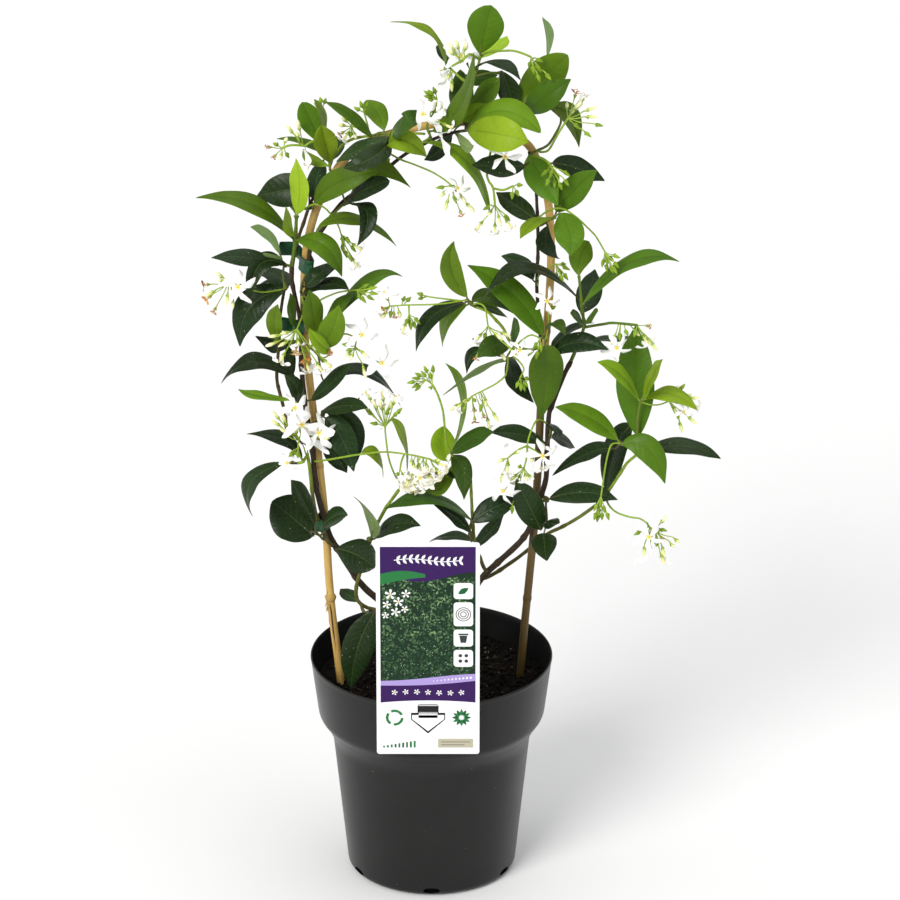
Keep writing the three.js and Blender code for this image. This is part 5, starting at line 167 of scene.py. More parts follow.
        twigs=[(1.25,0.85,'t',[(79,-5.4,623.1),(79.1,-8,624.4),(78.6,-11,630.1),(84.3,-9.2,633.1),(90,-5.9,634.5),(94.7,-2.5,637.7),(101.4,3.1,648),(103,5.4,654.1),(100.2,6,660.1),(94.2,6,663.1)]),
            (0.95,0.95,'t',[(78.6,-10.8,629.7),(84,-13.9,629.6),(89.3,-16.6,628.4),(94.1,-18,624.8)]),
            (0.95,0.85,'t',[(83.3,-9.5,632.6),(88.4,-14.9,633.7),(93.4,-17.7,637),(100.4,-18,650.2),(107.9,-18,663)])],
        leaves=[((74.5,-13.9,621.7),(53,-25.3,625.7),(32.5,-38.3,631.2),(0.18,-0.612,-0.77),19.4,5,'e','d',[(78.9,-9.4,627),(77.3,-11.4,623.7),(74.5,-13.9,621.7),(70.1,-16.1,622.4)]),
            ((76.8,-13,629.7),(87.2,-11,611.4),(100.5,-25.2,592.2),(0.857,0.159,0.491),25.3,5,'e','m',[(78.8,-10.1,628.4),(76.8,-13,629.7),(78.6,-11.3,626.1)]),
            ((95.8,-13,623.8),(115.9,-0.7,615.3),(138.3,3.6,602.8),(0.139,0.622,0.771),19.4,5,'e','d',[(94.1,-18,624.8),(94.6,-15.8,624.1),(95.8,-13,623.8),(99.6,-9.9,622.4)]),
            ((93.5,11.1,661.3),(109,26.1,650.3),(118.5,41.1,617.3),(0.582,0.481,0.656),19.4,25,'e','m',[(94.2,6,663.1),(93.5,8.2,661.9),(93.5,11.1,661.3),(97.1,14.1,660.9)])],
        items=[('b',(94.1,-18,624.8),(91.4,-21.7,620.4),(87,-22.5,616.4)),
            ('b',(94.1,-18,624.8),(93,-21.5,613.5),(91,-22,607.8)),
            ('b',(94.1,-18,624.8),(97.6,-16.9,610.4),(98.2,-17.4,604.5)),
            ('b',(94.1,-18,624.8),(101.7,-21.1,610),(103.6,-21.5,604.3)),
            ('b',(94.1,-18,624.8),(105.6,-21.2,612.5),(109.1,-21.7,607.7)),
            ('b',(94.1,-18,624.8),(104.9,-19.6,618.8),(109.9,-20.3,615.6)),
            ('b',(94.1,-18,624.8),(95.5,-20.2,619.9),(94.1,-21.1,614.2)),
            ('b',(94.1,-18,624.8),(99.1,-17.6,617.1),(101.3,-18.4,611.6)),
            ('w',(107.9,-18,663),(112.9,-17.9,679.9),(114,-17.9,683.7),4.9),
            ('w',(107.9,-18,663),(119.8,-17.8,677.8),(121.8,-17.7,680.3),4.1),
            ('t',(107.9,-18,663),(112.2,-18,669.6),(117.9,-19.3,676.7)),
            ('t',(107.9,-18,663),(121.6,-22,670.4),(130.4,-22.8,673.8)),
            ('t',(107.9,-18,663),(122,-17.5,663.7),(131.4,-18.4,664)),
            ('b',(107.9,-18,663),(129.6,-19.2,658.3),(135.4,-19.5,656.9)),
            ('b',(107.9,-18,663),(121.5,-19.6,651.9),(126.1,-20.1,648)),
            ('t',(107.9,-18,663),(107.1,-15.6,669.3),(107,-16.8,675.9)),
            ('b',(107.9,-18,663),(112.9,-18.2,658.2),(117.4,-19,654.2)),
            ('p',(107.9,-18,663),(110.2,-17.2,667.7),(124.9,-19.2,686.6),4.9)]),
    'leaves_upper_right_b': dict(
        twigs=[(1.25,0.95,'t',[(85.1,-2.9,567.8),(87.2,-4.9,568.5),(91.7,-9.7,573.5),(98.6,-11,577.8)])],
        leaves=[((99.4,-9,581.2),(113.3,-14.4,602.6),(131.1,-20.6,620.7),(-0.716,0.255,0.65),22,5,'e','m',[(98.6,-11,577.8),(99.4,-9,581.2),(101.8,-10,585.8)]),
            ((102.3,-20.6,584.7),(109.1,-36.8,573.8),(109.8,-49.2,559.2),(0.973,0.057,0.222),24.5,5,'e','m',[(98.6,-11,577.8),(99.9,-14.9,580.9),(102.3,-20.6,584.7),(104.1,-24.1,582.8)]),
            ((94.5,-17,579.1),(83,-39.1,583.9),(70.1,-61.3,577.9),(0.862,-0.478,0.167),19.4,5,'e','l',[(94.4,-10.2,575.2),(94.7,-13,576.4),(94.5,-17,579.1),(92.3,-21.4,580.9)]),
            ((93,-12.8,570.8),(91.4,-23.6,557.1),(102.3,-34.4,551),(0.788,0.564,-0.249),19.4,5,'e','d',[(90.8,-8.7,572.5),(93,-12.8,570.8),(91.7,-15,567.5)]),
            ((83.5,-12.1,575.6),(67.6,-6.4,586.2),(51.8,3.6,593.5),(-0.591,-0.651,-0.477),19.4,5,'e','d',[(89,-6.8,570.5),(86.9,-9.6,572),(83.5,-12.1,575.6),(80.3,-11.3,578)])],
        items=[]),
    'shoot_right_top': dict(
        twigs=[(1.25,0.85,'t',[(112.7,0,450.2),(119.6,-3.9,469.7),(121.3,-5.6,476),(122.4,-7.5,482.4),(122.5,-8.9,488.9),(121.4,-9.9,495.5),(118,-14,528.8)]),
            (0.95,0.85,'t',[(122.4,-7.4,482.2),(127.1,-11.3,484.7),(133.2,-12.9,486.4),(139.6,-13.7,487.8),(146.1,-14,488.7),(165,-10,485.3)])],
        leaves=[((118.1,-10.4,527.5),(119,-3,540),(126.2,4,551.8),(-0.961,0.121,0.247),19.6,5,'o','m',[(118,-14,528.8),(118.1,-10.4,527.5),(117.8,-8.9,530)]),
            ((120.2,-3.9,493.3),(127.1,15.6,503.7),(132.3,35.1,516.1),(-0.953,0.134,0.272),21.2,5,'e','d',[(121.4,-9.9,495.7),(120.6,-7.4,493.8),(120.2,-3.9,493.3),(121.7,0,495.2)]),
            ((121.5,-12.4,504.3),(160.3,-8.8,538.8),(198.2,-14.4,540.9),(-0.033,0.992,0.124),27,5,'e','m',[(120.7,-10.9,503.2),(121.5,-12.4,504.3),(129.3,-10.9,513.8)]),
            ((118.3,-11,508.1),(74.8,-28,541),(41.5,-28.4,513.9),(0.214,-0.973,-0.082),27,5,'e','d',[(120.3,-11.4,507.7),(118.3,-11,508.1),(108.8,-15.7,519.4)]),
            ((121.7,-11.6,486.8),(116.6,-21.1,496.6),(110.8,-29,503.1),(0.16,-0.726,-0.669),13,5,'e','k',[(122.4,-8.1,485.2),(121.7,-11.6,486.8),(120.8,-13.6,489)]),
            ((124.1,-12.4,489.7),(129.3,-21.3,497.5),(133,-30.3,505.3),(0.267,0.705,0.657),13,5,'e','m',[(122.5,-8.7,488.2),(124.1,-12.4,489.7),(125.3,-14.2,491.3)]),
            ((123.9,1.1,467.1),(144.5,17.4,462.4),(161.3,33.4,458.6),(-0.661,0.748,-0.06),19.4,5,'e','d',[(119.9,-4.2,470.7),(121.3,-2,468.6),(123.9,1.1,467.1),(128.3,4.4,466.1)])],
        items=[('o',(151.7,-12.7,487.6),(148.1,-7.8,468.3),(149,-16.2,468),(0.109,-0.993,-0.037),12.2),
            ('t',(150.2,-13,487.9),(147.8,-10.7,477.5),(144.4,-11.9,468.9)),
            ('b',(151.7,-12.7,487.6),(151.5,-11.4,478.4),(151.5,-12.2,472.4)),
            ('b',(154.7,-12.1,487.1),(155.8,-13.4,482.4),(157.8,-14.3,477.6)),
            ('t',(159.1,-11.1,486.3),(162.5,-9.7,481.6),(167.5,-10.9,476.2)),
            ('s',(165,-10,485.3),(169.6,-11.4,477.3),(173.9,-13,470.2),(0.507,-0.188,-0.841),9.8),
            ('t',(165,-10,485.3),(173.1,-10.5,475),(178.1,-11.4,466.9)),
            ('w',(165,-10,485.3),(172.1,-9.4,484.5),(174.7,-9.2,484.1),3.3),
            ('t',(165,-10,485.3),(176.4,-14.8,472.8),(181.9,-15.6,465.2)),
            ('b',(165,-10,485.3),(164,-12.9,481.3),(162.6,-13.8,476.5))]),
    'shoot_top_left': dict(
        twigs=[(1.25,0.85,'t',[(-78.8,-9,622.4),(-80.2,-7.1,623.9),(-81.6,-5.7,629.1),(-82.6,-6.3,642),(-83.4,-5.8,648.5),(-85.5,-2,667.5)]),
            (0.95,0.95,'t',[(-82,-6.1,635.8),(-86.5,-7.6,641.2),(-93.1,-8.1,640.3),(-99.1,-8,636.3)]),
            (0.95,0.95,'t',[(-99.1,-8,636.3),(-105.2,-8.7,637.2),(-111.4,-9.1,637.1),(-117.2,-9,634.9)])],
        leaves=[((-79.6,-3.6,625.5),(-99.5,5.3,634.9),(-122.5,8.6,636.3),(-0.258,-0.964,0.063),19.4,5,'e','m',[(-81,-6.3,626.8),(-79.6,-3.6,625.5),(-83.3,-1.3,628)]),
            ((-84.2,-3.9,634.8),(-93.6,1.5,652.1),(-101.5,6.9,667.8),(-0.86,-0.397,-0.321),19.4,5,'o','m',[(-83.9,-6.7,638),(-84.2,-3.9,634.8),(-86.2,-2.8,638.4)]),
            ((-82.3,-10.2,650.4),(-85,-21.9,666.9),(-90.8,-33.7,684.1),(-0.283,-0.752,-0.595),13,5,'e','l',[(-83.3,-5.9,648),(-82.8,-7.8,648.5),(-82.3,-10.2,650.4),(-82.6,-12.5,653.6)]),
            ((-78.6,-13.2,623.1),(-81.9,-28.7,646),(-85.3,-42.6,665.8),(-0.969,-0.105,-0.225),22,26,'o','l',[(-81,-6.3,626.8),(-79.7,-9.4,623.8),(-78.6,-13.2,623.1),(-79.2,-16.4,627.9)]),
            ((-78,-2.8,622.7),(-72.6,5.5,628.2),(-75.1,13.8,637),(-0.7,0.532,-0.476),13,5,'e','d',[(-81,-6.3,626.8),(-79.9,-4.9,624.2),(-78,-2.8,622.7),(-76.3,-1.2,623.5)]),
            ((-81.2,-2.4,617.5),(-93.4,7.8,618.9),(-101.5,18.1,624.6),(-0.724,-0.68,-0.113),13,5,'e','l',[(-81,-6.3,626.8),(-80.4,-4.9,621.6),(-81.2,-2.4,617.5),(-84,-0.3,617.5)])],
        items=[('t',(-100.6,-8.2,636.5),(-108.2,-11.6,648.2),(-114.5,-12.5,655.3)),
            ('t',(-100.6,-8.2,636.5),(-102.9,-9.8,649.7),(-105,-10.7,658.9)),
            ('t',(-103.7,-8.5,637),(-104,-11.1,643.7),(-105.9,-12.3,650.3)),
            ('w',(-99.1,-8,636.3),(-98,-7.3,625),(-97.7,-7,621.7),4.1),
            ('p',(-99.1,-8,636.3),(-99.8,-9.6,633.5),(-92.9,-11.6,619.2),4.9),
            ('w',(-117.2,-9,634.9),(-125.7,-12.2,636.7),(-128.1,-13.1,637.2),3.3),
            ('t',(-115.7,-9,635.5),(-115.2,-9.1,639.2),(-113.1,-10.3,643.8)),
            ('t',(-117.2,-9,634.9),(-117.3,-9.7,631.2),(-118.8,-10.9,626.4)),
            ('b',(-117.2,-9,634.9),(-120.6,-6.9,636.4),(-124.3,-7.8,638.7)),
            ('w',(-117.2,-9,634.9),(-121.9,-9.4,629.6),(-123.6,-9.5,627.6),3.3),
            ('b',(-115.7,-9,635.5),(-114.1,-9.3,630.7),(-111.7,-10.2,627)),
            ('b',(-85.5,-2,667.5),(-86,-5,671.5),(-86.9,-5.9,676.3)),
            ('b',(-85.3,-2.3,666),(-83.8,-1.1,669.3),(-82.3,-2,674.1)),
            ('b',(-85.3,-2.3,666),(-88.5,-0.2,667.4),(-91.8,-1.1,669.7))]),
    'leaves_upper_left_c': dict(
        twigs=[(1.25,0.95,'t',[(-95.1,2,585.1),(-93.2,-0.1,584.2),(-94.5,-5,583.5),(-97.6,-10.8,584.6),(-99.4,-17,586.7)]),
            (0.85,0.7,'p',[(-99.4,-17,586.7),(-95.9,-22.3,591.2),(-90.4,-26.5,594.3),(-83.5,-27.3,591.3),(-78.7,-25.9,585.4),(-74.9,-23.7,579),(-72.5,-20.7,572.3),(-71.1,-17,565.6)])],
        leaves=[((-92.1,-20,592),(-72.6,-39.1,616.5),(-38.7,-42.7,627.8),(-0.319,0.509,0.799),22,5,'e','m',[(-94,-3.1,583.8),(-93.6,-10.5,585.5),(-92.1,-20,592),(-89.4,-25.1,598)]),
            ((-96.5,-3.5,599.5),(-115.6,-2.1,597.3),(-139,5.3,588.7),(0.167,-0.331,-0.929),27.8,5,'e','d',[(-95.7,-7.3,583.9),(-96.1,-7.4,584),(-96.5,-3.5,599.5),(-99.9,-3.7,599.5)]),
            ((-92.5,7,586.4),(-90.8,21.6,598),(-85.3,33.6,610.6),(-0.856,0.454,-0.245),19.4,5,'e','d',[(-94,-3.1,583.8),(-91.9,-1.3,583.5),(-92.5,7,586.4),(-92.5,10.1,588.6)])],
        items=[('b',(-71.4,-17.7,566.9),(-70.1,-20,563.9),(-68.7,-20.9,558.6)),
            ('b',(-71.1,-17,565.6),(-67.4,-20.5,563.8),(-63.2,-21.4,559.6)),
            ('b',(-71.1,-17,565.6),(-63.2,-15,554.4),(-59.4,-15.5,549.8)),
            ('b',(-71.1,-17,565.6),(-68,-18.8,552),(-66.5,-19.3,546.2)),
            ('b',(-71.1,-17,565.6),(-70.2,-18.6,557.2),(-69.6,-19.2,551.2)),
            ('b',(-71.1,-17,565.6),(-64.5,-21.4,549.3),(-62.5,-21.8,543.7)),
            ('s',(-71.1,-17,565.6),(-62.4,-18.5,546.1),(-58.6,-19.4,538.6),(0.444,-0.106,-0.89),7.3),
            ('s',(-71.1,-17,565.6),(-62.1,-22.2,559.4),(-55.2,-23.6,554.6),(0.804,-0.16,-0.573),6.5)]),
    'shoot_left_green': dict(
        twigs=[(1.25,0.85,'t',[(-110.4,-14,537.4),(-108.2,-12.2,551.6),(-107.5,-11.9,558.4),(-106.4,-12,579)])],
        leaves=[((-107.8,-13.4,558.4),(-141.9,-20,592),(-186.1,-18.5,596.5),(-0.038,-0.978,-0.208),27,5,'e','m',[(-107.6,-11.9,557.6),(-107.8,-13.4,558.4),(-113.8,-15.4,567.4)]),
            ((-105.8,-16.3,582.3),(-102.9,-23.8,607.6),(-105.5,-30.2,634.1),(-0.821,0.55,0.151),19.4,5,'e','y',[(-106.4,-12,579),(-106.2,-14,579.8),(-105.8,-16.3,582.3),(-104.8,-17.9,587.2)]),
            ((-107.7,-8,580),(-112,8.1,586.8),(-111.3,15.1,596.1),(-0.603,-0.518,0.606),13,5,'e','l',[(-106.4,-12,579),(-107.7,-8,580),(-108.9,-4,581.2)]),
            ((-108.4,-16.7,563.8),(-113.3,-30.7,580.8),(-113.4,-44.6,599.3),(-0.39,-0.697,-0.602),13.7,5,'e','l',[(-107.3,-11.9,562.2),(-107.7,-14,562.4),(-108.4,-16.7,563.8),(-109.8,-19.5,567.1)]),
            ((-106.9,-14.6,559.7),(-83.5,-32,560.3),(-70.5,-22.5,531.2),(0.595,0.511,0.621),19.4,5,'e','m',[(-107.5,-11.9,559.1),(-106.9,-14.6,559.7),(-101.4,-20.3,562.1)])],
        items=[]),
    'leaves_inner_upper_left': dict(
        twigs=[(1.25,0.95,'t',[(-71.3,-11.8,588.6),(-70.3,-14.9,589),(-67.6,-18.1,591.4),(-63.7,-20,593.7)]),
            (0.95,0.95,'t',[(-69.4,-16,589.8),(-78.9,-21.7,582.5),(-83.4,-22.4,577.7),(-87.6,-22,572.5)])],
        leaves=[((-68.4,-20.2,592.9),(-51.4,-41.9,611.7),(-31.6,-47.8,621.3),(0.058,0.753,0.656),19.4,5,'o','d',[(-68.5,-17.1,590.6),(-68.4,-20.2,592.9),(-65.2,-25.8,597.4)]),
            ((-63.7,-17,595.1),(-46.3,-14.5,610.2),(-32,-11.8,627.6),(-0.631,0.572,0.525),19.4,5,'e','l',[(-63.7,-20,593.7),(-63.7,-17,595.1),(-60,-16.5,597.9)]),
            ((-62.1,-20.9,592.3),(-49.9,-42.3,590.1),(-57.8,-51,568.2),(0.978,0.198,-0.073),19.4,35,'e','d',[(-63.7,-20,593.7),(-62.1,-20.9,592.3),(-58.1,-26.2,593.5)]),
            ((-70,-17,601.8),(-49.2,-24.2,627),(-15.5,-21.2,605.9),(0.047,0.94,0.338),26,5,'e','m',[(-66.3,-18.7,592.2),(-68.4,-17.6,595.5),(-70,-17,601.8),(-66.9,-19.3,610.6)]),
            ((-88.3,-50.4,583.1),(-57.2,-32.4,583.1),(-26.5,-41.7,563.9),(-0.129,0.991,0.036),26.4,5,'e','m',[(-87.6,-22,572.5),(-89.8,-38.1,575.4),(-88.3,-50.4,583.1),(-82.1,-44.6,584.6)])],
        items=[]),
    'leaves_left_mid_a': dict(
        twigs=[(1.25,0.95,'t',[(-110.4,-14,537.4),(-113.6,-13.5,537.6),(-116.6,-13.1,538.6),(-119.2,-12,540)]),
            (0.95,0.95,'t',[(-116.6,-13.1,538.6),(-117.6,-11.5,531.4),(-117.3,-11.1,524.1),(-115.5,-12,517)]),
            (0.85,0.7,'p',[(-115.5,-12,517),(-130.6,-17,516.4),(-138.3,-18.8,517.6),(-153.1,-20.1,523.1),(-160.5,-20,526)])],
        leaves=[((-119.2,-9.1,543.1),(-128.3,4.2,555.2),(-144.8,19.1,558.1),(-0.031,-0.491,0.871),19.4,5,'e','u',[(-119.2,-12,540),(-119.2,-9.1,543.1),(-120.5,-6.5,546.3)]),
            ((-119,-16,543.2),(-125.5,-31.5,552.5),(-132.3,-38.8,557.7),(0.894,-0.421,0.156),13,5,'e','u',[(-119.2,-12,540),(-119,-13.6,541.1),(-119,-16,543.2),(-120.3,-19.8,545.4)]),
            ((-119.3,-11,537.1),(-148.1,-5.3,541.7),(-175.2,-5.3,540.9),(-0.118,-0.935,-0.335),21.3,5,'e','d',[(-117.9,-12.5,539.3),(-119.3,-11,537.1),(-125.2,-9.4,538.4)]),
            ((-115.1,-15.6,537.1),(-135.6,-20.7,541.6),(-144.4,-29.4,512.6),(0.686,-0.233,-0.689),19.7,30,'e','d',[(-116.6,-13.1,538.6),(-115.1,-15.6,537.1),(-120.1,-16.4,540.7)]),
            ((-114.1,-5.4,516.1),(-125.7,29.9,512.9),(-140.8,45.4,511.3),(-0.863,-0.471,-0.181),19.4,5,'e','d',[(-115.9,-11.8,518.5),(-114.9,-9.2,517),(-114.1,-5.4,516.1),(-116.2,3.3,515.4)]),
            ((-116.3,-13.5,516.7),(-144.3,-16.2,503.2),(-152.7,-18.9,469.9),(0.704,-0.514,-0.49),27,5,'e','d',[(-115.5,-12,517),(-116.3,-13.5,516.7),(-123.4,-14,515.6)]),
            ((-117.4,-3.7,514.6),(-132.1,4.4,511.5),(-151.7,26.6,495.2),(-0.431,-0.78,-0.454),19.4,5,'e','d',[(-115.9,-11.8,518.5),(-115.9,-7.8,515.8),(-117.4,-3.7,514.6),(-120,-3.2,515.1)])],
        items=[('o',(-153.3,-20.1,523.2),(-151.4,-18.8,523.1),(-153.1,-27,524.5),(-0.194,-0.968,0.158),15.5),
            ('t',(-160.5,-20,526),(-165.1,-21.3,530.3),(-171.3,-22.5,535.5)),
            ('t',(-160.5,-20,526),(-164.9,-23.5,528.5),(-169.8,-24.7,529.6)),
            ('t',(-160.5,-20,526),(-171.9,-18.6,518.1),(-179.9,-19.5,513)),
            ('w',(-160.5,-20,526),(-175.9,-18.7,523.5),(-179.7,-18.4,522.9),4.9),
            ('w',(-160.5,-20,526),(-174.4,-23.7,516),(-178,-24.7,513.3),5.7),
            ('w',(-160.5,-20,526),(-171.2,-22.5,505.3),(-172.7,-22.9,502.4),4.1),
            ('t',(-160.5,-20,526),(-161.6,-22.7,517.2),(-163,-23.8,507.9)),
            ('t',(-159.1,-20,525.5),(-158.1,-23.1,514),(-157.5,-24,504.5))]),
    'leaves_left_mid_b': dict(
        twigs=[(1.25,0.95,'t',[(-104,-18,475),(-107.4,-18.6,474.8),(-111.8,-18,473.3),(-116,-16,471.4)])],
        leaves=[((-123,-19.2,475.2),(-124.9,-27.6,494.9),(-121.1,-36.4,513.6),(-0.923,0.333,0.195),15.1,5,'e','m',[(-116,-16,471.4),(-119.4,-17.3,472.1),(-123,-19.2,475.2),(-123.9,-20.8,479.2)]),
            ((-109.2,-22.5,489.4),(-110.9,-34.4,509.4),(-111.2,-46.2,526.8),(-0.536,-0.7,-0.471),13,5,'e','m',[(-110.4,-18.2,473.7),(-109.7,-19.7,479.3),(-109.2,-22.5,489.4),(-109.7,-24.9,493.6)]),
            ((-111.2,-14.1,472.3),(-121.7,8.1,459.1),(-141.9,11.2,467.5),(-0.585,-0.762,-0.279),19.4,5,'e','d',[(-110.4,-18.2,473.7),(-111.2,-14.1,472.3),(-112.6,-8.2,468)])],
        items=[]),
    'leaves_inner_left': dict(
        twigs=[(1.25,0.95,'t',[(-103.9,-18,465.9),(-100.6,-18.9,466.8),(-95.4,-20.6,471.5),(-90.2,-23,475.9)]),
            (0.95,0.95,'t',[(-97.1,-20,469.9),(-90.7,-23.7,466.3),(-86.2,-27,460.3)]),
            (0.85,0.7,'p',[(-90.7,-23.7,466.3),(-80.3,-29.1,478.5),(-74.5,-31.8,484),(-67.1,-33.9,487.1),(-59.9,-34.9,483.1),(-60.4,-35,475.5)])],
        leaves=[((-88.5,-26.8,471.4),(-78.3,-44.4,495.5),(-72.5,-48.5,517.5),(-0.917,0.125,0.378),21.2,5,'e','m',[(-90.7,-23.7,466.3),(-89.8,-24.9,468.1),(-88.5,-26.8,471.4),(-86.1,-31.4,476.3)]),
            ((-89.4,-19.6,477.9),(-73.9,-22.5,504.8),(-62.1,-10.8,513.9),(-0.365,0.93,0.05),19.4,5,'e','m',[(-90.2,-23,475.9),(-89.4,-19.6,477.9),(-86,-21.3,484.7)]),
            ((-90.2,-20.4,476.6),(-51.8,-4.1,519.1),(-22.2,-5.5,524.7),(-0.211,0.977,-0.004),27,5,'e','m',[(-90.2,-23,475.9),(-90.2,-20.4,476.6),(-81.8,-15.7,488)]),
            ((-79.5,-35.5,472.3),(-88.6,-47.7,484.9),(-96.6,-41.8,495.3),(-0.489,-0.679,-0.548),13,5,'e','l',[(-88,-25.7,462.7),(-83.2,-29.5,465.8),(-79.5,-35.5,472.3),(-81.4,-39.4,475)]),
            ((-91.6,-27.1,483.5),(-94.1,-40.1,508.3),(-95.9,-54,532.3),(-0.865,-0.403,-0.298),19.4,5,'e','m',[(-90.2,-23,475.9),(-90.8,-24.7,478.5),(-91.6,-27.1,483.5),(-92.1,-29.7,488.5)]),
            ((-85.8,-18.9,440.5),(-52.2,-11.8,446.3),(-24.2,-8.8,413.8),(-0.136,0.989,0.058),27,5,'e','d',[(-90.7,-23.7,466.3),(-90.2,-24,465.9),(-88.8,-21,454.4),(-88.2,-19,446.7),(-85.8,-18.9,440.5),(-78.6,-17.1,444.8)])],
        items=[('o',(-60.1,-34.9,483.2),(-56.5,-32.5,485.5),(-54.6,-40.1,488.7),(0.223,-0.898,0.379),13.9),
            ('b',(-60.3,-35,477),(-65.8,-38.9,479.5),(-70.6,-39.8,480.8)),
            ('b',(-60.4,-35,475.5),(-63.6,-39.3,476.2),(-67.5,-40.2,475)),
            ('t',(-60.3,-35,477),(-55.9,-39,474.7),(-50,-40.3,469.9)),
            ('o',(-60.4,-35,475.5),(-42.6,-31.9,463.4),(-38.9,-39.5,464.4),(0.441,-0.89,0.118),13.9),
            ('t',(-60.4,-35,475.5),(-54.1,-36.9,460.8),(-51.7,-37.6,451.6)),
            ('t',(-60.4,-35,475.5),(-61.8,-38.9,472.6),(-64.3,-40.2,467.3)),
            ('t',(-60.4,-35,475.5),(-63.9,-37.9,473.2),(-68.3,-39.1,469.4)),
            ('w',(-84,-27.2,474.1),(-80.8,-40.1,475),(-80.1,-42.6,475.1),3.3)]),
    'leaves_left_c': dict(
        twigs=[(1.25,0.95,'t',[(-97,-19.4,532.2),(-98.4,-22.6,532.5),(-100.7,-26.7,530.8),(-102.5,-26.8,525.1),(-103.2,-25,519.4)]),
            (0.85,0.7,'p',[(-103.2,-25,519.4),(-98.1,-26.5,513.9),(-92.3,-28.2,509.5),(-87.3,-29.8,514.7),(-80.7,-30.6,518.4),(-73.6,-30.9,521.3),(-66.1,-31.1,522.8),(-58.5,-31,523.5)]),
            (0.85,0.7,'p',[(-103.2,-25,519.4),(-101.5,-26.9,511.8),(-101.1,-28.2,504),(-106.6,-28,489)])],
        leaves=[((-101.3,-34.8,520.7),(-83,-30.9,528.5),(-64.4,-49,530.4),(0.283,0.92,0.272),19.4,5,'e','d',[(-103.2,-25,519.4),(-102.8,-30.4,519.1),(-101.3,-34.8,520.7),(-97.7,-32.3,522.7)]),
            ((-99.9,-25.8,524),(-87.7,-31.3,538),(-74.1,-2.7,536.5),(-0.703,0.689,0.177),16.6,5,'e','d',[(-102.4,-26.8,525.2),(-99.9,-25.8,524),(-97.6,-29.6,528)])],
        items=[('b',(-58.5,-31,523.5),(-54.1,-29.8,525.4),(-48.9,-30.6,528.4)),
            ('b',(-58.5,-31,523.5),(-48.3,-35,526.2),(-42.5,-35.6,527.8)),
            ('b',(-58.5,-31,523.5),(-47.8,-32,521.4),(-41.8,-32.5,520.6)),
            ('b',(-58.5,-31,523.5),(-50.3,-31.6,518.3),(-45,-32.2,515.4)),
            ('b',(-58.5,-31,523.5),(-55.1,-34.8,518.8),(-51.3,-35.6,514.2)),
            ('b',(-58.5,-31,523.5),(-55.2,-29.9,521.3),(-51.4,-30.8,519.1)),
            ('b',(-58.5,-31,523.5),(-57.2,-34.2,520.8),(-55.3,-35.1,516.6)),
            ('t',(-106.6,-28,489),(-112.7,-29.7,487),(-120.1,-30.9,485.9)),
            ('t',(-106.6,-28,489),(-120.3,-29.8,484.4),(-129.7,-30.7,483.2)),
            ('t',(-106.6,-28,489),(-122.6,-29.1,478.6),(-131.5,-29.9,475.2)),
            ('t',(-106.6,-28,489),(-113.9,-28.9,479.4),(-121.9,-30,474.4)),
            ('s',(-106.6,-28,489),(-116.1,-40,473.4),(-120.1,-41.1,465.9),(-0.47,-0.124,-0.874),9),
            ('w',(-106.6,-28,489),(-101.1,-31.9,471),(-99.6,-32.9,466.1),6.5),
            ('s',(-106.6,-28,489),(-106.2,-30.7,481.8),(-105,-32.8,477.2),(0.218,-0.408,-0.887),6.5),
            ('s',(-106.6,-28,489),(-99.7,-36,464.6),(-97.2,-36.8,456.5),(0.29,-0.102,-0.952),9.8),
            ('s',(-106.6,-28,489),(-91,-40.6,465.6),(-86.7,-41.4,458.3),(0.512,-0.089,-0.854),8.2),
            ('s',(-106.6,-28,489),(-85.1,-42.8,468.9),(-79.4,-43.5,462.6),(0.668,-0.082,-0.74),7.3),
            ('w',(-106.6,-28,489),(-107.3,-29,475.9),(-107.6,-29.4,470.7),6.5)]),
    'leaves_left_d': dict(
        twigs=[(1.25,0.95,'t',[(-102.3,-17.8,431.4),(-102.2,-21.3,430.4),(-101.9,-23.7,427.4),(-102.7,-25,424)]),
            (0.95,0.95,'t',[(-101.9,-23.2,428),(-104.7,-24.5,435.3),(-108.9,-24,441.8)])],
        leaves=[((-108.1,-23.7,445.1),(-142.4,-22.4,458.4),(-168.5,-20,438.4),(-0.038,-0.978,-0.205),25.4,5,'e','d',[(-108.9,-24,441.8),(-108.1,-23.7,445.1),(-115.6,-23.6,450.4)]),
            ((-105.1,-24.6,424.7),(-107.8,-34.9,441),(-117.2,-36.1,453.6),(-0.594,-0.631,-0.499),15,5,'e','d',[(-102.7,-25,424),(-105.1,-24.6,424.7),(-105.1,-27.4,428.3)]),
            ((-113.1,-24.1,426.2),(-138.9,-20.2,428.1),(-155.2,-14,431.6),(-0.228,-0.973,0.041),19.4,5,'e','l',[(-102.7,-25,424),(-107,-24.6,424.4),(-113.1,-24.1,426.2),(-119.1,-23.5,426.5)]),
            ((-111.3,-24,446.1),(-112.7,-24.9,460.3),(-115,-21.5,474.4),(-0.7,-0.713,-0.029),13,5,'e','d',[(-108.9,-24,441.8),(-111.3,-24,446.1),(-111.5,-24.5,448.9)]),
            ((-96.2,-25,426.6),(-79.1,-31.6,444.9),(-62.8,-37.9,462.9),(-0.131,0.89,0.436),19.4,5,'e','d',[(-102,-24,426.8),(-99.5,-24.4,425.9),(-96.2,-25,426.6),(-92.7,-26.3,430.2)])],
        items=[]),
    'leaves_left_e': dict(
        twigs=[(1.25,0.95,'t',[(-98.8,-17.3,401.5),(-95.3,-18.3,402.7),(-90.3,-20,407),(-86.9,-21,412.7)])],
        leaves=[((-87.5,-26.9,417.8),(-68.7,-38.7,427),(-50.1,-49.1,429.6),(0.366,0.834,0.413),19.4,5,'e','d',[(-86.9,-21,412.7),(-87.7,-23.6,414.5),(-87.5,-26.9,417.8),(-83.7,-29.3,420.2)]),
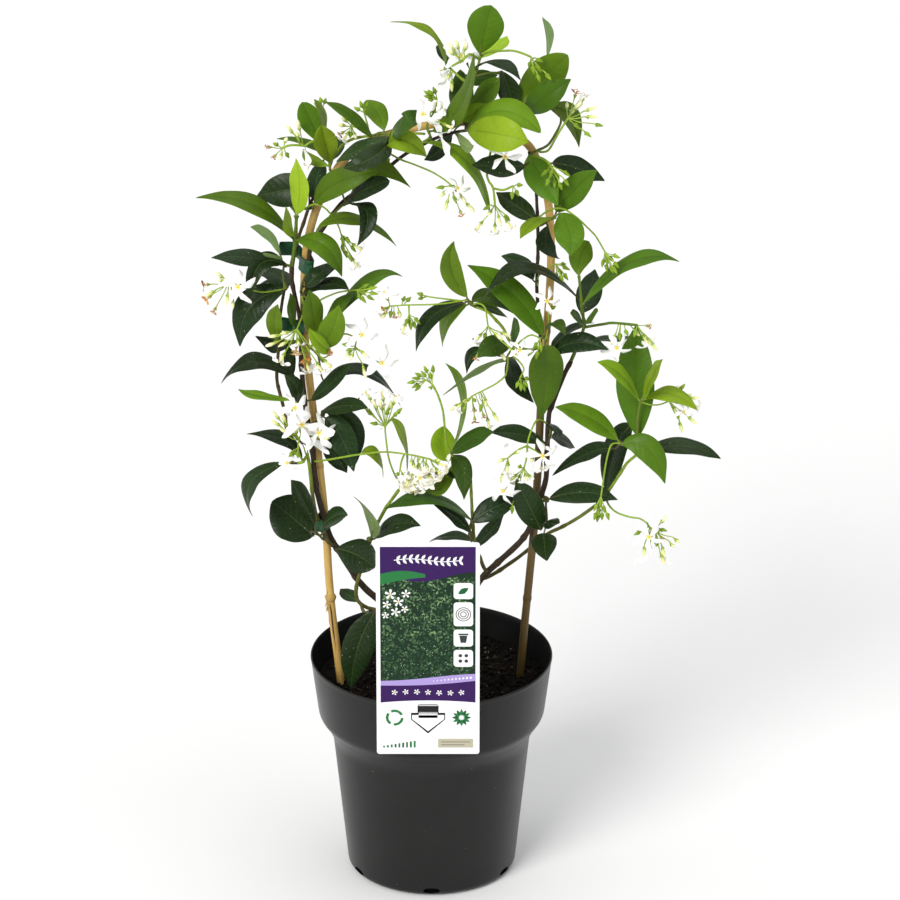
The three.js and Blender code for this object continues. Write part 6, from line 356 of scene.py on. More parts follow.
            ((-85.2,-23.8,410.4),(-71.5,-30.6,396.7),(-62,-36.4,368.6),(0.881,0.202,0.428),22.9,5,'e','d',[(-87.6,-20.8,411.5),(-85.2,-23.8,410.4),(-82.1,-25.2,408.8)]),
            ((-83.7,-19.5,413.9),(-65.3,-16.8,398.8),(-60.8,-14.1,366),(0.874,0.204,0.441),21.2,5,'e','d',[(-86.9,-21,412.7),(-83.7,-19.5,413.9),(-78.9,-19,412.3)]),
            ((-88,-17.1,386.6),(-77.2,-4.7,369.1),(-68.7,9.9,347.8),(0.779,0.263,0.57),16.3,5,'e','d',[(-93.1,-19,404.6),(-91.5,-18.9,395.7),(-88,-17.1,386.6),(-85.7,-14.8,383.4)])],
        items=[]),
    'leaves_left_f': dict(
        twigs=[(1.25,0.95,'t',[(-99.6,-22.3,376.7),(-101.5,-24.6,375.7),(-103.5,-27,373.2),(-107.3,-26,372)]),
            (0.85,0.7,'p',[(-103.1,-26.6,373.7),(-105.2,-30.6,379.3),(-106.7,-31.8,386.2),(-106.4,-32.3,393.4),(-104.4,-33,400.3)])],
        leaves=[((-104.1,-25.1,375.1),(-119.3,-22.4,391.5),(-149.1,-19.7,394.7),(-0.196,-0.963,-0.186),19.5,5,'e','d',[(-103.1,-26.6,373.7),(-104.1,-25.1,375.1),(-105.9,-24.5,379.5)]),
            ((-118.6,-27.5,372.7),(-146.2,-30.2,355.4),(-144.1,-32.9,327.5),(0.444,-0.884,-0.145),21.9,5,'e','d',[(-107.3,-26,372),(-112,-26.7,371.9),(-118.6,-27.5,372.7),(-126.4,-28,370.1)])],
        items=[('o',(-104.4,-33,400.3),(-104.9,-33.9,406.9),(-103.2,-40.9,411.5),(0.2,-0.819,0.537),16.3),
            ('o',(-104.4,-33,400.3),(-91.9,-29,400.7),(-89.8,-37,402.9),(0.247,-0.935,0.255),15.5),
            ('o',(-104.4,-33,400.3),(-110.2,-43.9,425.3),(-108.3,-50.5,430.2),(0.224,-0.783,0.58),13.9),
            ('t',(-105.7,-32.6,396),(-108,-30.8,399.5),(-108.3,-32,406)),
            ('t',(-105.7,-32.6,396),(-121.1,-36.5,408.8),(-128.1,-37.3,415.2)),
            ('t',(-105.7,-32.6,396),(-121.5,-35.6,414.1),(-127.2,-36.2,421.7)),
            ('t',(-105.7,-32.6,396),(-114,-36.1,402.1),(-121.8,-37.4,407.4)),
            ('t',(-105.7,-32.6,396),(-116.2,-31.3,408.8),(-120.2,-32.2,417.4)),
            ('b',(-106.6,-31.9,388.5),(-109.6,-30.8,384.4),(-111.1,-31.7,380.6)),
            ('b',(-106.7,-31.8,387),(-107.4,-35.4,385.1),(-106.9,-36.3,380.8)),
            ('b',(-106.6,-31.9,388.5),(-111.3,-32.3,384.7),(-114.3,-33.2,380.3)),
            ('o',(-107.3,-26,372),(-111.6,-23.1,371.9),(-116,-30.1,373.8),(-0.524,-0.824,0.214),10.6),
            ('t',(-105.7,-32.6,396),(-103.1,-30.3,394),(-98.1,-31.5,391.9)),
            ('t',(-104.8,-32.9,398.9),(-90.4,-36.9,399.2),(-81,-37.7,398.8)),
            ('b',(-106.1,-32.4,394.5),(-115.6,-33.4,398.2),(-118,-34.3,399.1)),
            ('p',(-104.4,-33,400.3),(-102.7,-35.1,401.2),(-78.5,-37.1,410.8),7.3),
            ('p',(-105.7,-32.6,396),(-102.9,-29.3,393.5),(-81.2,-31.3,390),5.7),
            ('p',(-106.5,-32.2,391.6),(-102.8,-33.4,391.8),(-98,-35.4,386.5),6.5)]),
    'leaves_left_low': dict(
        twigs=[(1.25,0.95,'t',[(-85.6,-23,303.9),(-87.8,-25.4,304.4),(-90.2,-27,308),(-93.4,-28,311.1)]),
            (0.95,0.95,'t',[(-90.2,-27,308),(-86.1,-28,312.9)])],
        leaves=[((-95.7,-7.6,299.4),(-112.8,-2.1,313),(-129.9,2.3,326.2),(-0.621,-0.49,-0.611),40,5,'r','d',[(-93.4,-28,311.1),(-97.6,-22,310.2),(-97.9,-13,303.5),(-95.7,-7.6,299.4),(-99.1,-6.4,302.1)]),
            ((-94,-31.5,318.9),(-104,-40,346.4),(-112.4,-48.4,366.8),(-0.521,-0.723,-0.454),19.4,5,'e','d',[(-93.4,-28,311.1),(-93.5,-29.6,313.8),(-94,-31.5,318.9),(-96.2,-33.2,325)]),
            ((-88.3,-33.5,318.9),(-77.3,-50.2,336),(-66.4,-66.9,344.2),(-0.084,0.566,0.82),15.1,5,'e','d',[(-86.1,-28,312.9),(-87.5,-30.3,314.8),(-88.3,-33.5,318.9),(-86.1,-36.8,323)])],
        items=[]),
    'leaves_low_inner': dict(
        twigs=[(1.25,0.95,'t',[(-49,-13,298.5),(-50.1,-15.8,299.4),(-50.6,-18,301.3)])],
        leaves=[((-44.9,-22.1,304),(-29.2,-33,321.3),(-8.1,-44,324.4),(0.137,0.789,0.599),19.4,5,'e','d',[(-50.6,-18,301.3),(-48,-19.8,301.7),(-44.9,-22.1,304),(-42.2,-24.3,308.6)]),
            ((-48.9,-22.9,305.3),(-48.5,-37.3,329.4),(-62.6,-51.7,354.2),(0.648,-0.722,-0.243),19.4,5,'e','u',[(-50.6,-18,301.3),(-49.9,-20.2,302.4),(-48.9,-22.9,305.3),(-47.7,-25.8,310.1)]),
            ((-77.3,-29.2,297.4),(-60.8,-44.4,298.9),(-45.2,-59.6,294.3),(0.437,0.377,0.816),29.4,5,'o','d',[(-50.6,-18,301.3),(-58,-19,292.8),(-69.3,-24,297.8),(-77.3,-29.2,297.4),(-73.9,-32.2,298.2)])],
        items=[]),
    'leaves_low_label': dict(
        twigs=[(1.25,0.95,'t',[(-57.1,-10.3,240.1),(-57.4,-13.1,238.6),(-54.9,-16.7,235.4),(-48.6,-18,234.9)])],
        leaves=[((-60.2,-7,239.8),(-68.7,5.4,240.4),(-75.4,14.2,241.8),(-0.783,-0.53,-0.327),13,5,'e','d',[(-55.8,-15.3,236.6),(-57.6,-11.9,237.6),(-60.2,-7,239.8),(-62.1,-4.2,239.8)]),
            ((-46.1,-20.6,237.9),(-60.2,-25.1,206.6),(-66.1,-29.6,171.4),(0.956,-0.109,-0.273),26.9,5,'e','d',[(-48.6,-18,234.9),(-46.1,-20.6,237.9),(-49.6,-21.5,232)])],
        items=[]),
    'shoot_low_centre': dict(
        twigs=[(1.25,0.95,'t',[(35,-12.7,302.5),(33.4,-15.2,303),(31.5,-18.2,307.5),(31.6,-19,313.3)])],
        leaves=[((32.4,-20.5,319.3),(-0.8,-35.1,345.2),(-38.9,-33.7,334),(0.17,-0.984,-0.058),27,5,'e','k',[(31.6,-19,313.3),(32.2,-19.5,315.5),(32.4,-20.5,319.3),(26.1,-24.7,327.5)]),
            ((32.4,-23.1,308.9),(19.4,-23.8,324.3),(1.6,-38,341.2),(0.005,-0.91,-0.416),19.4,5,'e','d',[(32.3,-17,305.6),(32.7,-20.3,306.4),(32.4,-23.1,308.9),(30.1,-22.2,311.9)]),
            ((33.3,-8.9,295.5),(15.3,0.6,295.7),(-1.9,6.2,287.8),(-0.392,-0.92,-0.016),19.4,5,'e','d',[(32.3,-17,305.6),(33.7,-13.5,299.5),(33.3,-8.9,295.5),(29.6,-6.7,296.2)]),
            ((33.1,-24.5,319.3),(51,-21.5,330.4),(72.1,-13.3,334.8),(-0.439,0.574,0.691),19.4,5,'e','d',[(31.6,-19,313.3),(31.8,-21.8,315.3),(33.1,-24.5,319.3),(36.4,-24.3,322.1)]),
            ((35.7,-7,288.3),(47.3,8.1,296),(59.6,16.4,308.4),(-0.623,0.767,-0.153),19.4,5,'e','d',[(32.3,-17,305.6),(33.1,-13.5,295.3),(35.7,-7,288.3),(38,-3.4,289.5)])],
        items=[]),
    'leaves_low_centre': dict(
        twigs=[(1.25,0.95,'t',[(32.3,-15,350.6),(32.3,-15,351.3),(30.2,-16.7,356.8),(26.7,-19.5,362),(23,-21.1,367.5),(15.3,-23,378.6)]),
            (0.95,0.85,'t',[(25.5,-20,363.8),(22.3,-24,368.9),(19.1,-26.5,374.8),(15.5,-27.3,381.1),(13.1,-27.9,387.8),(11.9,-28.8,394.9),(10.1,-31.6,416.3),(8.9,-32.5,423.4),(7,-33.4,430.3),(4.6,-34.1,437.1),(0.9,-34,443.3)]),
            (0.85,0.7,'p',[(4.9,-34,436.3),(1.3,-34,443.7),(-5.5,-33,448)])],
        leaves=[((12.9,-19.5,371),(9.6,-12.7,382.2),(10.4,-6,396),(-0.887,-0.436,0.149),24,5,'r','l',[(17,-22.6,376.2),(15.2,-21.4,372.6),(12.9,-19.5,371),(11.9,-18.1,373)]),
            ((16.9,-30.5,382.7),(33,-38.1,398.1),(50.5,-49.2,408.9),(0.004,0.816,0.578),19.4,5,'e','k',[(15.7,-27.2,380.8),(16.9,-30.5,382.7),(20,-31.7,386.2)]),
            ((16.9,-25.1,378.6),(25.8,-33.2,369),(26.6,-35.3,343.5),(0.8,0.599,0.047),19.4,5,'e','k',[(16.5,-27.1,379.4),(16.9,-25.1,378.6),(19.3,-27.2,378)]),
            ((20.1,-26,372.9),(8,-29.6,351.6),(-5.6,-38.7,353.8),(0.577,-0.771,-0.27),14.4,5,'e','m',[(20.1,-25.7,373),(20.1,-26,372.9),(17.8,-26.3,366.8)]),
            ((16.1,-25.9,381.6),(25.8,-15.5,422.7),(11.3,-16.2,455),(-0.228,-0.967,0.112),27,5,'e','l',[(15.1,-27.4,382.2),(16.1,-25.9,381.6),(20,-22.9,390.5)]),
            ((28.2,-31,361),(17.7,-28.7,362.7),(7.2,-33,368.9),(0.058,-0.994,-0.094),13,5,'e','d',[(30.7,-16.3,355.4),(30.7,-24.3,357.3),(28.2,-31,361),(26.1,-30,361)])],
        items=[('b',(-5.5,-33,448),(-9.2,-34.3,448.9),(-15.1,-35.1,449.8)),
            ('b',(-4.1,-33.2,447.2),(-13.1,-36.1,446.9),(-19,-36.7,446.1)),
            ('b',(-4.1,-33.2,447.2),(-10,-32.4,443.4),(-15.1,-33.1,440.3)),
            ('b',(-4.1,-33.2,447.2),(-8.5,-32.8,442.1),(-12.7,-33.5,437.9)),
            ('b',(-5.5,-33,448),(-7.9,-31.6,450.1),(-12.7,-32.5,453)),
            ('b',(-0.1,-33.8,444.5),(0.2,-33.3,448.7),(-0.7,-34.2,454.5)),
            ('b',(-0.1,-33.8,444.5),(-3,-34.9,454.8),(-5.4,-35.5,460.2)),
            ('b',(1.3,-34,443.6),(1.7,-35.9,455.5),(1.7,-36.5,461.5)),
            ('b',(-0.1,-33.8,444.5),(-4.3,-38,452.4),(-7.8,-38.7,457.2)),
            ('b',(0.9,-34,443.3),(0.3,-35.5,442),(-0.7,-36.4,440.8))]),
    'shoot_centre': dict(
        twigs=[(1.25,0.95,'t',[(36,-20,504.7),(35.3,-20,505),(32,-21.2,508.2),(28.8,-23,511.8)]),
            (0.85,0.7,'p',[(28.8,-23,511.8),(13.9,-27.4,511),(6.3,-29.2,510.8),(-1.4,-30.7,510.9),(-16.8,-33,511.5),(-32.3,-34,511)]),
            (0.85,0.7,'p',[(-17.3,-33,511.5),(-17.3,-35,504.6)]),
            (0.85,0.7,'p',[(24.5,-24.3,511.6),(2.8,-29.4,516.4),(-4.6,-30,518)]),
            (0.85,0.7,'p',[(33.1,-20.8,507.2),(38.6,-25.4,509.8),(43.2,-29.9,508),(44.5,-31.5,500.7),(45.5,-32,493.2)])],
        leaves=[((28.8,-24.5,515),(16.1,-28.1,541),(18.5,-31.7,565.2),(-0.974,-0.081,-0.213),19.6,20,'e','m',[(28.8,-23,511.8),(28.8,-24.5,515),(25.1,-25.2,520.3)]),
            ((27.2,-24.5,509.9),(-0.6,-28.1,498.5),(-11.8,-31.7,470.7),(0.365,-0.91,-0.197),22.4,5,'e','d',[(28.8,-23,511.8),(27.2,-24.5,509.9),(20.3,-25.2,508.9)]),
            ((28.9,-18.5,505.8),(12.1,-10.7,489.9),(9.7,-2.9,462.7),(0.277,-0.858,-0.433),19.4,5,'e','l',[(30.9,-21.8,509.5),(30.3,-20.3,507.5),(28.9,-18.5,505.8),(24.4,-16.9,503.5)]),
            ((32.8,-19.7,508.8),(48.8,-13.2,509.7),(68.9,-11.2,493.5),(-0.035,0.907,0.42),19.4,5,'e','k',[(31.9,-21.3,508.4),(32.8,-19.7,508.8),(35.7,-18,510.4)]),
            ((34.4,-16.2,504.1),(48.9,-6.6,497.7),(61.9,2.3,486.5),(-0.339,0.862,0.377),14.4,5,'e','k',[(33.1,-20.8,507.2),(33.3,-18.8,505.4),(34.4,-16.2,504.1),(37.5,-14.2,503.2)])],
        items=[('w',(-32.3,-34,511),(-33,-34.2,510.6),(-35.5,-34.8,508.8),4.9),
            ('s',(-32.3,-34,511),(-35.7,-35.8,510.2),(-41.8,-37.9,507.4),(-0.869,-0.299,-0.393),7.3),
            ('s',(-32.3,-34,511),(-33.8,-36.5,517),(-37,-38.5,524.7),(-0.369,-0.237,0.899),7.3),
            ('p',(-30.8,-33.9,511.1),(-31.5,-37.8,515),(-26.7,-39.8,526),4.9),
            ('t',(-32.3,-34,511),(-35.6,-34.7,506),(-39.5,-35.9,500.7)),
            ('w',(-29.3,-33.9,511.1),(-29.2,-35.9,506.7),(-29.2,-37.3,503.8),4.1),
            ('b',(-30.8,-33.9,511.1),(-31.4,-31.8,505.5),(-32.4,-32.7,500.3)),
            ('b',(-23.2,-33.6,511.4),(-21.9,-31.1,514.3),(-20.4,-32,518.7)),
            ('b',(-21.7,-33.4,511.4),(-19,-31.4,514.1),(-15.7,-32.3,518)),
            ('t',(-26.3,-33.7,511.3),(-25.4,-31.9,506.3),(-24.4,-33.1,500.4)),
            ('b',(-17.3,-35,504.6),(-18.5,-38.7,501.4),(-20.4,-39.6,496.2)),
            ('b',(-17.3,-35,504.6),(-16.1,-35.1,497.2),(-15.7,-35.8,491.2)),
            ('b',(-17.3,-35,504.6),(-14,-32.8,496.7),(-11.8,-33.5,491.2)),
            ('b',(-17.3,-35,504.6),(-12.5,-36.7,501.5),(-8.5,-37.6,497.1)),
            ('s',(-17.3,-35,504.6),(-20,-38.3,498.2),(-22.8,-40,490.3),(-0.331,-0.207,-0.921),7.3),
            ('b',(-17.3,-35,504.6),(-17.3,-32.6,499.2),(-17.3,-33.5,495.5)),
            ('b',(-4.6,-30,518),(-6.6,-33.5,520.3),(-10.9,-34.4,522.2)),
            ('b',(-3.1,-29.9,517.6),(-6.3,-28.9,516),(-10.1,-29.8,515.3)),
            ('s',(45.5,-32,493.2),(40.4,-34.9,487.8),(35.2,-36.7,481.3),(-0.615,-0.211,-0.759),7.3),
            ('w',(45.5,-32,493.2),(37.1,-31.2,468.4),(36.1,-31.1,465.4),4.1),
            ('t',(45.5,-32,493.2),(50.2,-43.5,492.1),(56.6,-44.7,486.2)),
            ('t',(45.5,-32,493.2),(54.6,-36.3,474.3),(59.1,-36.9,466)),
            ('t',(45.5,-32,493.2),(55.2,-29.7,486.8),(63.9,-30.7,483.2)),
            ('t',(45.5,-32,493.2),(62.5,-56.1,484),(69.2,-56.7,477.3)),
            ('b',(45.5,-32,493.2),(43.8,-30.1,486.1),(42.4,-31,480.8))]),
    'leaves_centre_b': dict(
        twigs=[(1.25,0.95,'t',[(67.5,-20.1,472.2),(66.4,-22.3,470.7),(64.4,-24.7,468),(61.7,-26,465)]),
            (0.85,0.7,'p',[(65.6,-23.3,469.6),(69.4,-26.1,475.3),(73.9,-28.4,480.7),(80.2,-29,484.3),(87.1,-29,481.7)]),
            (0.85,0.7,'p',[(62.7,-25.5,466.2),(69.7,-29.2,462.6),(74.3,-30.9,455.9),(71.3,-31,448.1)]),
            (0.85,0.7,'p',[(61.7,-26,465),(61.2,-27,457.1),(59.7,-28.2,449.4),(54,-29.8,444.1),(47.1,-30.7,440),(32.9,-31,432.5)])],
        leaves=[((62.5,-21,470.8),(48.6,-47.5,482.2),(37.5,-56.3,475.5),(0.333,-0.352,-0.875),18,5,'e','k',[(64.8,-24.3,468.5),(62.5,-21,470.8),(59.5,-27.7,474.5)]),
            ((62.4,-26,465.9),(65.9,-11.9,442),(83,-9.8,417.7),(0.547,0.695,0.467),19.4,5,'e','d',[(62.7,-25.5,466.2),(62.4,-26,465.9),(62.1,-22.2,461.1)]),
            ((44.1,-20.5,466.3),(32.1,-18.6,462),(28.9,-15.7,444.5),(0.389,-0.806,-0.446),13,5,'e','d',[(61.5,-26.4,462),(60.1,-24,463.4),(48.9,-22,464.3),(44.1,-20.5,466.3),(41,-20.2,466.5)]),
            ((66.5,-17.1,470.9),(67.4,-5,479.1),(66.7,4.6,486.5),(-0.558,0.486,-0.673),13,5,'e','k',[(64.8,-24.3,468.5),(65.6,-21.3,468.9),(66.5,-17.1,470.9),(66.8,-14.5,472.6)]),
            ((59.3,-24.2,460),(40.9,-30.6,454.8),(8.9,-34.6,434),(-0.115,-0.827,0.55),21.7,5,'e','u',[(61.7,-26,465),(60.9,-24.8,462.1),(59.3,-24.2,460),(56.7,-25.7,460.2)])],
        items=[('b',(87.1,-29,481.7),(84.8,-31.9,478.5),(81.5,-32.8,473.8)),
            ('b',(87.1,-29,481.7),(87.8,-33.2,477.6),(87.8,-34,471.7)),
            ('b',(87.1,-29,481.7),(81.1,-28.6,471.1),(77.6,-29.1,466.3)),
            ('b',(87.1,-29,481.7),(85,-35.9,472.5),(83.8,-36.5,466.6)),
            ('b',(87.1,-29,481.7),(87,-21.7,464.3),(86.5,-22.2,458.3)),
            ('o',(68,-25,473.2),(69.7,-50.5,479.3),(70.7,-58,483),(0.124,-0.889,0.441),9.8),
            ('b',(71.3,-31,448.1),(70,-30,444.2),(68.1,-30.9,439.4)),
            ('b',(71.3,-31,448.1),(72.1,-30.5,442.9),(72.1,-31.3,437)),
            ('b',(71.3,-31,448.1),(74.4,-27.4,443.5),(77.8,-28.3,439.2)),
            ('b',(71.9,-31,449.6),(75.3,-26.8,446.2),(80.1,-27.7,445)),
            ('b',(71.3,-31,448.1),(73.3,-28.4,441.7),(75.4,-29.2,436.1)),
            ('t',(34.3,-31,433.2),(30.4,-33.1,431.1),(24.9,-34.3,427.8)),
            ('t',(32.9,-31,432.5),(22.2,-34.4,426.8),(14.5,-35.4,421.3)),
            ('s',(32.9,-31,432.5),(25.7,-36.2,428.9),(20.1,-38.3,424.3),(-0.743,-0.279,-0.608),6.5),
            ('b',(32.9,-31,432.5),(27.6,-35.6,426.2),(25.7,-36.5,420.9)),
            ('t',(41.1,-31,436.9),(43.4,-31.4,431.2),(44.9,-32.6,423.6)),
            ('t',(39.7,-31.1,436.2),(49.6,-35.5,420.2),(54.6,-36.4,412.2)),
            ('s',(39.7,-31.1,436.2),(45.3,-30,413),(46.6,-31,404.7),(0.16,-0.118,-0.98),6.5),
            ('w',(32.9,-31,432.5),(34.9,-35.8,416.3),(35.3,-36.7,413.2),4.1),
            ('w',(32.9,-31,432.5),(34.2,-30.9,422.9),(34.5,-30.9,420.3),3.3),
            ('w',(35.6,-31,434),(41.6,-34.2,419.1),(42.5,-34.8,416.7),3.3),
            ('b',(38.4,-31.1,435.5),(40.7,-34.9,426.4),(39.3,-35.8,420.6)),
            ('b',(32.9,-31,432.5),(34.2,-35.1,431.6),(36.1,-36,429.4))]),
    'leaves_right_hoop': dict(
        twigs=[(1.25,0.95,'t',[(87.7,-6.5,472.9),(88.5,-9.5,473.6),(90.1,-15.4,477.1),(92,-22,477.2)]),
            (0.85,0.7,'p',[(92,-22,477.2),(93.9,-24.6,493.5),(94.1,-25.2,501.8),(93.3,-25,510.1)])],
        leaves=[((89.7,-16.2,478.3),(65.5,-15.1,513),(28.8,-17.6,539.6),(-0.512,-0.68,-0.524),26,5,'e','m',[(89.9,-14.7,476.7),(89.7,-16.2,478.3),(85.9,-15.7,485.9)]),
            ((91.1,-29.8,476),(92.1,-26.1,451.2),(88.4,-29.2,411.8),(0.966,0.256,-0.038),30,5,'e','n',[(92,-22,477.2),(91.4,-26.2,476.8),(91.1,-29.8,476),(91.7,-28.5,472.2)]),
            ((92.8,-20.3,483.4),(99.5,-35.7,498),(107.3,-45.6,490),(0.815,0.53,0.235),13,5,'e','k',[(90.3,-16.1,477.1),(91.4,-17.8,479.2),(92.8,-20.3,483.4),(94,-23.9,488.1)])],
        items=[('o',(93.3,-25,510.1),(91.3,-21.8,510.9),(92.4,-29.7,513.6),(0.132,-0.938,0.321),10.6),
            ('b',(93.9,-25.2,504),(95.9,-22.5,504.5),(99.7,-23.4,506.9))]),
    'leaves_right_mid': dict(
        twigs=[(1.25,0.95,'t',[(88,-7.3,463.9),(92.5,-14.2,465.7),(96.2,-18,466.1)])],
        leaves=[((97.1,-11.7,461),(116.9,-18.5,473.2),(142.3,-25.1,469.8),(0.089,0.74,0.666),19.4,5,'e','d',[(96.2,-18,466.1),(96.2,-14.7,462.5),(97.1,-11.7,461),(100.6,-13.1,464.7)]),
            ((97,-14.5,467.3),(113.5,7.9,474.8),(132.1,12.3,478.3),(-0.537,0.806,-0.248),19.4,5,'e','d',[(96.2,-18,466.1),(97,-14.5,467.3),(100.1,-8.6,469.1)])],
        items=[]),
    'leaves_right_low': dict(
        twigs=[(1.25,0.95,'t',[(94.7,-0.4,394.9),(96.4,-3.6,394.1),(96.9,-5.7,391.1),(96.2,-8,388.1)])],
        leaves=[((93,-8.7,381.3),(69.4,-13.7,392.2),(48.3,-20.6,396),(0.093,-0.894,-0.439),19.4,5,'e','d',[(96.2,-8,388.1),(95.2,-8.3,383.9),(93,-8.7,381.3),(88.1,-9.5,384.1)]),
            ((96.9,-10.3,399.6),(99.8,-24.8,402.1),(104.3,-39.4,400.4),(0.908,0.223,-0.354),13,5,'e','d',[(96.8,-5.3,391.7),(96.7,-7,394.8),(96.9,-10.3,399.6),(97.3,-13.2,400.4)]),
            ((98,0.5,382.7),(107.3,16.2,374.3),(117.6,29,361.8),(-0.271,0.683,0.679),15.1,5,'e','d',[(96.2,-8,388.1),(96.7,-4.5,385.1),(98,0.5,382.7),(99.8,3.9,381.4)])],
        items=[]),
    'leaves_right_low_b': dict(
        twigs=[(1.25,0.95,'t',[(88,-3,329.6),(91,-5.6,329.6),(93.4,-7,332)])],
        leaves=[((95.8,-8.5,332.7),(123.3,-12.8,340.8),(151.6,-16.6,335.4),(0.091,0.814,0.574),21.2,5,'e','d',[(93.4,-7,332),(95.8,-8.5,332.7),(101.2,-9.4,335.4)]),
            ((89.4,-15.5,308.2),(79.3,-24.9,334.5),(68.5,-32.4,360.7),(-0.898,-0.163,-0.409),23.7,5,'e','d',[(93.4,-7,332),(93.4,-8,327.1),(92.6,-12,315.6),(89.4,-15.5,308.2),(87.4,-17.5,313.5)]),
            ((93.4,-14.3,314.8),(97.9,-30.3,320.1),(104,-46.2,328),(0.678,0.462,0.571),13,5,'e','d',[(93.4,-7,332),(93.4,-9,321.4),(93.4,-14.3,314.8),(94.2,-17.5,315.7)]),
            ((91.8,-16.4,305.9),(91.5,-32.7,302.5),(93.7,-48.9,295.6),(0.994,0.026,0.105),21.2,5,'v','d',[(93.4,-7,332),(93.4,-8,327.1),(94.3,-11,315.1),(91.8,-16.4,305.9),(91.6,-19.7,305.5)])],
        items=[]),
    'shoot_right': dict(
        twigs=[(1.25,0.85,'t',[(165.9,-11,372.6),(166.4,-11.1,373.2),(167.1,-12.4,379.2),(166.4,-12.8,386.1),(166.7,-12,393.1),(166.8,-12,407.3),(169.1,-12,421.2)]),
            (0.95,0.95,'t',[(166.7,-11.7,376.1),(157.6,-16.6,382.9),(152.5,-18,386.2)]),
            (0.85,0.7,'p',[(152.5,-18,386.2),(145.9,-21,386.5),(143,-23.2,379.9),(141.4,-24.3,372.6),(140.2,-24.8,365.1),(137.5,-25,342.5)]),
            (0.85,0.7,'p',[(168.8,-12,419.7),(176.8,-13.1,417.5),(184.7,-10.7,416.8),(191.9,-7,418.3)])],
        leaves=[((167.4,-8.2,388.2),(165.4,2.6,434.4),(165.2,13.5,476.1),(-0.959,0.27,-0.09),33,5,'e','m',[(166.6,-12.4,389.6),(167.4,-8.2,388.2),(166.8,-6.1,397.8)]),
            ((167.4,-15.7,422.7),(151.4,-25.6,448.5),(132.6,-34.5,463.3),(-0.061,-0.884,-0.463),19.4,5,'e','l',[(169.1,-12,421.2),(167.4,-15.7,422.7),(164.4,-17.8,428.8)]),
            ((170.5,-17.4,426.1),(176.7,-33.9,449.2),(184.4,-50.3,472.2),(-0.056,0.805,0.59),19.4,5,'e','l',[(169.1,-12,421.2),(169.7,-14.3,422.7),(170.5,-17.4,426.1),(171.6,-20.7,430.7)]),
            ((172.2,-15,423.3),(193.5,-21.3,430.3),(214.4,-27.6,418.1),(0.307,0.899,0.311),19.4,5,'e','l',[(169.1,-12,421.2),(172.2,-15,423.3),(176.5,-16.3,426.2)]),
            ((150.8,-19.5,389.4),(126.3,-21.3,409.4),(99.7,-23.1,419.7),(-0.269,-0.792,-0.548),21.6,5,'e','m',[(152.5,-18,386.2),(150.8,-19.5,389.4),(146.1,-19.9,394.2)]),
            ((154,-20.7,386.4),(174.8,-27,383.8),(188.7,-33.3,356.7),(0.681,0.26,0.685),21.2,5,'e','n',[(153.8,-17.6,385.3),(154,-20.7,386.4),(158.7,-21.9,387.8)]),
            ((173.1,-10.9,377.9),(208.8,-8.2,378.5),(235.1,-5.5,366.8),(-0.039,0.967,0.252),23.4,5,'e','d',[(167.1,-12.4,379.1),(169.5,-11.7,378),(173.1,-10.9,377.9),(181,-10.3,379)]),
            ((162.7,-0.6,395.5),(148.9,13.3,364.9),(143.1,19.1,319.7),(0.67,-0.658,-0.344),24.6,5,'e','d',[(166.7,-12.1,392.6),(166.5,-9,392),(165,-4,394.3),(162.7,-0.6,395.5),(159.3,2.9,390.5)]),
            ((147.8,-17,380.5),(125.5,-8,372.2),(98,-13.7,355.3),(0.065,-0.965,-0.253),20.7,5,'e','d',[(152.5,-18,386.2),(150.6,-17.9,383),(147.8,-17,380.5),(143.7,-14,379.5)])],
        items=[('b',(137.5,-25,342.5),(134.3,-26.9,335.9),(131.9,-27.5,330.4)),
            ('b',(137.5,-25,342.5),(136.1,-25.6,331.3),(135.2,-26.1,325.3)),
            ('b',(137.5,-25,342.5),(139.7,-27.5,334.8),(140.8,-28.2,328.9)),
            ('b',(137.5,-25,342.5),(135.5,-23.1,324.8),(134.6,-23.5,318.9)),
            ('b',(137.5,-25,342.5),(138.5,-24.6,327.3),(138.6,-25.1,321.4)),
            ('b',(137.5,-25,342.5),(137.2,-26,338.2),(136.8,-26.9,332.8)),
            ('b',(137.5,-25,342.5),(133.8,-25.4,327.4),(132.1,-25.9,321.7)),
            ('b',(137.5,-25,342.5),(142.3,-28.3,328.7),(144.1,-28.7,323)),
            ('t',(191.9,-7,418.3),(201.7,-5.1,420.4),(210.4,-6.1,424)),
            ('t',(191.9,-7,418.3),(207.4,-8.8,421.4),(216.7,-9.6,422.8)),
            ('o',(191.9,-7,418.3),(200.4,-3.5,407.2),(204,-10.6,410.2),(0.431,-0.834,0.345),9),
            ('t',(191.9,-7,418.3),(194.8,-4.8,412.6),(197.8,-6.1,408.3)),
            ('b',(191.9,-7,418.3),(198.4,-5.1,406.8),(200.4,-5.8,401.2)),
            ('t',(191.9,-7,418.3),(200.8,-6.3,399.5),(202.9,-7.1,390.3)),
            ('t',(191.9,-7,418.3),(207.5,-9.6,405.8),(214.7,-10.6,399.7)),
            ('t',(191.9,-7,418.3),(195.1,-7.9,424.2),(198.8,-9.2,432.2)),
            ('b',(191.9,-7,418.3),(201,-5.7,428),(204.6,-6.2,432.8)),
            ('s',(191.9,-7,418.3),(207.8,-9.6,416.1),(216,-10.9,414.7),(0.974,-0.158,-0.165),5.7)]),
    'flowers_right_low': dict(
        twigs=[(0.95,0.75,'t',[(141.2,-5.6,333.9),(144.6,-13.7,329.3),(149.5,-15.8,324.8),(155.9,-17.2,322.3),(162.7,-18.1,320.6),(169.6,-18,319.4),(175.4,-18,315.6)]),
            (0.95,0.75,'t',[(175.4,-18,315.6),(177.7,-18,311.3),(182,-18,309.3)])],
        leaves=[],
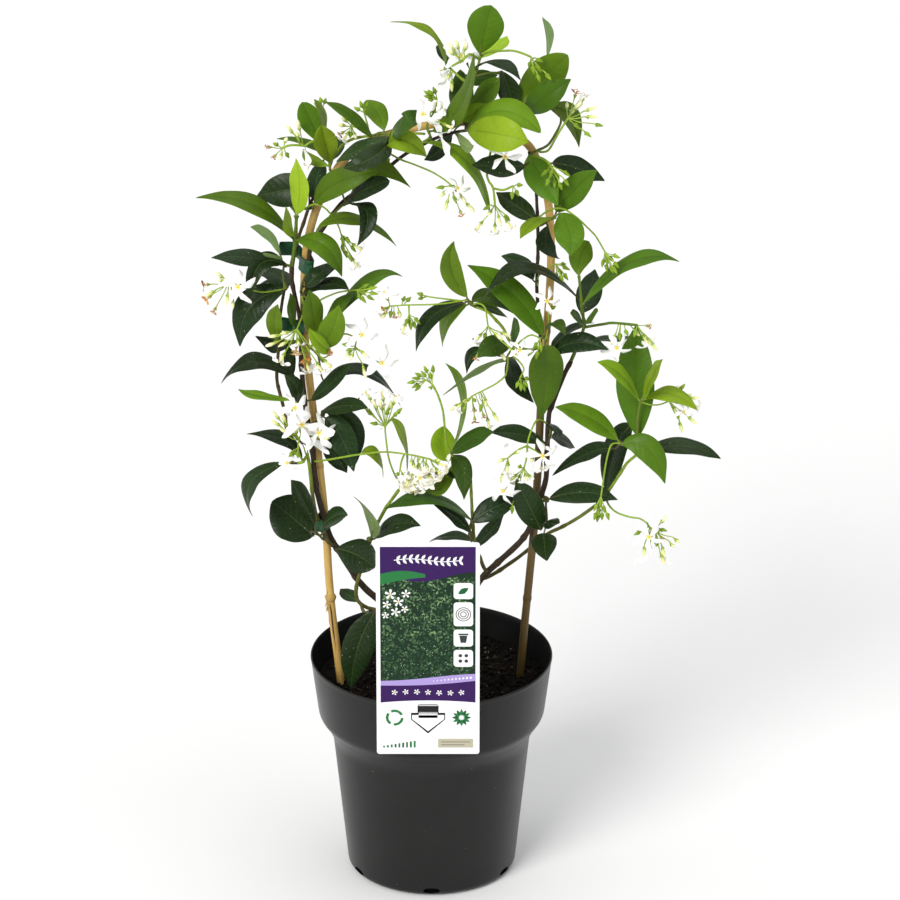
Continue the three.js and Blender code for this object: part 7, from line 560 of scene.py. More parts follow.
        items=[('o',(179.1,-18,310.7),(177.7,-17.5,305.6),(176.9,-25.9,306.6),(-0.1,-0.988,0.116),13.9),
            ('t',(176.9,-18,312.8),(173.4,-18.8,310.1),(171.4,-20,308.4)),
            ('t',(176.9,-18,312.8),(178.6,-16.8,310.7),(179.6,-18,308.4)),
            ('t',(177.7,-18,311.4),(174,-16.4,294.3),(173.5,-17.2,284.9)),
            ('t',(180.6,-18,310),(178.2,-17.3,295.3),(178.2,-18.5,290.9)),
            ('p',(182,-18,309.3),(176.6,-19.7,286.9),(167.7,-21.7,278.9),4.1),
            ('b',(176.9,-18,312.8),(169.7,-20.7,308.8),(164.9,-21.6,306.5)),
            ('t',(182,-18,309.3),(186.4,-22.1,317.5),(191.3,-23.4,324.1)),
            ('b',(182,-18,309.3),(184.8,-17.2,309.7),(187.7,-18.1,308.5)),
            ('b',(182,-18,309.3),(187,-16.3,309.3),(191.8,-17.2,308.1)),
            ('t',(182,-18,309.3),(187.8,-19.6,295.4),(190.4,-20.8,286.5)),
            ('t',(182,-18,309.3),(186.9,-21.5,289.2),(189.7,-22.5,280.1)),
            ('t',(182,-18,309.3),(194.6,-18.8,298.1),(197.7,-20,294.2)),
            ('t',(182,-18,309.3),(197.8,-22.1,303.4),(202.3,-23.3,300.1)),
            ('b',(182,-18,309.3),(183.1,-20.4,297.8),(184.5,-21.3,296.6)),
            ('w',(182,-18,309.3),(186.1,-21.3,305),(187.6,-22.5,303.3),3.3),
            ('p',(182,-18,309.3),(186.5,-18.1,285.3),(196.2,-20.1,283.5),3.3)]),
    'flowers_crown_under': dict(
        twigs=[(0.95,0.75,'t',[(-40.2,7,626.8),(-39.5,7.1,627.1),(-35.2,3.9,627.7),(-31.6,-2.1,627.4),(-25.3,-14.5,628.2),(-20.4,-19.2,627.6),(-13.8,-19.9,625.4),(-1,-20,619.9),(5.1,-20,616.4),(10.8,-20,612.5),(16.1,-20,607.9)])],
        leaves=[],
        items=[('o',(16.1,-20,607.9),(18.7,-16.2,606.3),(21.6,-24.2,606.9),(0.343,-0.936,0.078),10.6),
            ('t',(16.1,-20,607.9),(12.3,-17.8,602.3),(7.4,-19,597.5)),
            ('t',(16.1,-20,607.9),(13.7,-23.1,596.8),(11.4,-24.1,587.6)),
            ('t',(16.1,-20,607.9),(28.1,-20.3,592.9),(34.3,-21.1,585.7)),
            ('w',(16.1,-20,607.9),(22.9,-24.5,588.5),(24,-25.2,585.5),4.1),
            ('b',(16.1,-20,607.9),(18.4,-24.4,600.5),(20,-25.1,594.7)),
            ('b',(16.1,-20,607.9),(10.2,-18.7,605.9),(4.3,-19.6,605.3)),
            ('t',(16.1,-20,607.9),(22.3,-19.5,600.7),(27.9,-20.7,593.1))]),
    'flowers_top_left': dict(
        twigs=[(0.95,0.75,'t',[(-48,-15,647.2),(-48.9,-19.8,655.4),(-50.4,-20.2,662),(-52.1,-20,668.7)]),
            (0.95,0.75,'t',[(-48.7,-18.7,653.6),(-55.2,-19.8,655),(-61.6,-20,657.1)])],
        leaves=[],
        items=[('b',(-52.1,-20,668.7),(-53.4,-17.9,672.1),(-55.2,-18.8,677.4)),
            ('b',(-52.1,-20,668.7),(-50.4,-20.3,672.6),(-48.9,-21.2,677.4)),
            ('b',(-52.1,-20,668.7),(-55.6,-27.2,672.8),(-59.8,-28.1,675.6)),
            ('t',(-61.6,-20,657.1),(-65.4,-18.2,659.8),(-70.2,-19.5,664.4)),
            ('t',(-61.6,-20,657.1),(-62.8,-19.3,662),(-64.6,-20.6,668.1)),
            ('t',(-61.6,-20,657.1),(-60.5,-19.3,652),(-58.5,-20.5,647.3)),
            ('w',(-61.6,-20,657.1),(-67.7,-20.2,652.5),(-70.3,-20.2,650.5),4.1),
            ('t',(-61.6,-20,657.1),(-66.7,-22,657.9),(-72.5,-23.2,659.9)),
            ('s',(-61.6,-20,657.1),(-64.3,-20.6,652.4),(-68.7,-22.7,645.6),(-0.526,-0.25,-0.813),5.7),
            ('b',(-61.6,-20,657.1),(-62.3,-18.4,651.6),(-63.3,-19.3,646.9))]),
    'buds_upper_right': dict(
        twigs=[(0.95,0.75,'t',[(84.9,-3,575.3),(86.5,-5.3,576),(89.3,-10.3,580.2),(92.9,-15,584.3),(99,-16.7,587.2),(105.9,-17.5,586.6),(111.9,-18,582.8),(117.4,-18.1,578.3),(127.3,-17.6,568.1),(131.7,-17,562.5),(138.4,-16,550)])],
        leaves=[],
        items=[('b',(138.4,-16,550),(137.4,-13.7,542.5),(136.2,-14.5,536.7)),
            ('b',(138.4,-16,550),(139.9,-14.1,538.5),(140.3,-14.7,532.5)),
            ('b',(138.4,-16,550),(142.8,-18.7,539),(144.9,-19.2,533.4)),
            ('b',(138.4,-16,550),(145.7,-19.8,542.7),(149.5,-20.4,538.1)),
            ('b',(138.4,-16,550),(144.7,-18.5,548.2),(150.3,-19.3,546.2)),
            ('b',(138.4,-16,550),(145,-21.7,538.9),(148,-22.2,533.7)),
            ('b',(138.4,-16,550),(139.4,-16,544.9),(140.9,-16.9,540.2)),
            ('b',(138.4,-16,550),(141.8,-15,545.7),(145.7,-15.9,541.5))]),
    'buds_centre_right': dict(
        twigs=[(0.95,0.75,'t',[(84.9,-3.4,516.5),(85.4,-5.5,518.7),(85.5,-6.5,525),(89.2,-7.5,530),(94.1,-8.3,534.1),(99.7,-9,537.2)])],
        leaves=[((81.4,-16.1,526.2),(71.1,-9.2,537.2),(55.9,-6.2,542.9),(-0.481,-0.845,-0.233),20,5,'e','d',[(85.4,-5.9,521.7),(83.9,-11.5,522.4),(81.4,-16.1,526.2),(79.7,-14.4,528.8)])],
        items=[('b',(99.7,-9,537.2),(102.3,-10.7,533.4),(104.5,-11.5,527.9)),
            ('b',(99.7,-9,537.2),(100.3,-5.4,528.3),(99.9,-6.1,522.4)),
            ('b',(99.7,-9,537.2),(106,-12.9,530.2),(109.3,-13.5,525.2)),
            ('b',(99.7,-9,537.2),(105.5,-11,535.7),(110.9,-11.9,533.1)),
            ('b',(99.7,-9,537.2),(103.2,-19.3,531.6),(105.2,-19.9,526)),
            ('b',(99.7,-9,537.2),(103.9,-8,536.8),(107.7,-8.9,537.1))]),
    'flowers_low_centre': dict(
        twigs=[(0.95,0.75,'t',[(-26.1,-12,342.2),(-25.7,-12,342.8),(-25.4,-13.7,347.9),(-29.9,-19.9,360.3),(-32.1,-21.5,367),(-34,-22,373.9),(-35.2,-22.1,381.1),(-36.7,-22,395.5),(-37,-22,402.7)])],
        leaves=[((-32.2,-18.8,407.5),(-21.9,-11.9,386.2),(-19.6,-5,355.1),(0.112,0.954,0.278),19.4,5,'e','l',[(-37,-22,402.7),(-35.4,-22,404.4),(-32.2,-18.8,407.5),(-29.5,-17.5,404)])],
        items=[('b',(-37,-22,402.7),(-43.2,-22.4,404.6),(-49.1,-23.2,405.8)),
            ('b',(-37,-22,402.7),(-47.7,-26.5,414.7),(-52.1,-27,418.7)),
            ('t',(-37,-22,402.7),(-48.8,-22.2,415.4),(-55.4,-22.9,422.2)),
            ('t',(-37,-22,402.7),(-43.1,-26.4,419),(-47.3,-27.2,427.5)),
            ('t',(-37,-22,402.7),(-39.2,-22.9,416.8),(-40.9,-23.8,426.1)),
            ('s',(-37,-22,402.7),(-48.1,-23.9,425.9),(-52.1,-24.7,433.4),(-0.469,-0.093,0.878),4.9),
            ('w',(-37,-22,402.7),(-56.3,-26.6,423.3),(-58.5,-27.1,425.7),4.1),
            ('w',(-37,-22,402.7),(-44.7,-22.2,421.3),(-45.7,-22.3,423.7),3.3),
            ('w',(-37,-22,402.7),(-38.9,-21.2,415.6),(-39.4,-21,418.8),4.1),
            ('t',(-37,-22,402.7),(-33.9,-22.3,416.6),(-32.1,-23.2,425.8)),
            ('s',(-37,-22,402.7),(-38,-29,427.2),(-39.2,-29.9,435.5),(-0.138,-0.108,0.984),6.5),
            ('s',(-37,-22,402.7),(-30.3,-26.7,423.1),(-28,-27.8,431.2),(0.273,-0.125,0.954),6.5),
            ('b',(-37,-22,402.7),(-29.8,-24,412.6),(-25.7,-24.7,416.9)),
            ('b',(-37,-22,402.7),(-27.2,-21.4,413.9),(-23.3,-21.9,418.4)),
            ('b',(-37,-22,402.7),(-35.2,-26.2,414.5),(-34.5,-26.9,420.4)),
            ('p',(-37,-22,402.7),(-37.9,-20.8,401.3),(-41.1,-22.8,399.5),3.3)]),
    'flowers_big_bunch': dict(
        twigs=[(0.95,0.75,'t',[(-95.1,-16.6,370.2),(-92.7,-19.6,370.8),(-84.8,-29.8,376.2),(-80.4,-34.4,378.9),(-75.5,-38.5,381.6),(-69.1,-40.4,383.6),(-62.3,-39.4,384.5),(-48.6,-36.9,385.5),(-41.8,-35.8,385.7),(-34.9,-34.8,385.4),(-28,-34.1,384.4),(-14.3,-33,381.8),(-0.8,-33,378.5)]),
            (0.95,0.75,'t',[(-21.4,-33.5,383.2),(-23.8,-32.2,376),(-25,-32,368.4)])],
        leaves=[((-55.6,-25.8,381.6),(-42.9,-18.5,374.1),(-39,-11.2,352.5),(-0.059,0.906,0.42),17.3,5,'e','l',[(-54.2,-37.8,385.1),(-54.8,-29,381.2),(-55.6,-25.8,381.6),(-52.4,-24.3,381.2)])],
        items=[('s',(-5.2,-32.9,379.6),(-11.9,-35.5,370.3),(-16.9,-36.9,363.5),(-0.585,-0.155,-0.796),9.8),
            ('s',(-2.3,-33,378.9),(4.1,-43,379.6),(12.1,-44.7,377.4),(0.946,-0.196,-0.259),9.8),
            ('s',(-6.7,-32.9,380),(-2,-36.3,368),(1.6,-37.7,360.4),(0.42,-0.157,-0.894),9.8),
            ('o',(-6.7,-32.9,380),(-5.7,-31.9,364.5),(-8.8,-39.8,364.8),(-0.373,-0.927,0.036),11.4),
            ('s',(-9.6,-32.9,380.7),(-12.7,-35.8,359.6),(-13.7,-36.8,351.2),(-0.121,-0.111,-0.987),8.2),
            ('s',(-3.7,-32.9,379.3),(-3.5,-37.5,375.8),(-2.4,-39.6,369.9),(0.178,-0.333,-0.926),9),
            ('t',(-12.6,-32.9,381.4),(-14,-33.7,376.2),(-14.5,-34.9,369.7)),
            ('t',(-11.1,-32.9,381.1),(-10.5,-32.3,374.8),(-8.1,-33.6,368.2)),
            ('t',(-0.8,-33,378.5),(2.6,-31.4,376.6),(8.1,-32.6,376.6)),
            ('w',(-3.7,-32.9,379.3),(-5.1,-36,371.9),(-5.6,-37.3,369),4.1),
            ('w',(-0.8,-33,378.5),(3.8,-28.6,366),(4.8,-27.6,363),4.1),
            ('s',(-8.1,-32.9,380.4),(-16.9,-38.8,364.3),(-20.9,-39.8,356.9),(-0.473,-0.117,-0.873),9),
            ('s',(-0.8,-33,378.5),(3.6,-42.5,374.9),(8.9,-44.1,368.4),(0.62,-0.193,-0.761),7.3),
            ('p',(-8.1,-32.9,380.4),(-8.9,-34.4,369.5),(4.8,-36.4,358.1),7.3),
            ('p',(-9.6,-32.9,380.7),(-12.9,-30.7,367.9),(-19.4,-32.7,349.4),7.3),
            ('t',(-15.5,-33,382.1),(-15.6,-35.6,379.2),(-16.1,-36.8,374.9)),
            ('b',(-25,-32,368.4),(-26,-33,366.2),(-27.4,-33.9,364)),
            ('b',(-25,-32,368.4),(-23.2,-34.6,367.3),(-21.7,-35.5,365.6)),
            ('p',(-25,-32,368.4),(-23.4,-34.9,367.9),(-18.5,-36.9,361.8),4.9)]),
    'flowers_hanging': dict(
        twigs=[(0.95,0.75,'t',[(94.8,-0.3,396.4),(92.8,-3.3,397.4),(89.5,-8.1,402.1),(85,-13.6,403.9),(81.6,-18.4,399.3),(79,-22,393.2),(77.4,-24,386.1)]),
            (0.95,0.75,'t',[(77.4,-24,386.1),(71.7,-25.6,384.2),(66.7,-26.9,381),(62,-28,377.3)]),
            (0.95,0.75,'t',[(77.4,-24,386.1),(84.6,-26,382.5)]),
            (0.95,0.75,'t',[(77.4,-24,386.1),(77.5,-25.6,380.1),(76.5,-26.5,374),(75,-27,368.1)])],
        leaves=[],
        items=[('t',(63.2,-27.7,378.2),(59.6,-30.4,377.5),(53.2,-31.7,375.3)),
            ('s',(62,-28,377.3),(62.3,-32.5,375.1),(61.2,-34.5,366.9),(-0.129,-0.243,-0.961),7.3),
            ('o',(62,-28,377.3),(60.8,-24.1,351),(58.1,-32.1,350.1),(-0.322,-0.94,-0.109),13.9),
            ('p',(63.2,-27.7,378.2),(61.2,-30.3,383.5),(58.7,-32.3,392.2),5.7),
            ('t',(62,-28,377.3),(58.6,-27.7,364.5),(55.7,-28.6,355.6)),
            ('t',(65.5,-27.1,380.1),(67.7,-30,382.1),(71.6,-31.3,384.8)),
            ('o',(84.6,-26,382.5),(88.6,-23.1,378.9),(90.2,-31.3,380.4),(0.182,-0.967,0.176),13.9),
            ('s',(84.6,-26,382.5),(86.8,-27.2,375.2),(88.7,-29,367.1),(0.228,-0.209,-0.951),8.2),
            ('t',(84.6,-26,382.5),(82.6,-27.4,378.9),(80.6,-28.6,374)),
            ('p',(84.6,-26,382.5),(87.8,-27.9,386),(98.2,-29.9,387.7),5.7),
            ('s',(75,-27,368.1),(71.9,-18.9,358.6),(67.9,-20.7,351.3),(-0.464,-0.216,-0.859),7.3),
            ('s',(75,-27,368.1),(75.6,-37.9,368.1),(77.3,-40,362.3),(0.263,-0.326,-0.908),7.3),
            ('t',(75,-27,368.1),(78.3,-25.2,361.9),(82.4,-26.4,356.4)),
            ('b',(75,-27,368.1),(72.5,-29.3,369.7),(70.1,-30.2,371.2)),
            ('b',(75,-27,368.1),(65.9,-25.9,333.3),(65.5,-26.6,327.3)),
            ('t',(75,-27,368.1),(69.5,-25,361.8),(63,-26.3,356.3))]),
}

# ------------------------------------------------------------------ small maths
def unit(v):
    v = np.asarray(v, float)
    n = np.linalg.norm(v)
    return v / n if n > 1e-9 else v


def smooth(x, a=0.0, b=1.0):
    x = np.clip((np.asarray(x, float) - a) / (b - a), 0, 1)
    return x * x * (3 - 2 * x)


def catmull(P, step):
    P = np.asarray(P, float)
    if len(P) == 2:
        n = max(1, int(round(np.linalg.norm(P[1] - P[0]) / step)))
        return P[0] + (P[1] - P[0]) * (np.arange(n + 1)[:, None] / n)
    Q = np.vstack([2 * P[0] - P[1], P, 2 * P[-1] - P[-2]])
    u = np.linspace(0, 1, 13)[:-1, None]
    out = []
    for i in range(1, len(Q) - 2):
        p0, p1, p2, p3 = Q[i - 1], Q[i], Q[i + 1], Q[i + 2]
        out.append(0.5 * (2 * p1 + (p2 - p0) * u + (2 * p0 - 5 * p1 + 4 * p2 - p3) * u**2 + (3 * p1 - p0 - 3 * p2 + p3) * u**3))
    out = np.vstack(out + [P[-1:]])
    return resample(out, step)


def resample(P, step):
    d = np.r_[0, np.cumsum(np.linalg.norm(np.diff(P, axis=0), axis=1))]
    n = max(2, int(round(d[-1] / step)))
    s = np.linspace(0, d[-1], n + 1)
    return np.stack([np.interp(s, d, P[:, k]) for k in range(3)], -1)


def lengths(P):
    return np.r_[0, np.cumsum(np.linalg.norm(np.diff(P, axis=0), axis=1))]


def transport(P):
    """tangents and two normals that don't spin along the path"""
    T = np.gradient(P, axis=0)
    T /= np.linalg.norm(T, axis=1)[:, None] + 1e-12
    n = np.array([0.0, 0, 1]) if abs(T[0][2]) < 0.9 else np.array([0.0, 1, 0])
    U = np.zeros_like(P)
    for i in range(len(P)):
        n = n - T[i] * (n @ T[i])
        n /= np.linalg.norm(n) + 1e-12
        U[i] = n
    return T, U, np.cross(T, U)


def wob(x, seed, k=3):
    """smooth seeded wobble in -1..1"""
    x = np.asarray(x, float)
    r = random.Random(seed)
    s = 0
    for i in range(k):
        s = s + math.pow(0.6, i) * np.sin(x * (1.7**i) + r.random() * 6.28)
    return s / 1.96


# ------------------------------------------------------------------ mesh building
class Part:
    """vertices in mm with the two attributes that the materials read: tint and lc"""

    def __init__(self, mats):
        self.v, self.t, self.l, self.f, self.m, self.n = [], [], [], [], [], 0
        self.mats = mats

    def add(self, verts, faces, mat, tint, lc=None):
        verts = np.asarray(verts, float).reshape(-1, 3)
        k = len(verts)
        tint = np.asarray(tint, float)
        if tint.ndim == 1:
            tint = np.tile(tint, (k, 1))
        if tint.shape[1] == 3:
            tint = np.hstack([tint, np.ones((k, 1))])
        lc = np.zeros((k, 3)) if lc is None else np.asarray(lc, float).reshape(-1, 3)
        self.v.append(verts)
        self.t.append(tint)
        self.l.append(lc)
        self.f += [tuple(int(i) + self.n for i in f) for f in faces]
        self.m += [self.mats.index(mat)] * len(faces)
        self.n += k

    def build(self, name, angle=48):
        V = np.vstack(self.v) * 0.001
        me = bpy.data.meshes.new(name)
        me.from_pydata(V.tolist(), [], self.f)
        me.polygons.foreach_set("material_index", np.array(self.m, np.int32))
        a = me.attributes.new("tint", "FLOAT_COLOR", "POINT")
        a.data.foreach_set("color", np.vstack(self.t).astype(np.float32).ravel())
        a = me.attributes.new("lc", "FLOAT_VECTOR", "POINT")
        a.data.foreach_set("vector", np.vstack(self.l).astype(np.float32).ravel())
        for m in self.mats:
            me.materials.append(MAT[m])
        me.shade_smooth()
        me.set_sharp_from_angle(angle=math.radians(angle))
        me.update()
        ob = bpy.data.objects.new(name, me)
        scene.collection.objects.link(ob)
        return ob


def grid_faces(nr, nc, base=0, wrap=False, flip=False):
    F = []
    m = nc if wrap else nc - 1
    for i in range(nr - 1):
        for j in range(m):
            a, b = base + i * nc + j, base + i * nc + (j + 1) % nc
            c, d = base + (i + 1) * nc + (j + 1) % nc, base + (i + 1) * nc + j
            F.append((a, d, c, b) if flip else (a, b, c, d))
    return F


def tube(part, P, R, sides, mat, tint, end=(0.6, 0.6), squash=None, lcs=1.0):
    """a closed bar along P; R radii; end: how far the caps bulge, in radii"""
    P = np.asarray(P, float)
    R = np.broadcast_to(np.asarray(R, float), (len(P),)).copy()
    T, U, W = transport(P)
    s = lengths(P)
    a = np.arange(sides) * 2 * math.pi / sides
    ca, sa = np.cos(a), np.sin(a)
    V = P[:, None] + R[:, None, None] * (U[:, None] * ca[None, :, None] + W[:, None] * sa[None, :, None])
    lc = np.stack([np.repeat(s[:, None], sides, 1) * lcs, np.tile(ca, (len(P), 1)) * R[:, None], np.tile(sa, (len(P), 1)) * R[:, None]], -1)
    tint = np.asarray(tint, float)
    tt = np.repeat(tint[:, None], sides, 1) if tint.ndim == 2 else np.tile(tint, (len(P), sides, 1))
    n = len(P)
    V = np.vstack([V.reshape(-1, 3), [P[0] - T[0] * R[0] * end[0]], [P[-1] + T[-1] * R[-1] * end[1]]])
    lc = np.vstack([lc.reshape(-1, 3), [[-R[0], 0, 0]], [[s[-1] + R[-1], 0, 0]]])
    tt = np.vstack([tt.reshape(-1, tt.shape[-1]), tt[0, 0], tt[-1, 0]])
    F = grid_faces(n, sides, wrap=True)
    F += [(n * sides, (j + 1) % sides, j) for j in range(sides)]
    o = (n - 1) * sides
    F += [(n * sides + 1, o + j, o + (j + 1) % sides) for j in range(sides)]
    part.add(V, F, mat, tt, lc)


def shell(part, top, bottom, mat_top, mat_bottom, tint_top, tint_bottom, lc):
    """a thin closed sheet: two grids (nr, nc, 3) that share their border"""
    nr, nc = top.shape[:2]
    idx_top = np.arange(nr * nc).reshape(nr, nc)
    idx_bot = idx_top.copy()
    inner = idx_bot[1:-1, 1:-1]
    inner[:] = np.arange(inner.size).reshape(inner.shape) + nr * nc
    V = np.vstack([top.reshape(-1, 3), bottom[1:-1, 1:-1].reshape(-1, 3)])
    tt = np.broadcast_to(tint_top, (nr, nc, np.shape(tint_top)[-1]))
    tb = np.broadcast_to(tint_bottom, (nr, nc, np.shape(tint_bottom)[-1]))
    TT = np.vstack([tt.reshape(-1, tt.shape[-1]), tb[1:-1, 1:-1].reshape(-1, tb.shape[-1])])
    L = np.vstack([lc.reshape(-1, 3), lc[1:-1, 1:-1].reshape(-1, 3)])
    Ft, Fb = [], []
    for i in range(nr - 1):
        for j in range(nc - 1):
            Ft.append((idx_top[i, j], idx_top[i, j + 1], idx_top[i + 1, j + 1], idx_top[i + 1, j]))
            Fb.append((idx_bot[i, j], idx_bot[i + 1, j], idx_bot[i + 1, j + 1], idx_bot[i, j + 1]))
    n0 = part.n
    part.add(V, Ft, mat_top, TT, L)
    part.f += [tuple(int(k) + n0 for k in q) for q in Fb]
    part.m += [part.mats.index(mat_bottom)] * len(Fb)


# ------------------------------------------------------------------ materials
MAT = {}


class Nodes:
    def __init__(self, name):
        m = bpy.data.materials.new(name)
        m.use_nodes = True
        self.m, self.t = m, m.node_tree
        self.t.nodes.clear()
        self.out = self.t.nodes.new("ShaderNodeOutputMaterial")
        self.b = self.t.nodes.new("ShaderNodeBsdfPrincipled")
        self.t.links.new(self.b.outputs[0], self.out.inputs[0])
        MAT[name] = m

    def put(self, socket, value):
        if isinstance(value, bpy.types.NodeSocket):
            self.t.links.new(value, socket)
        elif value is not None:
            if isinstance(value, (tuple, list)) and len(value) == 3 and len(socket.default_value) == 4:
                value = (*value, 1)
            socket.default_value = value

    def set(self, **k):
        for name, value in k.items():
            self.put(self.b.inputs[name.replace("_", " ")], value)

    def math(self, op, a, b=None, c=None, clamp=False):
        n = self.t.nodes.new("ShaderNodeMath")
        n.operation, n.use_clamp = op, clamp
        for i, x in enumerate((a, b, c)):
            self.put(n.inputs[i], x)
        return n.outputs[0]

    def vmath(self, op, a, b=None):
        n = self.t.nodes.new("ShaderNodeVectorMath")
        n.operation = op
        self.put(n.inputs[0], a)
        if op == "SCALE":
            self.put(n.inputs[3], b)
        else:
            self.put(n.inputs[1], b)
        return n.outputs[0]

    def attr(self, name):
        n = self.t.nodes.new("ShaderNodeAttribute")
        n.attribute_name = name
        return n

    def split(self, v):
        n = self.t.nodes.new("ShaderNodeSeparateXYZ")
        self.put(n.inputs[0], v)
        return n.outputs

    def join(self, x, y, z):
        n = self.t.nodes.new("ShaderNodeCombineXYZ")
        for i, q in enumerate((x, y, z)):
            self.put(n.inputs[i], q)
        return n.outputs[0]

    def coords(self):
        return self.t.nodes.new("ShaderNodeTexCoord").outputs["Object"]

    def noise(self, vec, scale, detail=3, rough=0.5, distort=0.0):
        n = self.t.nodes.new("ShaderNodeTexNoise")
        self.put(n.inputs["Vector"], vec)
        n.inputs["Scale"].default_value = scale
        n.inputs["Detail"].default_value = detail
        n.inputs["Roughness"].default_value = rough
        n.inputs["Distortion"].default_value = distort
        return n.outputs[0]

    def voronoi(self, vec, scale, feature="F1", rnd=1.0):
        n = self.t.nodes.new("ShaderNodeTexVoronoi")
        n.feature = feature
        self.put(n.inputs["Vector"], vec)
        n.inputs["Scale"].default_value = scale
        n.inputs["Randomness"].default_value = rnd
        return n.outputs

    def range(self, v, a, b, c=0.0, d=1.0, smoothly=True):
        n = self.t.nodes.new("ShaderNodeMapRange")
        n.interpolation_type = "SMOOTHSTEP" if smoothly else "LINEAR"
        self.put(n.inputs[0], v)
        for i, x in enumerate((a, b, c, d)):
            self.put(n.inputs[i + 1], x)
        return n.outputs[0]

    def mix(self, f, a, b, mode="MIX"):
        n = self.t.nodes.new("ShaderNodeMix")
        n.data_type, n.blend_type = "RGBA", mode
        self.put(n.inputs[0], f)
        self.put(n.inputs[6], a)
        self.put(n.inputs[7], b)
        return n.outputs[2]

    def ramp(self, f, stops):
        n = self.t.nodes.new("ShaderNodeValToRGB")
        e = n.color_ramp.elements
        while len(e) < len(stops):
            e.new(0.5)
        for q, (p, c) in zip(e, stops):
            q.position, q.color = p, (*c, 1)
        self.put(n.inputs[0], f)
        return n.outputs[0]

    def bump(self, height, strength, distance):
        n = self.t.nodes.new("ShaderNodeBump")
        n.inputs["Strength"].default_value = strength
        n.inputs["Distance"].default_value = distance
        self.put(n.inputs["Height"], height)
        self.put(self.b.inputs["Normal"], n.outputs[0])
        return n


def leaf_material(name, under):
    m = Nodes(name)
    tint = m.attr("tint").outputs["Color"]
    age = m.attr("tint").outputs["Alpha"]
    x, y, t = m.split(m.attr("lc").outputs["Vector"])   # mm along the blade, mm off the midrib, 0..1 along
    d = m.math("ABSOLUTE", y)
    # midrib: tapers to the tip
    w = m.math("MULTIPLY_ADD", t, -0.38, 0.55)
    rib = m.math("SUBTRACT", 1.0, m.range(m.math("DIVIDE", d, w), 0.45, 1.05))
    # side veins leave the midrib at about 55 degrees and bow to the tip
    q = m.math("SUBTRACT", x, m.math("MULTIPLY", m.math("POWER", d, 1.12), 0.62))
    wave = m.math("ABSOLUTE", m.math("SUBTRACT", m.math("FRACT", m.math("DIVIDE", q, 5.4)), 0.5))
    vein = m.math("SUBTRACT", 1.0, m.range(wave, 0.0, 0.085))
    vein = m.math("MULTIPLY", vein, m.range(d, 11.5, 6.0))
    fine = m.noise(m.coords(), 900, 3, 0.6)
    patch = m.noise(m.coords(), 55, 3, 0.55, 0.3)
    if under:
        base = m.mix(m.math("MULTIPLY_ADD", age, 0.12, 0.42), tint, (0.155, 0.235, 0.065))
        base = m.mix(m.math("MULTIPLY", vein, 0.16), base, (0.30, 0.40, 0.13))
        base = m.mix(m.math("MULTIPLY", rib, 0.70), base, (0.34, 0.44, 0.14))
    else:
        pale = m.mix(0.5, m.mix(1.0, tint, (2.6, 2.3, 2.0), "MULTIPLY"), (0.11, 0.185, 0.035))
        deep = m.mix(1.0, tint, (0.62, 0.60, 0.6), "MULTIPLY")
        ribc = m.mix(m.range(age, 0.30, 0.75), deep, pale)
        base = m.mix(m.math("MULTIPLY", vein, m.math("MULTIPLY_ADD", age, 0.10, 0.13)), tint, ribc)
        base = m.mix(m.math("MULTIPLY", rib, 0.62), base, ribc)
    dark = m.mix(1.0, base, (0.72, 0.76, 0.7), "MULTIPLY")
    base = m.mix(m.range(patch, 0.3, 0.7, 0.0, 0.6), base, dark)
    base = m.mix(m.range(fine, 0.40, 0.75, 0.0, 0.035), base, (0.45, 0.55, 0.25))
    if not under:
        # a few specks of dust and water scale on the old dark leaves
        v = m.voronoi(m.coords(), 330)
        speck = m.math("MULTIPLY", m.range(v[0], 0.16, 0.07), m.range(m.split(v[1])[0], 0.82, 0.86))
        speck = m.math("MULTIPLY", speck, m.math("MULTIPLY", age, 0.55))
        base = m.mix(speck, base, (0.62, 0.66, 0.60))
    m.set(Base_Color=base)
    if under:
        m.set(Roughness=m.range(patch, 0.2, 0.8, 0.50, 0.64), Specular_IOR_Level=0.12)
    else:
        r = m.range(patch, 0.2, 0.8, 0.27, 0.42)
        m.set(Roughness=m.math("ADD", r, m.math("MULTIPLY", m.math("SUBTRACT", 1.0, age), 0.12)))
        m.set(Specular_IOR_Level=m.math("MULTIPLY_ADD", age, 0.05, 0.10))
    quilt = m.math("MULTIPLY", wave, m.range(d, 0.0, 3.0, 0.0, 1.0))
    h = m.math("ADD", m.math("MULTIPLY", quilt, 1.1 if not under else -1.2), m.math("MULTIPLY", fine, 0.16))
    h = m.math("ADD", h, m.math("MULTIPLY", patch, 1.5))
    h = m.math("SUBTRACT" if not under else "ADD", h, m.math("MULTIPLY", rib, 0.8))
    m.bump(h, 0.55, 0.00035)


leaf_material("leaf_top", False)
leaf_material("leaf_under", True)

m = Nodes("stalk")
tint = m.attr("tint").outputs["Color"]
n1 = m.noise(m.coords(), 260, 3, 0.6)
m.set(Base_Color=m.mix(m.range(n1, 0.35, 0.7, 0.0, 0.45), tint, m.mix(1.0, tint, (0.55, 0.5, 0.5), "MULTIPLY")), Roughness=m.range(n1, 0.2, 0.8, 0.38, 0.55), Specular_IOR_Level=0.2)
m.bump(n1, 0.4, 0.0003)

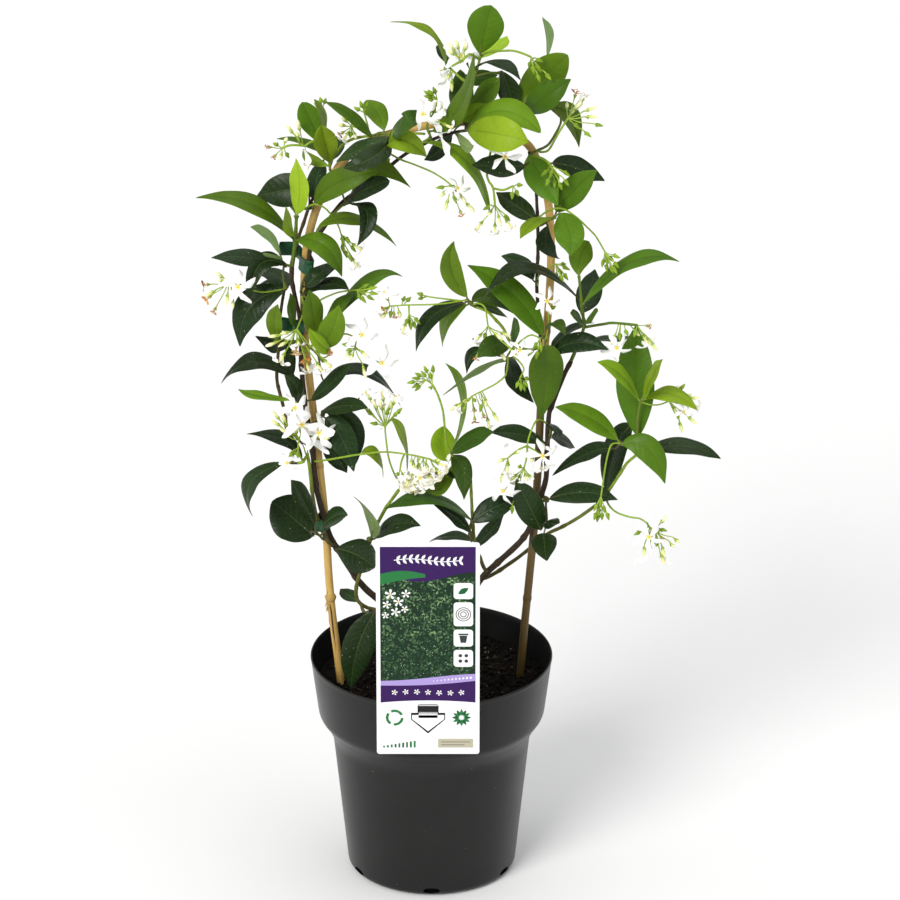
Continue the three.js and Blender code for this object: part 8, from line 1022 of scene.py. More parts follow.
m = Nodes("bark")
tint = m.attr("tint").outputs["Color"]
lc = m.attr("lc").outputs["Vector"]
x, y, z = m.split(lc)
streak = m.noise(m.join(m.math("MULTIPLY", x, 0.10), y, z), 2.2, 4, 0.6)
patch = m.noise(lc, 0.35, 3, 0.6)
v = m.voronoi(m.join(m.math("MULTIPLY", x, 0.35), y, z), 1.3)
lent = m.math("MULTIPLY", m.range(v[0], 0.22, 0.12), m.range(m.split(v[1])[0], 0.72, 0.78))
base = m.mix(m.range(streak, 0.35, 0.7), m.mix(1.0, tint, (0.45, 0.42, 0.4), "MULTIPLY"), m.mix(1.0, tint, (1.5, 1.45, 1.35), "MULTIPLY"))
base = m.mix(m.range(patch, 0.45, 0.75, 0.0, 0.45), base, m.mix(0.6, tint, (0.11, 0.08, 0.045)))
base = m.mix(m.math("MULTIPLY", lent, 0.6), base, (0.22, 0.16, 0.09))
m.set(Base_Color=base, Roughness=m.range(streak, 0.3, 0.7, 0.5, 0.78), Specular_IOR_Level=0.2)
m.bump(m.math("ADD", streak, m.math("MULTIPLY", lent, 0.5)), 0.7, 0.0006)

m = Nodes("petal")
tint = m.attr("tint").outputs["Color"]
n1 = m.noise(m.coords(), 420, 3, 0.5)
m.set(Base_Color=m.mix(m.range(n1, 0.4, 0.8, 0.0, 0.10), tint, m.mix(1.0, tint, (0.86, 0.84, 0.72), "MULTIPLY")), Roughness=m.range(n1, 0.2, 0.8, 0.48, 0.62))
m.set(Sheen_Weight=0.25, Sheen_Roughness=0.4)
m.bump(n1, 0.35, 0.0003)

m = Nodes("wither")
tint = m.attr("tint").outputs["Color"]
n1 = m.noise(m.coords(), 600, 4, 0.6)
m.set(Base_Color=m.mix(m.range(n1, 0.35, 0.7), m.mix(1.0, tint, (0.55, 0.45, 0.4), "MULTIPLY"), tint), Roughness=m.range(n1, 0.2, 0.8, 0.6, 0.8))
m.bump(n1, 0.8, 0.0006)

m = Nodes("bamboo")
lc = m.attr("lc").outputs["Vector"]
tint = m.attr("tint").outputs["Color"]
x, y, z = m.split(lc)
grain = m.noise(m.join(m.math("MULTIPLY", x, 0.018), y, z), 2.6, 5, 0.65)
fibre = m.noise(m.join(m.math("MULTIPLY", x, 0.03), y, z), 9.0, 3, 0.6)
blotch = m.noise(m.join(m.math("MULTIPLY", x, 0.12), y, z), 0.55, 4, 0.6, 0.4)
base = m.mix(m.range(grain, 0.3, 0.72), m.mix(1.0, tint, (0.78, 0.70, 0.58), "MULTIPLY"), m.mix(1.0, tint, (1.12, 1.10, 1.05), "MULTIPLY"))
base = m.mix(m.range(fibre, 0.5, 0.8, 0.0, 0.35), base, m.mix(1.0, tint, (0.5, 0.38, 0.24), "MULTIPLY"))
base = m.mix(m.range(blotch, 0.60, 0.74, 0.0, 0.55), base, (0.20, 0.12, 0.05))
m.set(Base_Color=base, Roughness=m.range(grain, 0.3, 0.7, 0.40, 0.58), Specular_IOR_Level=0.28)
m.bump(m.math("ADD", fibre, m.math("MULTIPLY", grain, 0.6)), 0.5, 0.0003)

m = Nodes("pot_plastic")
co = m.coords()
cloud = m.noise(co, 14, 4, 0.55)
grainy = m.noise(co, 1500, 2, 0.5)
x, y, z = m.split(co)
scuff = m.noise(m.join(m.math("MULTIPLY", x, 1.0), y, m.math("MULTIPLY", z, 7.0)), 60, 3, 0.7)
base = m.mix(m.range(cloud, 0.3, 0.7), (0.0060, 0.0061, 0.0060), (0.0092, 0.0093, 0.0091))
base = m.mix(m.range(grainy, 0.45, 0.8, 0.0, 0.30), base, (0.024, 0.024, 0.024))
base = m.mix(m.range(scuff, 0.66, 0.80, 0.0, 0.30), base, (0.050, 0.050, 0.050))
v = m.voronoi(co, 210)
dust = m.math("MULTIPLY", m.range(v[0], 0.11, 0.04), m.range(m.split(v[1])[0], 0.90, 0.93))
base = m.mix(m.math("MULTIPLY", dust, 0.5), base, (0.40, 0.37, 0.32))
m.set(Base_Color=base, Roughness=m.math("ADD", m.range(cloud, 0.3, 0.7, 0.30, 0.37), m.range(scuff, 0.6, 0.8, 0.0, 0.10)), Specular_IOR_Level=0.25)
m.bump(m.math("ADD", grainy, m.math("MULTIPLY", scuff, 0.25)), 0.30, 0.00018)

m = Nodes("soil")
tint = m.attr("tint").outputs["Color"]
co = m.coords()
n1 = m.noise(co, 300, 5, 0.7)
n2 = m.noise(co, 1400, 3, 0.7)
base = m.mix(m.range(n1, 0.3, 0.7), m.mix(1.0, tint, (0.35, 0.33, 0.3), "MULTIPLY"), m.mix(1.0, tint, (1.5, 1.45, 1.4), "MULTIPLY"))
base = m.mix(m.range(n2, 0.55, 0.8, 0.0, 0.25), base, m.mix(0.7, tint, (0.025, 0.018, 0.012)))
m.set(Base_Color=base, Roughness=m.range(n1, 0.3, 0.7, 0.65, 0.95), Specular_IOR_Level=0.1)
m.bump(m.math("ADD", n1, m.math("MULTIPLY", n2, 0.5)), 0.9, 0.0012)

m = Nodes("tie_plastic")
co = m.coords()
n1 = m.noise(co, 160, 3, 0.6)
m.set(Base_Color=m.mix(m.range(n1, 0.3, 0.7), (0.007, 0.050, 0.018), (0.014, 0.088, 0.033)), Roughness=m.range(n1, 0.3, 0.7, 0.26, 0.40), Specular_IOR_Level=0.3)
m.bump(n1, 0.4, 0.0004)

m = Nodes("label_card")
n1 = m.noise(m.coords(), 1200, 3, 0.5)
m.set(Base_Color=m.mix(m.range(n1, 0.4, 0.8, 0.0, 0.2), (0.80, 0.80, 0.81), (0.74, 0.74, 0.745)), Roughness=0.42, Specular_IOR_Level=0.3)
m.bump(n1, 0.12, 0.0001)

m = Nodes("label_ink")
tint = m.attr("tint").outputs["Color"]
n1 = m.noise(m.coords(), 1500, 3, 0.5)
m.set(Base_Color=m.mix(m.range(n1, 0.35, 0.8, 0.0, 0.05), tint, m.mix(0.5, tint, (0.5, 0.5, 0.5))), Roughness=0.5, Specular_IOR_Level=0.1)
m.bump(n1, 0.1, 0.00008)

m = Nodes("floor")
n1 = m.noise(m.coords(), 3, 3, 0.5)
m.set(Base_Color=m.mix(n1, (0.86, 0.86, 0.86), (0.88, 0.88, 0.88)), Roughness=0.65)


# ------------------------------------------------------------------ leaves
SHADES = {  # upper side, linear; alpha is how old and dark the leaf is
    "y": ((0.340, 0.490, 0.026), 0.0),
    "l": ((0.185, 0.315, 0.0110), 0.1),
    "m": ((0.080, 0.162, 0.0050), 0.3),
    "k": ((0.036, 0.082, 0.0056), 0.6),
    "d": ((0.0105, 0.0265, 0.0064), 1.0),
    "u": ((0.150, 0.225, 0.075), 0.3),
    "n": ((0.052, 0.122, 0.0045), 0.4),
}
STALK = {"n": (0.12, 0.16, 0.03), "y": (0.34, 0.46, 0.06), "l": (0.24, 0.34, 0.05), "m": (0.15, 0.20, 0.035), "k": (0.10, 0.11, 0.03), "d": (0.075, 0.065, 0.025), "u": (0.12, 0.16, 0.04)}


def outline(t, kind):
    a, b, tp, tl = {"e": (0.92, 0.74, 0.66, 0.24), "o": (1.38, 0.62, 1.0, 0.1), "v": (0.72, 0.70, 0.74, 0.26), "r": (0.95, 0.58, 0.88, 0.16)}[kind]
    x = np.power(np.clip(np.sin(np.pi * np.power(np.clip(t, 0, 1), a)), 0, 1), b)
    return x * (tp + (1 - tp) * smooth((1 - t) / tl))


ACROSS = np.array([-1, -0.93, -0.78, -0.56, -0.33, -0.13, 0, 0.13, 0.33, 0.56, 0.78, 0.93, 1])


def leaf(part, name, base, middle, tip, across, width, fold, kind, shade, petiole, rnd):
    P0, P1, P2, S = (np.array(q, float) for q in (base, middle, tip, across))
    C = 2 * P1 - (P0 + P2) / 2
    nt = 26
    t = np.linspace(0, 1, nt)
    t = 0.5 * (t + smooth(t)) if kind != "o" else t
    T = t[:, None]
    P = (1 - T) ** 2 * P0 + 2 * T * (1 - T) * C + T**2 * P2
    D = 2 * (1 - T) * (C - P0) + 2 * T * (P2 - C)
    D /= np.linalg.norm(D, axis=1)[:, None] + 1e-9
    s = S - (D @ S)[:, None] * D
    s /= np.linalg.norm(s, axis=1)[:, None]
    n = np.cross(D, s)
    L = lengths(P)[-1]
    h = (width / 2) * outline(t, kind)
    h = h * (1 + 0.018 * wob(t * 11, name + "w"))
    h = np.maximum(h, 0.0)
    a = ACROSS[None, :]
    fo = math.radians(fold) + math.radians(rnd.uniform(4.0, 11.0))
    # a gentle S to the blade, margins turned down, and an uneven wave along them
    lat = rnd.uniform(-0.5, 0.5) * np.sin(np.pi * t)
    side = h[:, None] * (a * math.cos(fo)) + lat[:, None]
    up = h[:, None] * (np.abs(a) * math.sin(fo) - 0.17 * np.abs(a) ** 2.4)
    ph = rnd.uniform(0, 6.28)
    amp = min(0.8, 0.030 * width) * rnd.uniform(0.5, 1.2)
    wave = amp * np.abs(a) ** 2 * np.sin(t[:, None] * rnd.uniform(8, 13) + ph + 1.4 * np.sign(a))
    up = up + wave * np.sin(np.pi * t)[:, None] ** 0.5
    # quilting: the blade rises between the side veins
    q = (lengths(P)[:, None] - 0.62 * np.abs(side) ** 1.12) / 5.4
    up = up + 0.10 * np.sin(2 * np.pi * q) * np.clip(1 - np.abs(np.abs(a) * 2 - 1), 0, 1) * smooth(h[:, None], 1, 6)
    G = P[:, None] + s[:, None] * side[..., None] + n[:, None] * up[..., None]
    th = 0.21 * np.minimum(1, h / 1.5)[:, None] * (1 - np.abs(a) ** 4)
    groove = np.where(np.abs(a) < 0.05, -0.16, 0.0) * np.minimum(1, h / 2.5)[:, None]
    rib = np.where(np.abs(a) < 0.05, 0.42 * (1 - 0.75 * t)[:, None], 0.0)
    top = G + n[:, None] * (th + groove)[..., None]
    bot = G - n[:, None] * (th + rib)[..., None]
    col, age = SHADES[shade]
    k = rnd.uniform(-1, 1)
    col = np.array(col) * (1 + 0.22 * k) * np.array([1 + 0.14 * rnd.uniform(-1, 1), 1, 1 + 0.15 * rnd.uniform(-1, 1)])
    if shade == "d" and rnd.random() < 0.25:
        col = col * 1.6
    # the base of the blade is a little yellower, the margin a little lighter
    tt = np.empty((nt, len(ACROSS), 4))
    tt[..., :3] = col
    tt[..., :3] *= (1 + 0.25 * np.exp(-t * 9))[:, None, None]
    tt[..., :3] += (np.array([0.020, 0.020, 0.003]) * (0.25 + col.mean() * 3)) * (np.abs(a) > 0.97)[..., None]
    tt[..., 3] = age
    lc = np.stack([np.repeat(lengths(P)[:, None], len(ACROSS), 1), side - lat[:, None], np.repeat(t[:, None], len(ACROSS), 1)], -1)
    shell(part, top, bot, "leaf_top", "leaf_under", tt, tt, lc)
    # petiole, running into the midrib
    pe = [np.array(p, float) for p in petiole[:-1]]
    e1 = P[2] - n[2] * 0.15
    e2 = P[min(6, nt - 1)] - n[6] * 0.28
    path = catmull(np.array(pe + [e1, e2]), 1.6)
    d = lengths(path) / lengths(path)[-1]
    R = np.interp(d, [0, 0.12, 0.5, 0.8, 1], [1.15, 0.85, 0.72, 0.62, 0.25]) * (1.0 if width > 16 else 0.8)
    sc = np.array(STALK[shade]) * (1 + 0.15 * k)
    tube(part, path, R, 7, "stalk", sc)


# ------------------------------------------------------------------ flowers
FRESH = WHITE = np.array([0.955, 0.955, 0.925])
THROAT = np.array([0.84, 0.64, 0.055])
TUBEC = np.array([0.60, 0.66, 0.115])
GREENB = np.array([0.225, 0.360, 0.022])
CALYX = np.array([0.20, 0.32, 0.022])


def basis(N, roll=0.0):
    N = unit(N)
    e = unit(np.cross(N, [0.3, 0.1, 1.0] if abs(N[2]) < 0.95 else [1.0, 0, 0]))
    g = np.cross(N, e)
    return e * math.cos(roll) + g * math.sin(roll), -e * math.sin(roll) + g * math.cos(roll), N


def petal(part, O, E, G, N, r, rnd, droop, mat="petal", tintf=None, start=0.7):
    """one pinwheel petal: E points out, G round, N up"""
    nu, nv = 10, 7
    u = np.linspace(0, 1, nu)[:, None]
    v = np.linspace(-1, 1, nv)[None, :]
    w = r * (0.062 + 0.172 * smooth(u, 0.05, 0.78)) * (1 - 0.60 * smooth(u, 0.84, 1.0))
    shift = r * 0.21 * u**1.8
    rho = start + (r - start) * (u + 0.11 * (v - 0.15) * smooth(u, 0.5, 1) - 0.05 * (v**2) * smooth(u, 0.6, 1))
    lat = shift + v * w
    k1, k2 = rnd.uniform(0.7, 1.3), rnd.uniform(-0.6, 0.6)
    z = r * (0.13 * np.sin(np.pi * np.clip(u * 0.95, 0, 1)) - droop * u**2.2) + v * w * (0.16 + 0.32 * u) * k1 + 0.045 * r * np.sin(v * 2.6 + k2 * 3 + u * 4) * u
    z = z - 0.10 * r * (v**2) * u * rnd.uniform(0.2, 1.2)
    # where the petal leaves the tube it stands up
    z = z - 0.45 * (1 - smooth(u, 0, 0.14))
    Q = O + E * rho[..., None] + G * lat[..., None] + N * z[..., None]
    dn = N[None, None, :]
    th = 0.14 * (1 - np.abs(v) ** 4) * np.minimum(1, 4 * (1 - u) + 0.15)
    top, bot = Q + dn * th[..., None], Q - dn * th[..., None]
    if tintf is None:
        f1 = smooth(u + 0 * v, 0.0, 0.10)[..., None]
        f2 = smooth(u + 0 * v, 0.04, 0.24)[..., None]
        c = THROAT * (1 - f1) + np.array([0.86, 0.82, 0.48]) * f1
        c = c * (1 - f2) + WHITE * f2
        c = c * (1 - 0.05 * rnd.random())
    else:
        c = np.broadcast_to(tintf, (nu, nv, 3))
    lc = np.stack([rho + 0 * v, lat, u + 0 * v], -1)
    shell(part, top, bot, mat, mat, c, c, lc)


def calyx(part, at, N, rnd, size=1.0):
    """five small sepals and the swelling they stand on"""
    e, g, N = basis(N, rnd.uniform(0, 6.28))
    tube(part, np.array([at - N * 1.0 * size, at - N * 0.2, at + N * 0.9 * size, at + N * 1.6 * size]), np.array([0.5, 0.95, 1.05, 0.8]) * size, 8, "stalk", CALYX)
    for i in range(5):
        a = i * 2 * math.pi / 5
        d = e * math.cos(a) + g * math.sin(a)
        b = at + N * 0.6 * size + d * 0.85 * size
        P = np.array([b, b + (N * 1.1 + d * 0.35) * size, b + (N * 2.0 + d * 0.85) * size, b + (N * 2.7 + d * 1.5) * size])
        tube(part, P, np.array([0.42, 0.46, 0.32, 0.10]) * size, 5, "stalk", CALYX * rnd.uniform(0.9, 1.25))


def stalk_to(part, A, cal, N, r0, r1, tint, rnd):
    """a pedicel from its foot to the calyx, arriving along the flower's own axis"""
    A, cal = np.asarray(A, float), np.asarray(cal, float)
    d = np.linalg.norm(cal - A)
    if d < 0.6:
        return
    m1 = A + (cal - A) * 0.45 - np.array([0, 0, 0.05 * d]) + np.array([rnd.uniform(-1, 1), rnd.uniform(-1, 1), 0]) * 0.02 * d
    m2 = cal - unit(N) * min(2.5, 0.3 * d)
    P = catmull(np.array([A, m1, m2, cal]), 1.6)
    s = np.linspace(0, 1, len(P))
    tube(part, P, np.interp(s, [0, 0.1, 0.85, 1], [r0 * 1.35, r0, r1, r1 * 1.25]), 6, "stalk", tint)


def open_flower(part, A, cal, c, N, r, rnd):
    A, cal, c = (np.asarray(q, float) for q in (A, cal, c))
    e, g, N = basis(N, rnd.uniform(0, 6.28))
    ax = unit(c - cal)
    stalk_to(part, A, cal, ax, 0.42, 0.48, np.array([0.28, 0.42, 0.035]) * rnd.uniform(0.85, 1.2), rnd)
    calyx(part, cal, ax, rnd, 0.85)
    # tube: narrow foot, swollen upper half, contracted mouth
    L = np.linalg.norm(c - cal)
    s = np.linspace(0, 1, 9)
    P = cal + (c - cal) * s[:, None]
    R = np.interp(s, [0, 0.35, 0.62, 0.85, 1], [0.72, 0.78, 1.22, 0.98, 1.02])
    f = smooth(s, 0.2, 1)[:, None]
    tube(part, P[:-1], R[:-1], 10, "petal", (TUBEC * (1 - f) + np.array([0.86, 0.84, 0.52]) * f)[:-1])
    droop = rnd.uniform(0.10, 0.34)
    for i in range(5):
        a = i * 2 * math.pi / 5 + rnd.uniform(-0.10, 0.10)
        E = e * math.cos(a) + g * math.sin(a)
        G = -e * math.sin(a) + g * math.cos(a)
        petal(part, c, E, G, N, r * rnd.uniform(0.93, 1.07), rnd, droop + rnd.uniform(-0.06, 0.10))
    # the mouth, with the tips of the anthers just showing
    tube(part, np.array([c - N * 1.2, c - N * 0.3, c + N * 0.10, c + N * 0.45]), [0.95, 1.05, 0.62, 0.28], 9, "petal", np.array([[0.76, 0.74, 0.28], [0.84, 0.68, 0.08], [0.82, 0.58, 0.04], [0.66, 0.46, 0.03]]))


def closed_bud(part, A, cal, tip, rnd, big):
    A, cal, tip = (np.asarray(q, float) for q in (A, cal, tip))
    N = unit(tip - cal)
    L = np.linalg.norm(tip - cal)
    green = np.array([0.31, 0.44, 0.055]) * rnd.uniform(0.85, 1.2)
    stalk_to(part, A, cal, N, 0.42, 0.50, green, rnd)
    if big:
        calyx(part, cal, N, rnd, 0.8)
        s = np.linspace(0, 1, 12)
        bend = np.cross(N, [rnd.uniform(-1, 1), rnd.uniform(-1, 1), rnd.uniform(-1, 1)]) * L * 0.05
        P = cal + (tip - cal) * s[:, None] + bend * np.sin(np.pi * s)[:, None]
        kind = rnd.random()
        if kind < 0.7:      # spindle with a twisted pale point
            R = np.interp(s, [0, 0.25, 0.5, 0.68, 0.88, 1], [0.85, 0.98, 1.60, 1.38, 0.78, 0.22])
            f = smooth(s, 0.15, 0.8)[:, None]
            col = np.array([0.50, 0.62, 0.11]) * (1 - f) + np.array([0.86, 0.85, 0.42]) * f
        else:               # a tube whose petals have dropped or not yet opened, cream
            R = np.interp(s, [0, 0.3, 0.6, 0.85, 1], [0.82, 0.98, 1.65, 1.35, 0.9])
            f = smooth(s, 0.1, 0.8)[:, None]
            col = TUBEC * (1 - f) + np.array([0.90, 0.87, 0.55]) * f
        tube(part, P, R, 9, "petal", col)
    else:
        s = np.linspace(0, 1, 8)
        P = cal + (tip - cal) * s[:, None] * 1.05
        R = np.interp(s, [0, 0.3, 0.6, 1], [0.95, 1.62, 1.30, 0.22])
        tube(part, P, R, 8, "stalk", GREENB * rnd.uniform(0.8, 1.2))
        e, g, N = basis(N, rnd.uniform(0, 6.28))
        for i in range(3):
            a = i * 2.1
            d = e * math.cos(a) + g * math.sin(a)
            b = cal + d * 0.7
            tube(part, np.array([b, b + N * 0.9 + d * 0.75, b + N * 1.9 + d * 1.45]), [0.52, 0.52, 0.12], 5, "stalk", CALYX * rnd.uniform(0.9, 1.3))


def withered(part, A, cal, c, size, rnd):
    A, cal, c = (np.asarray(q, float) for q in (A, cal, c))
    N = unit(c - cal)
    size = size * 1.45
    stalk_to(part, A, cal, N, 0.38, 0.44, np.array([0.27, 0.38, 0.035]), rnd)
    calyx(part, cal, N, rnd, 0.75)
    tube(part, np.array([cal, (cal + c) / 2, c]), [0.7, 0.95, 0.7], 8, "wither", np.array([0.66, 0.50, 0.18]))
    e, g, N = basis(N, rnd.uniform(0, 6.28))
    for i in range(4):
        a = i * 1.6 + rnd.uniform(-0.3, 0.3)
        d = e * math.cos(a) + g * math.sin(a)
        k = unit(np.cross(N, d))
        n = 9
        u = np.linspace(0, 1, n)
        curl = rnd.uniform(2.0, 4.0)
        P = c + np.outer(size * (0.2 * u + 0.55 * np.sin(u * curl) / curl * 2), d) + np.outer(size * (0.55 * u * (1 - 0.3 * u)) * rnd.uniform(0.4, 1), N) + np.outer(size * 0.25 * np.sin(u * 5 + i), k)
        w = size * 0.20 * np.sin(np.pi * (0.12 + 0.84 * u))
        v = np.linspace(-1, 1, 4)
        roll = 1.2 * u * rnd.uniform(-1, 1)
        side = k[None] * np.cos(roll)[:, None] + N[None] * np.sin(roll)[:, None]
        Q = P[:, None] + side[:, None] * (v[None, :, None] * w[:, None, None]) + N * (0.25 * w[:, None] * (v[None] ** 2))[..., None]
        dn = d * 0.10
        c1 = np.array([0.72, 0.29, 0.050]) * rnd.uniform(0.6, 1.25)
        if rnd.random() < 0.3:
            c1 = np.array([0.84, 0.60, 0.26])
        lc = np.zeros((n, 4, 3))
        shell(part, Q + dn, Q - dn, "wither", "wither", c1, c1, lc)


def loose_petal(part, b, t, width, rnd):
    b, t = np.asarray(b, float), np.asarray(t, float)
    d = t - b
    L = np.linalg.norm(d)
    E = unit(d)
    view = unit(b - np.array([15.3, -3613, 1906]))
    G = unit(np.cross(view, E))
    N = np.cross(E, G)
    roll = rnd.uniform(-0.5, 0.5)
    G, N = G * math.cos(roll) + N * math.sin(roll), -G * math.sin(roll) + N * math.cos(roll)
    petal(part, b, E, G, N, L, rnd, 0.12, tintf=WHITE * rnd.uniform(0.9, 1.0), start=0.0)


# ------------------------------------------------------------------ growths
LEAFMATS = ["leaf_top", "leaf_under", "stalk", "petal", "wither"]
made = {}
THICK = {"shoot_left_green": 1.5, "shoot_right_top": 1.25}
for name, sp in SPRAYS.items():
    rnd = random.Random(name)
    part = Part(LEAFMATS)
    young = sum(q[7] in "ylu" for q in sp["leaves"]) + 0.5 * sum(q[7] == "m" for q in sp["leaves"])
    young = young / max(1, len(sp["leaves"]))
    flowers = name.startswith(("flowers", "buds"))
    WHITE = FRESH * ((1, 0.965, 0.85) if name == "flowers_big_bunch" else (1, 1, 1))
    for i, (r0, r1, kind, path) in enumerate(sp["twigs"]):
        P = catmull(np.array(path), 2.2)
        s = lengths(P)
        f = s / s[-1]
        R = r0 + (r1 - r0) * f
        R = R * (1 + 0.06 * wob(s * 0.35, name + str(i)))
        # little swellings where leaves and stalks leave
        for q in sp["leaves"]:
            dd = np.linalg.norm(P - np.array(q[8][0]), axis=1)
            if dd.min() < 3:
                R = R * (1 + 0.38 * np.exp(-((dd / 1.7) ** 2)))
        if kind == "p" or flowers:
            c0, c1 = np.array([0.22, 0.34, 0.026]), np.array([0.29, 0.44, 0.032])
            R = R * 0.90
        else:
            brown, green = np.array([0.060, 0.044, 0.018]), np.array([0.17, 0.27, 0.025])
            g = min(1.0, 0.22 + 0.95 * young)
            c1 = brown * (1 - g) + green * g
            c0 = 0.7 * c1 + 0.3 * brown
            ends = [np.linalg.norm(np.array(q[1], float) - P[-1]) for q in sp["items"] if q[0] != "p"]
            if ends and min(ends) < 9:
                c0, c1 = np.array([0.20, 0.31, 0.026]), np.array([0.26, 0.40, 0.030])
            if name in THICK:
                c0, c1, R = np.array([0.085, 0.140, 0.014]), np.array([0.115, 0.200, 0.018]), R * THICK[name]
        col = c0 * (1 - f[:, None]) + c1 * f[:, None]
        tube(part, P, R, 8, "stalk", col, end=(0.2, 0.9))
    for j, q in enumerate(sp["leaves"]):
        leaf(part, name + str(j), *q, rnd)
    for q in sp["items"]:
        k = q[0]
        if k in "os":
            open_flower(part, *q[1:], rnd)
        elif k in "tb":
            closed_bud(part, *q[1:], rnd, k == "t")
        elif k == "w":
            withered(part, *q[1:], rnd)
        elif k == "p":
            loose_petal(part, q[2], q[3], q[4], rnd)
    ob = part.build(name + "_grown")
    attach(ob, "root")
    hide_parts(name)
    made[name] = ob

# ------------------------------------------------------------------ vines
BARK = {"dark": (0.036, 0.024, 0.015), "brown": (0.092, 0.062, 0.026), "olive": (0.090, 0.078, 0.020), "green": (0.240, 0.370, 0.030)}
for name, r0, r1, kind, path in STEMS:
    rnd = random.Random(name)
    P = catmull(np.array(path), 2.0)
    s = lengths(P)
    f = s / s[-1]
    R = (r0 + (r1 - r0) * f) * (1 + 0.05 * wob(s * 0.22, name))
    pos = rnd.uniform(14, 26)
    while pos < s[-1] - 4:      # nodes: a pair of old leaf scars
        R = R * (1 + 0.22 * np.exp(-(((s - pos) / 2.0) ** 2)))
        pos += rnd.uniform(28, 46)
    P = P + np.stack([wob(s * 0.12, name + "x"), wob(s * 0.12, name + "y"), 0 * s], -1) * 0.35 * np.minimum(1, s / 10)[:, None]
    c = np.array(BARK[kind])
    tips = np.array(BARK["green"]) if kind in ("olive", "green") else c * 1.15
    col = c * (1 - f[:, None] ** 2) + tips * f[:, None] ** 2
    part = Part(["bark"])
    tube(part, P, R, 12, "bark", col, end=(0.3, 0.8))
    ob = part.build(name + "_bark", 70)
    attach(ob, "root"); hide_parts(name)

# ------------------------------------------------------------------ bamboo hoop
part = Part(["bamboo"])
P = catmull(np.array(HOOP), 2.0)
s = lengths(P)
R = np.full(len(P), 3.25)
nodes = []
left_node = int(np.argmin(np.abs(P[:, 2] - 245) + (P[:, 0] > 0) * 1e4))     # the frayed node on the left leg
pos = s[left_node]
step = 118.0
k = pos
while k > 20: k -= step
while k < s[-1] - 10:
    nodes.append(k)
    k += step
tan = np.array([0.560, 0.380, 0.118])
# colour along the cane: the right leg below about 480 mm is painted much darker as the shade it stands in among the
# leaves; the upper left arc is a little darker, partly weathering and partly painted shade; a small random change of
# tone runs all along
col = np.tile(tan, (len(P), 1)) * (1 - 0.80 * (smooth(P[:, 2], 480, 420) * (P[:, 0] > 20)))[:, None] * (1 - 0.22 * smooth(P[:, 2], 540, 585) * (P[:, 0] < -15))[:, None] * (1 + 0.07 * wob(s * 0.05, "cane"))[:, None]
for k in nodes:
    d = s - k
    R = R * (1 + 0.13 * np.exp(-((d / 2.2) ** 2)) - 0.03 * np.exp(-(((d - 4.5) / 1.6) ** 2)))
    col = col * (1 - 0.38 * np.exp(-((d / 1.3) ** 2)))[:, None] * (1 + 0.10 * np.exp(-(((d - 5) / 6) ** 2)))[:, None]
# painted shade: the cane is darker from just under the pot's rim down to the soil, as the shade inside the pot
low = smooth(P[:, 2], 168, 185)[:, None]
col = col * (0.80 + 0.20 * low)
tube(part, P, R, 18, "bamboo", col, end=(0.05, 0.05))
# frayed fibres that have split away below the node
rnd = random.Random("fray")
O = P[left_node]
Tn = unit(P[left_node + 2] - P[left_node - 2])
for i in range(13):
    a = math.pi + rnd.uniform(-0.9, 0.9)
    d = np.array([math.cos(a), math.sin(a) * 0.8 - 0.35, 0])
    d = unit(d)
    up = rnd.uniform(-9, 3)
    st = O + Tn * (up) + d * 3.0
    L = rnd.uniform(3.5, 8.5)
    u = np.linspace(0, 1, 7)[:, None]
    Q = st + (-Tn) * L * u * rnd.uniform(0.5, 1.0) + d * (L * 0.55 * u**1.5 * rnd.uniform(0.4, 1.1)) + np.array([0, 0, 0.4]) * np.sin(u * 5 + i)
    tube(part, Q, np.interp(u[:, 0], [0, 0.5, 1], [0.42, 0.30, 0.08]) * rnd.uniform(0.7, 1.3), 5, "bamboo", tan * rnd.uniform(0.65, 1.05))
# the torn sheath still lying on the cane under the node
for i, (za, zb, an, w) in enumerate([(-2, -26, 3.5, 0.9), (-4, -40, 4.3, 0.7), (-3, -20, 2.7, 0.6), (2, 9, 3.9, 0.7)]):
    n = 14
    u = np.linspace(0, 1, n)
    idx = np.interp(za + (zb - za) * u, s - s[left_node], np.arange(len(s)))
    base = np.stack([np.interp(idx, np.arange(len(s)), P[:, k]) for k in range(3)], -1)
    d = np.array([math.cos(an), math.sin(an), 0.0])
    Q = base + d * (3.28 + 0.25 * np.sin(u * 9 + i))[:, None]
    tube(part, Q, np.interp(u, [0, 0.2, 0.8, 1], [0.3, w * 0.5, w * 0.4, 0.08]), 5, "bamboo", tan * (0.55 if i == 1 else 0.82))
# the node itself: a thick ridge, and a long tear down the front of the cane below it: a near-black strip laid in the
# split as painted shade, with a paler raised edge beside it
fz = np.array([0.1, -0.995, 0.0])
ringp = np.array([O + Tn * z for z in (-3.4, -1.6, 0.0, 1.5, 3.2)])
tube(part, ringp, np.array([3.3, 4.3, 4.75, 4.2, 3.3]), 18, "bamboo", tan * 0.80)
n = 22
u = np.linspace(0, 1, n)
idx = np.interp(s[left_node] - 5 - 44 * u if P[left_node + 1, 2] > P[left_node, 2] else s[left_node] + 5 + 44 * u, s, np.arange(len(s)))
base = np.stack([np.interp(idx, np.arange(len(s)), P[:, k]) for k in range(3)], -1)
Q = base + np.array([math.cos(4.55), math.sin(4.55), 0]) * 3.12
# painted shade: this near-black strip stands for the shadow inside the split
tube(part, Q, np.interp(u, [0, 0.15, 0.6, 1], [0.25, 0.75, 0.55, 0.08]), 5, "bamboo", np.array([0.045, 0.026, 0.010]))
Q = base + np.array([math.cos(4.25), math.sin(4.25), 0]) * 3.35
tube(part, Q, np.interp(u, [0, 0.15, 0.6, 1], [0.35, 0.70, 0.45, 0.08]), 5, "bamboo", tan * 0.92)
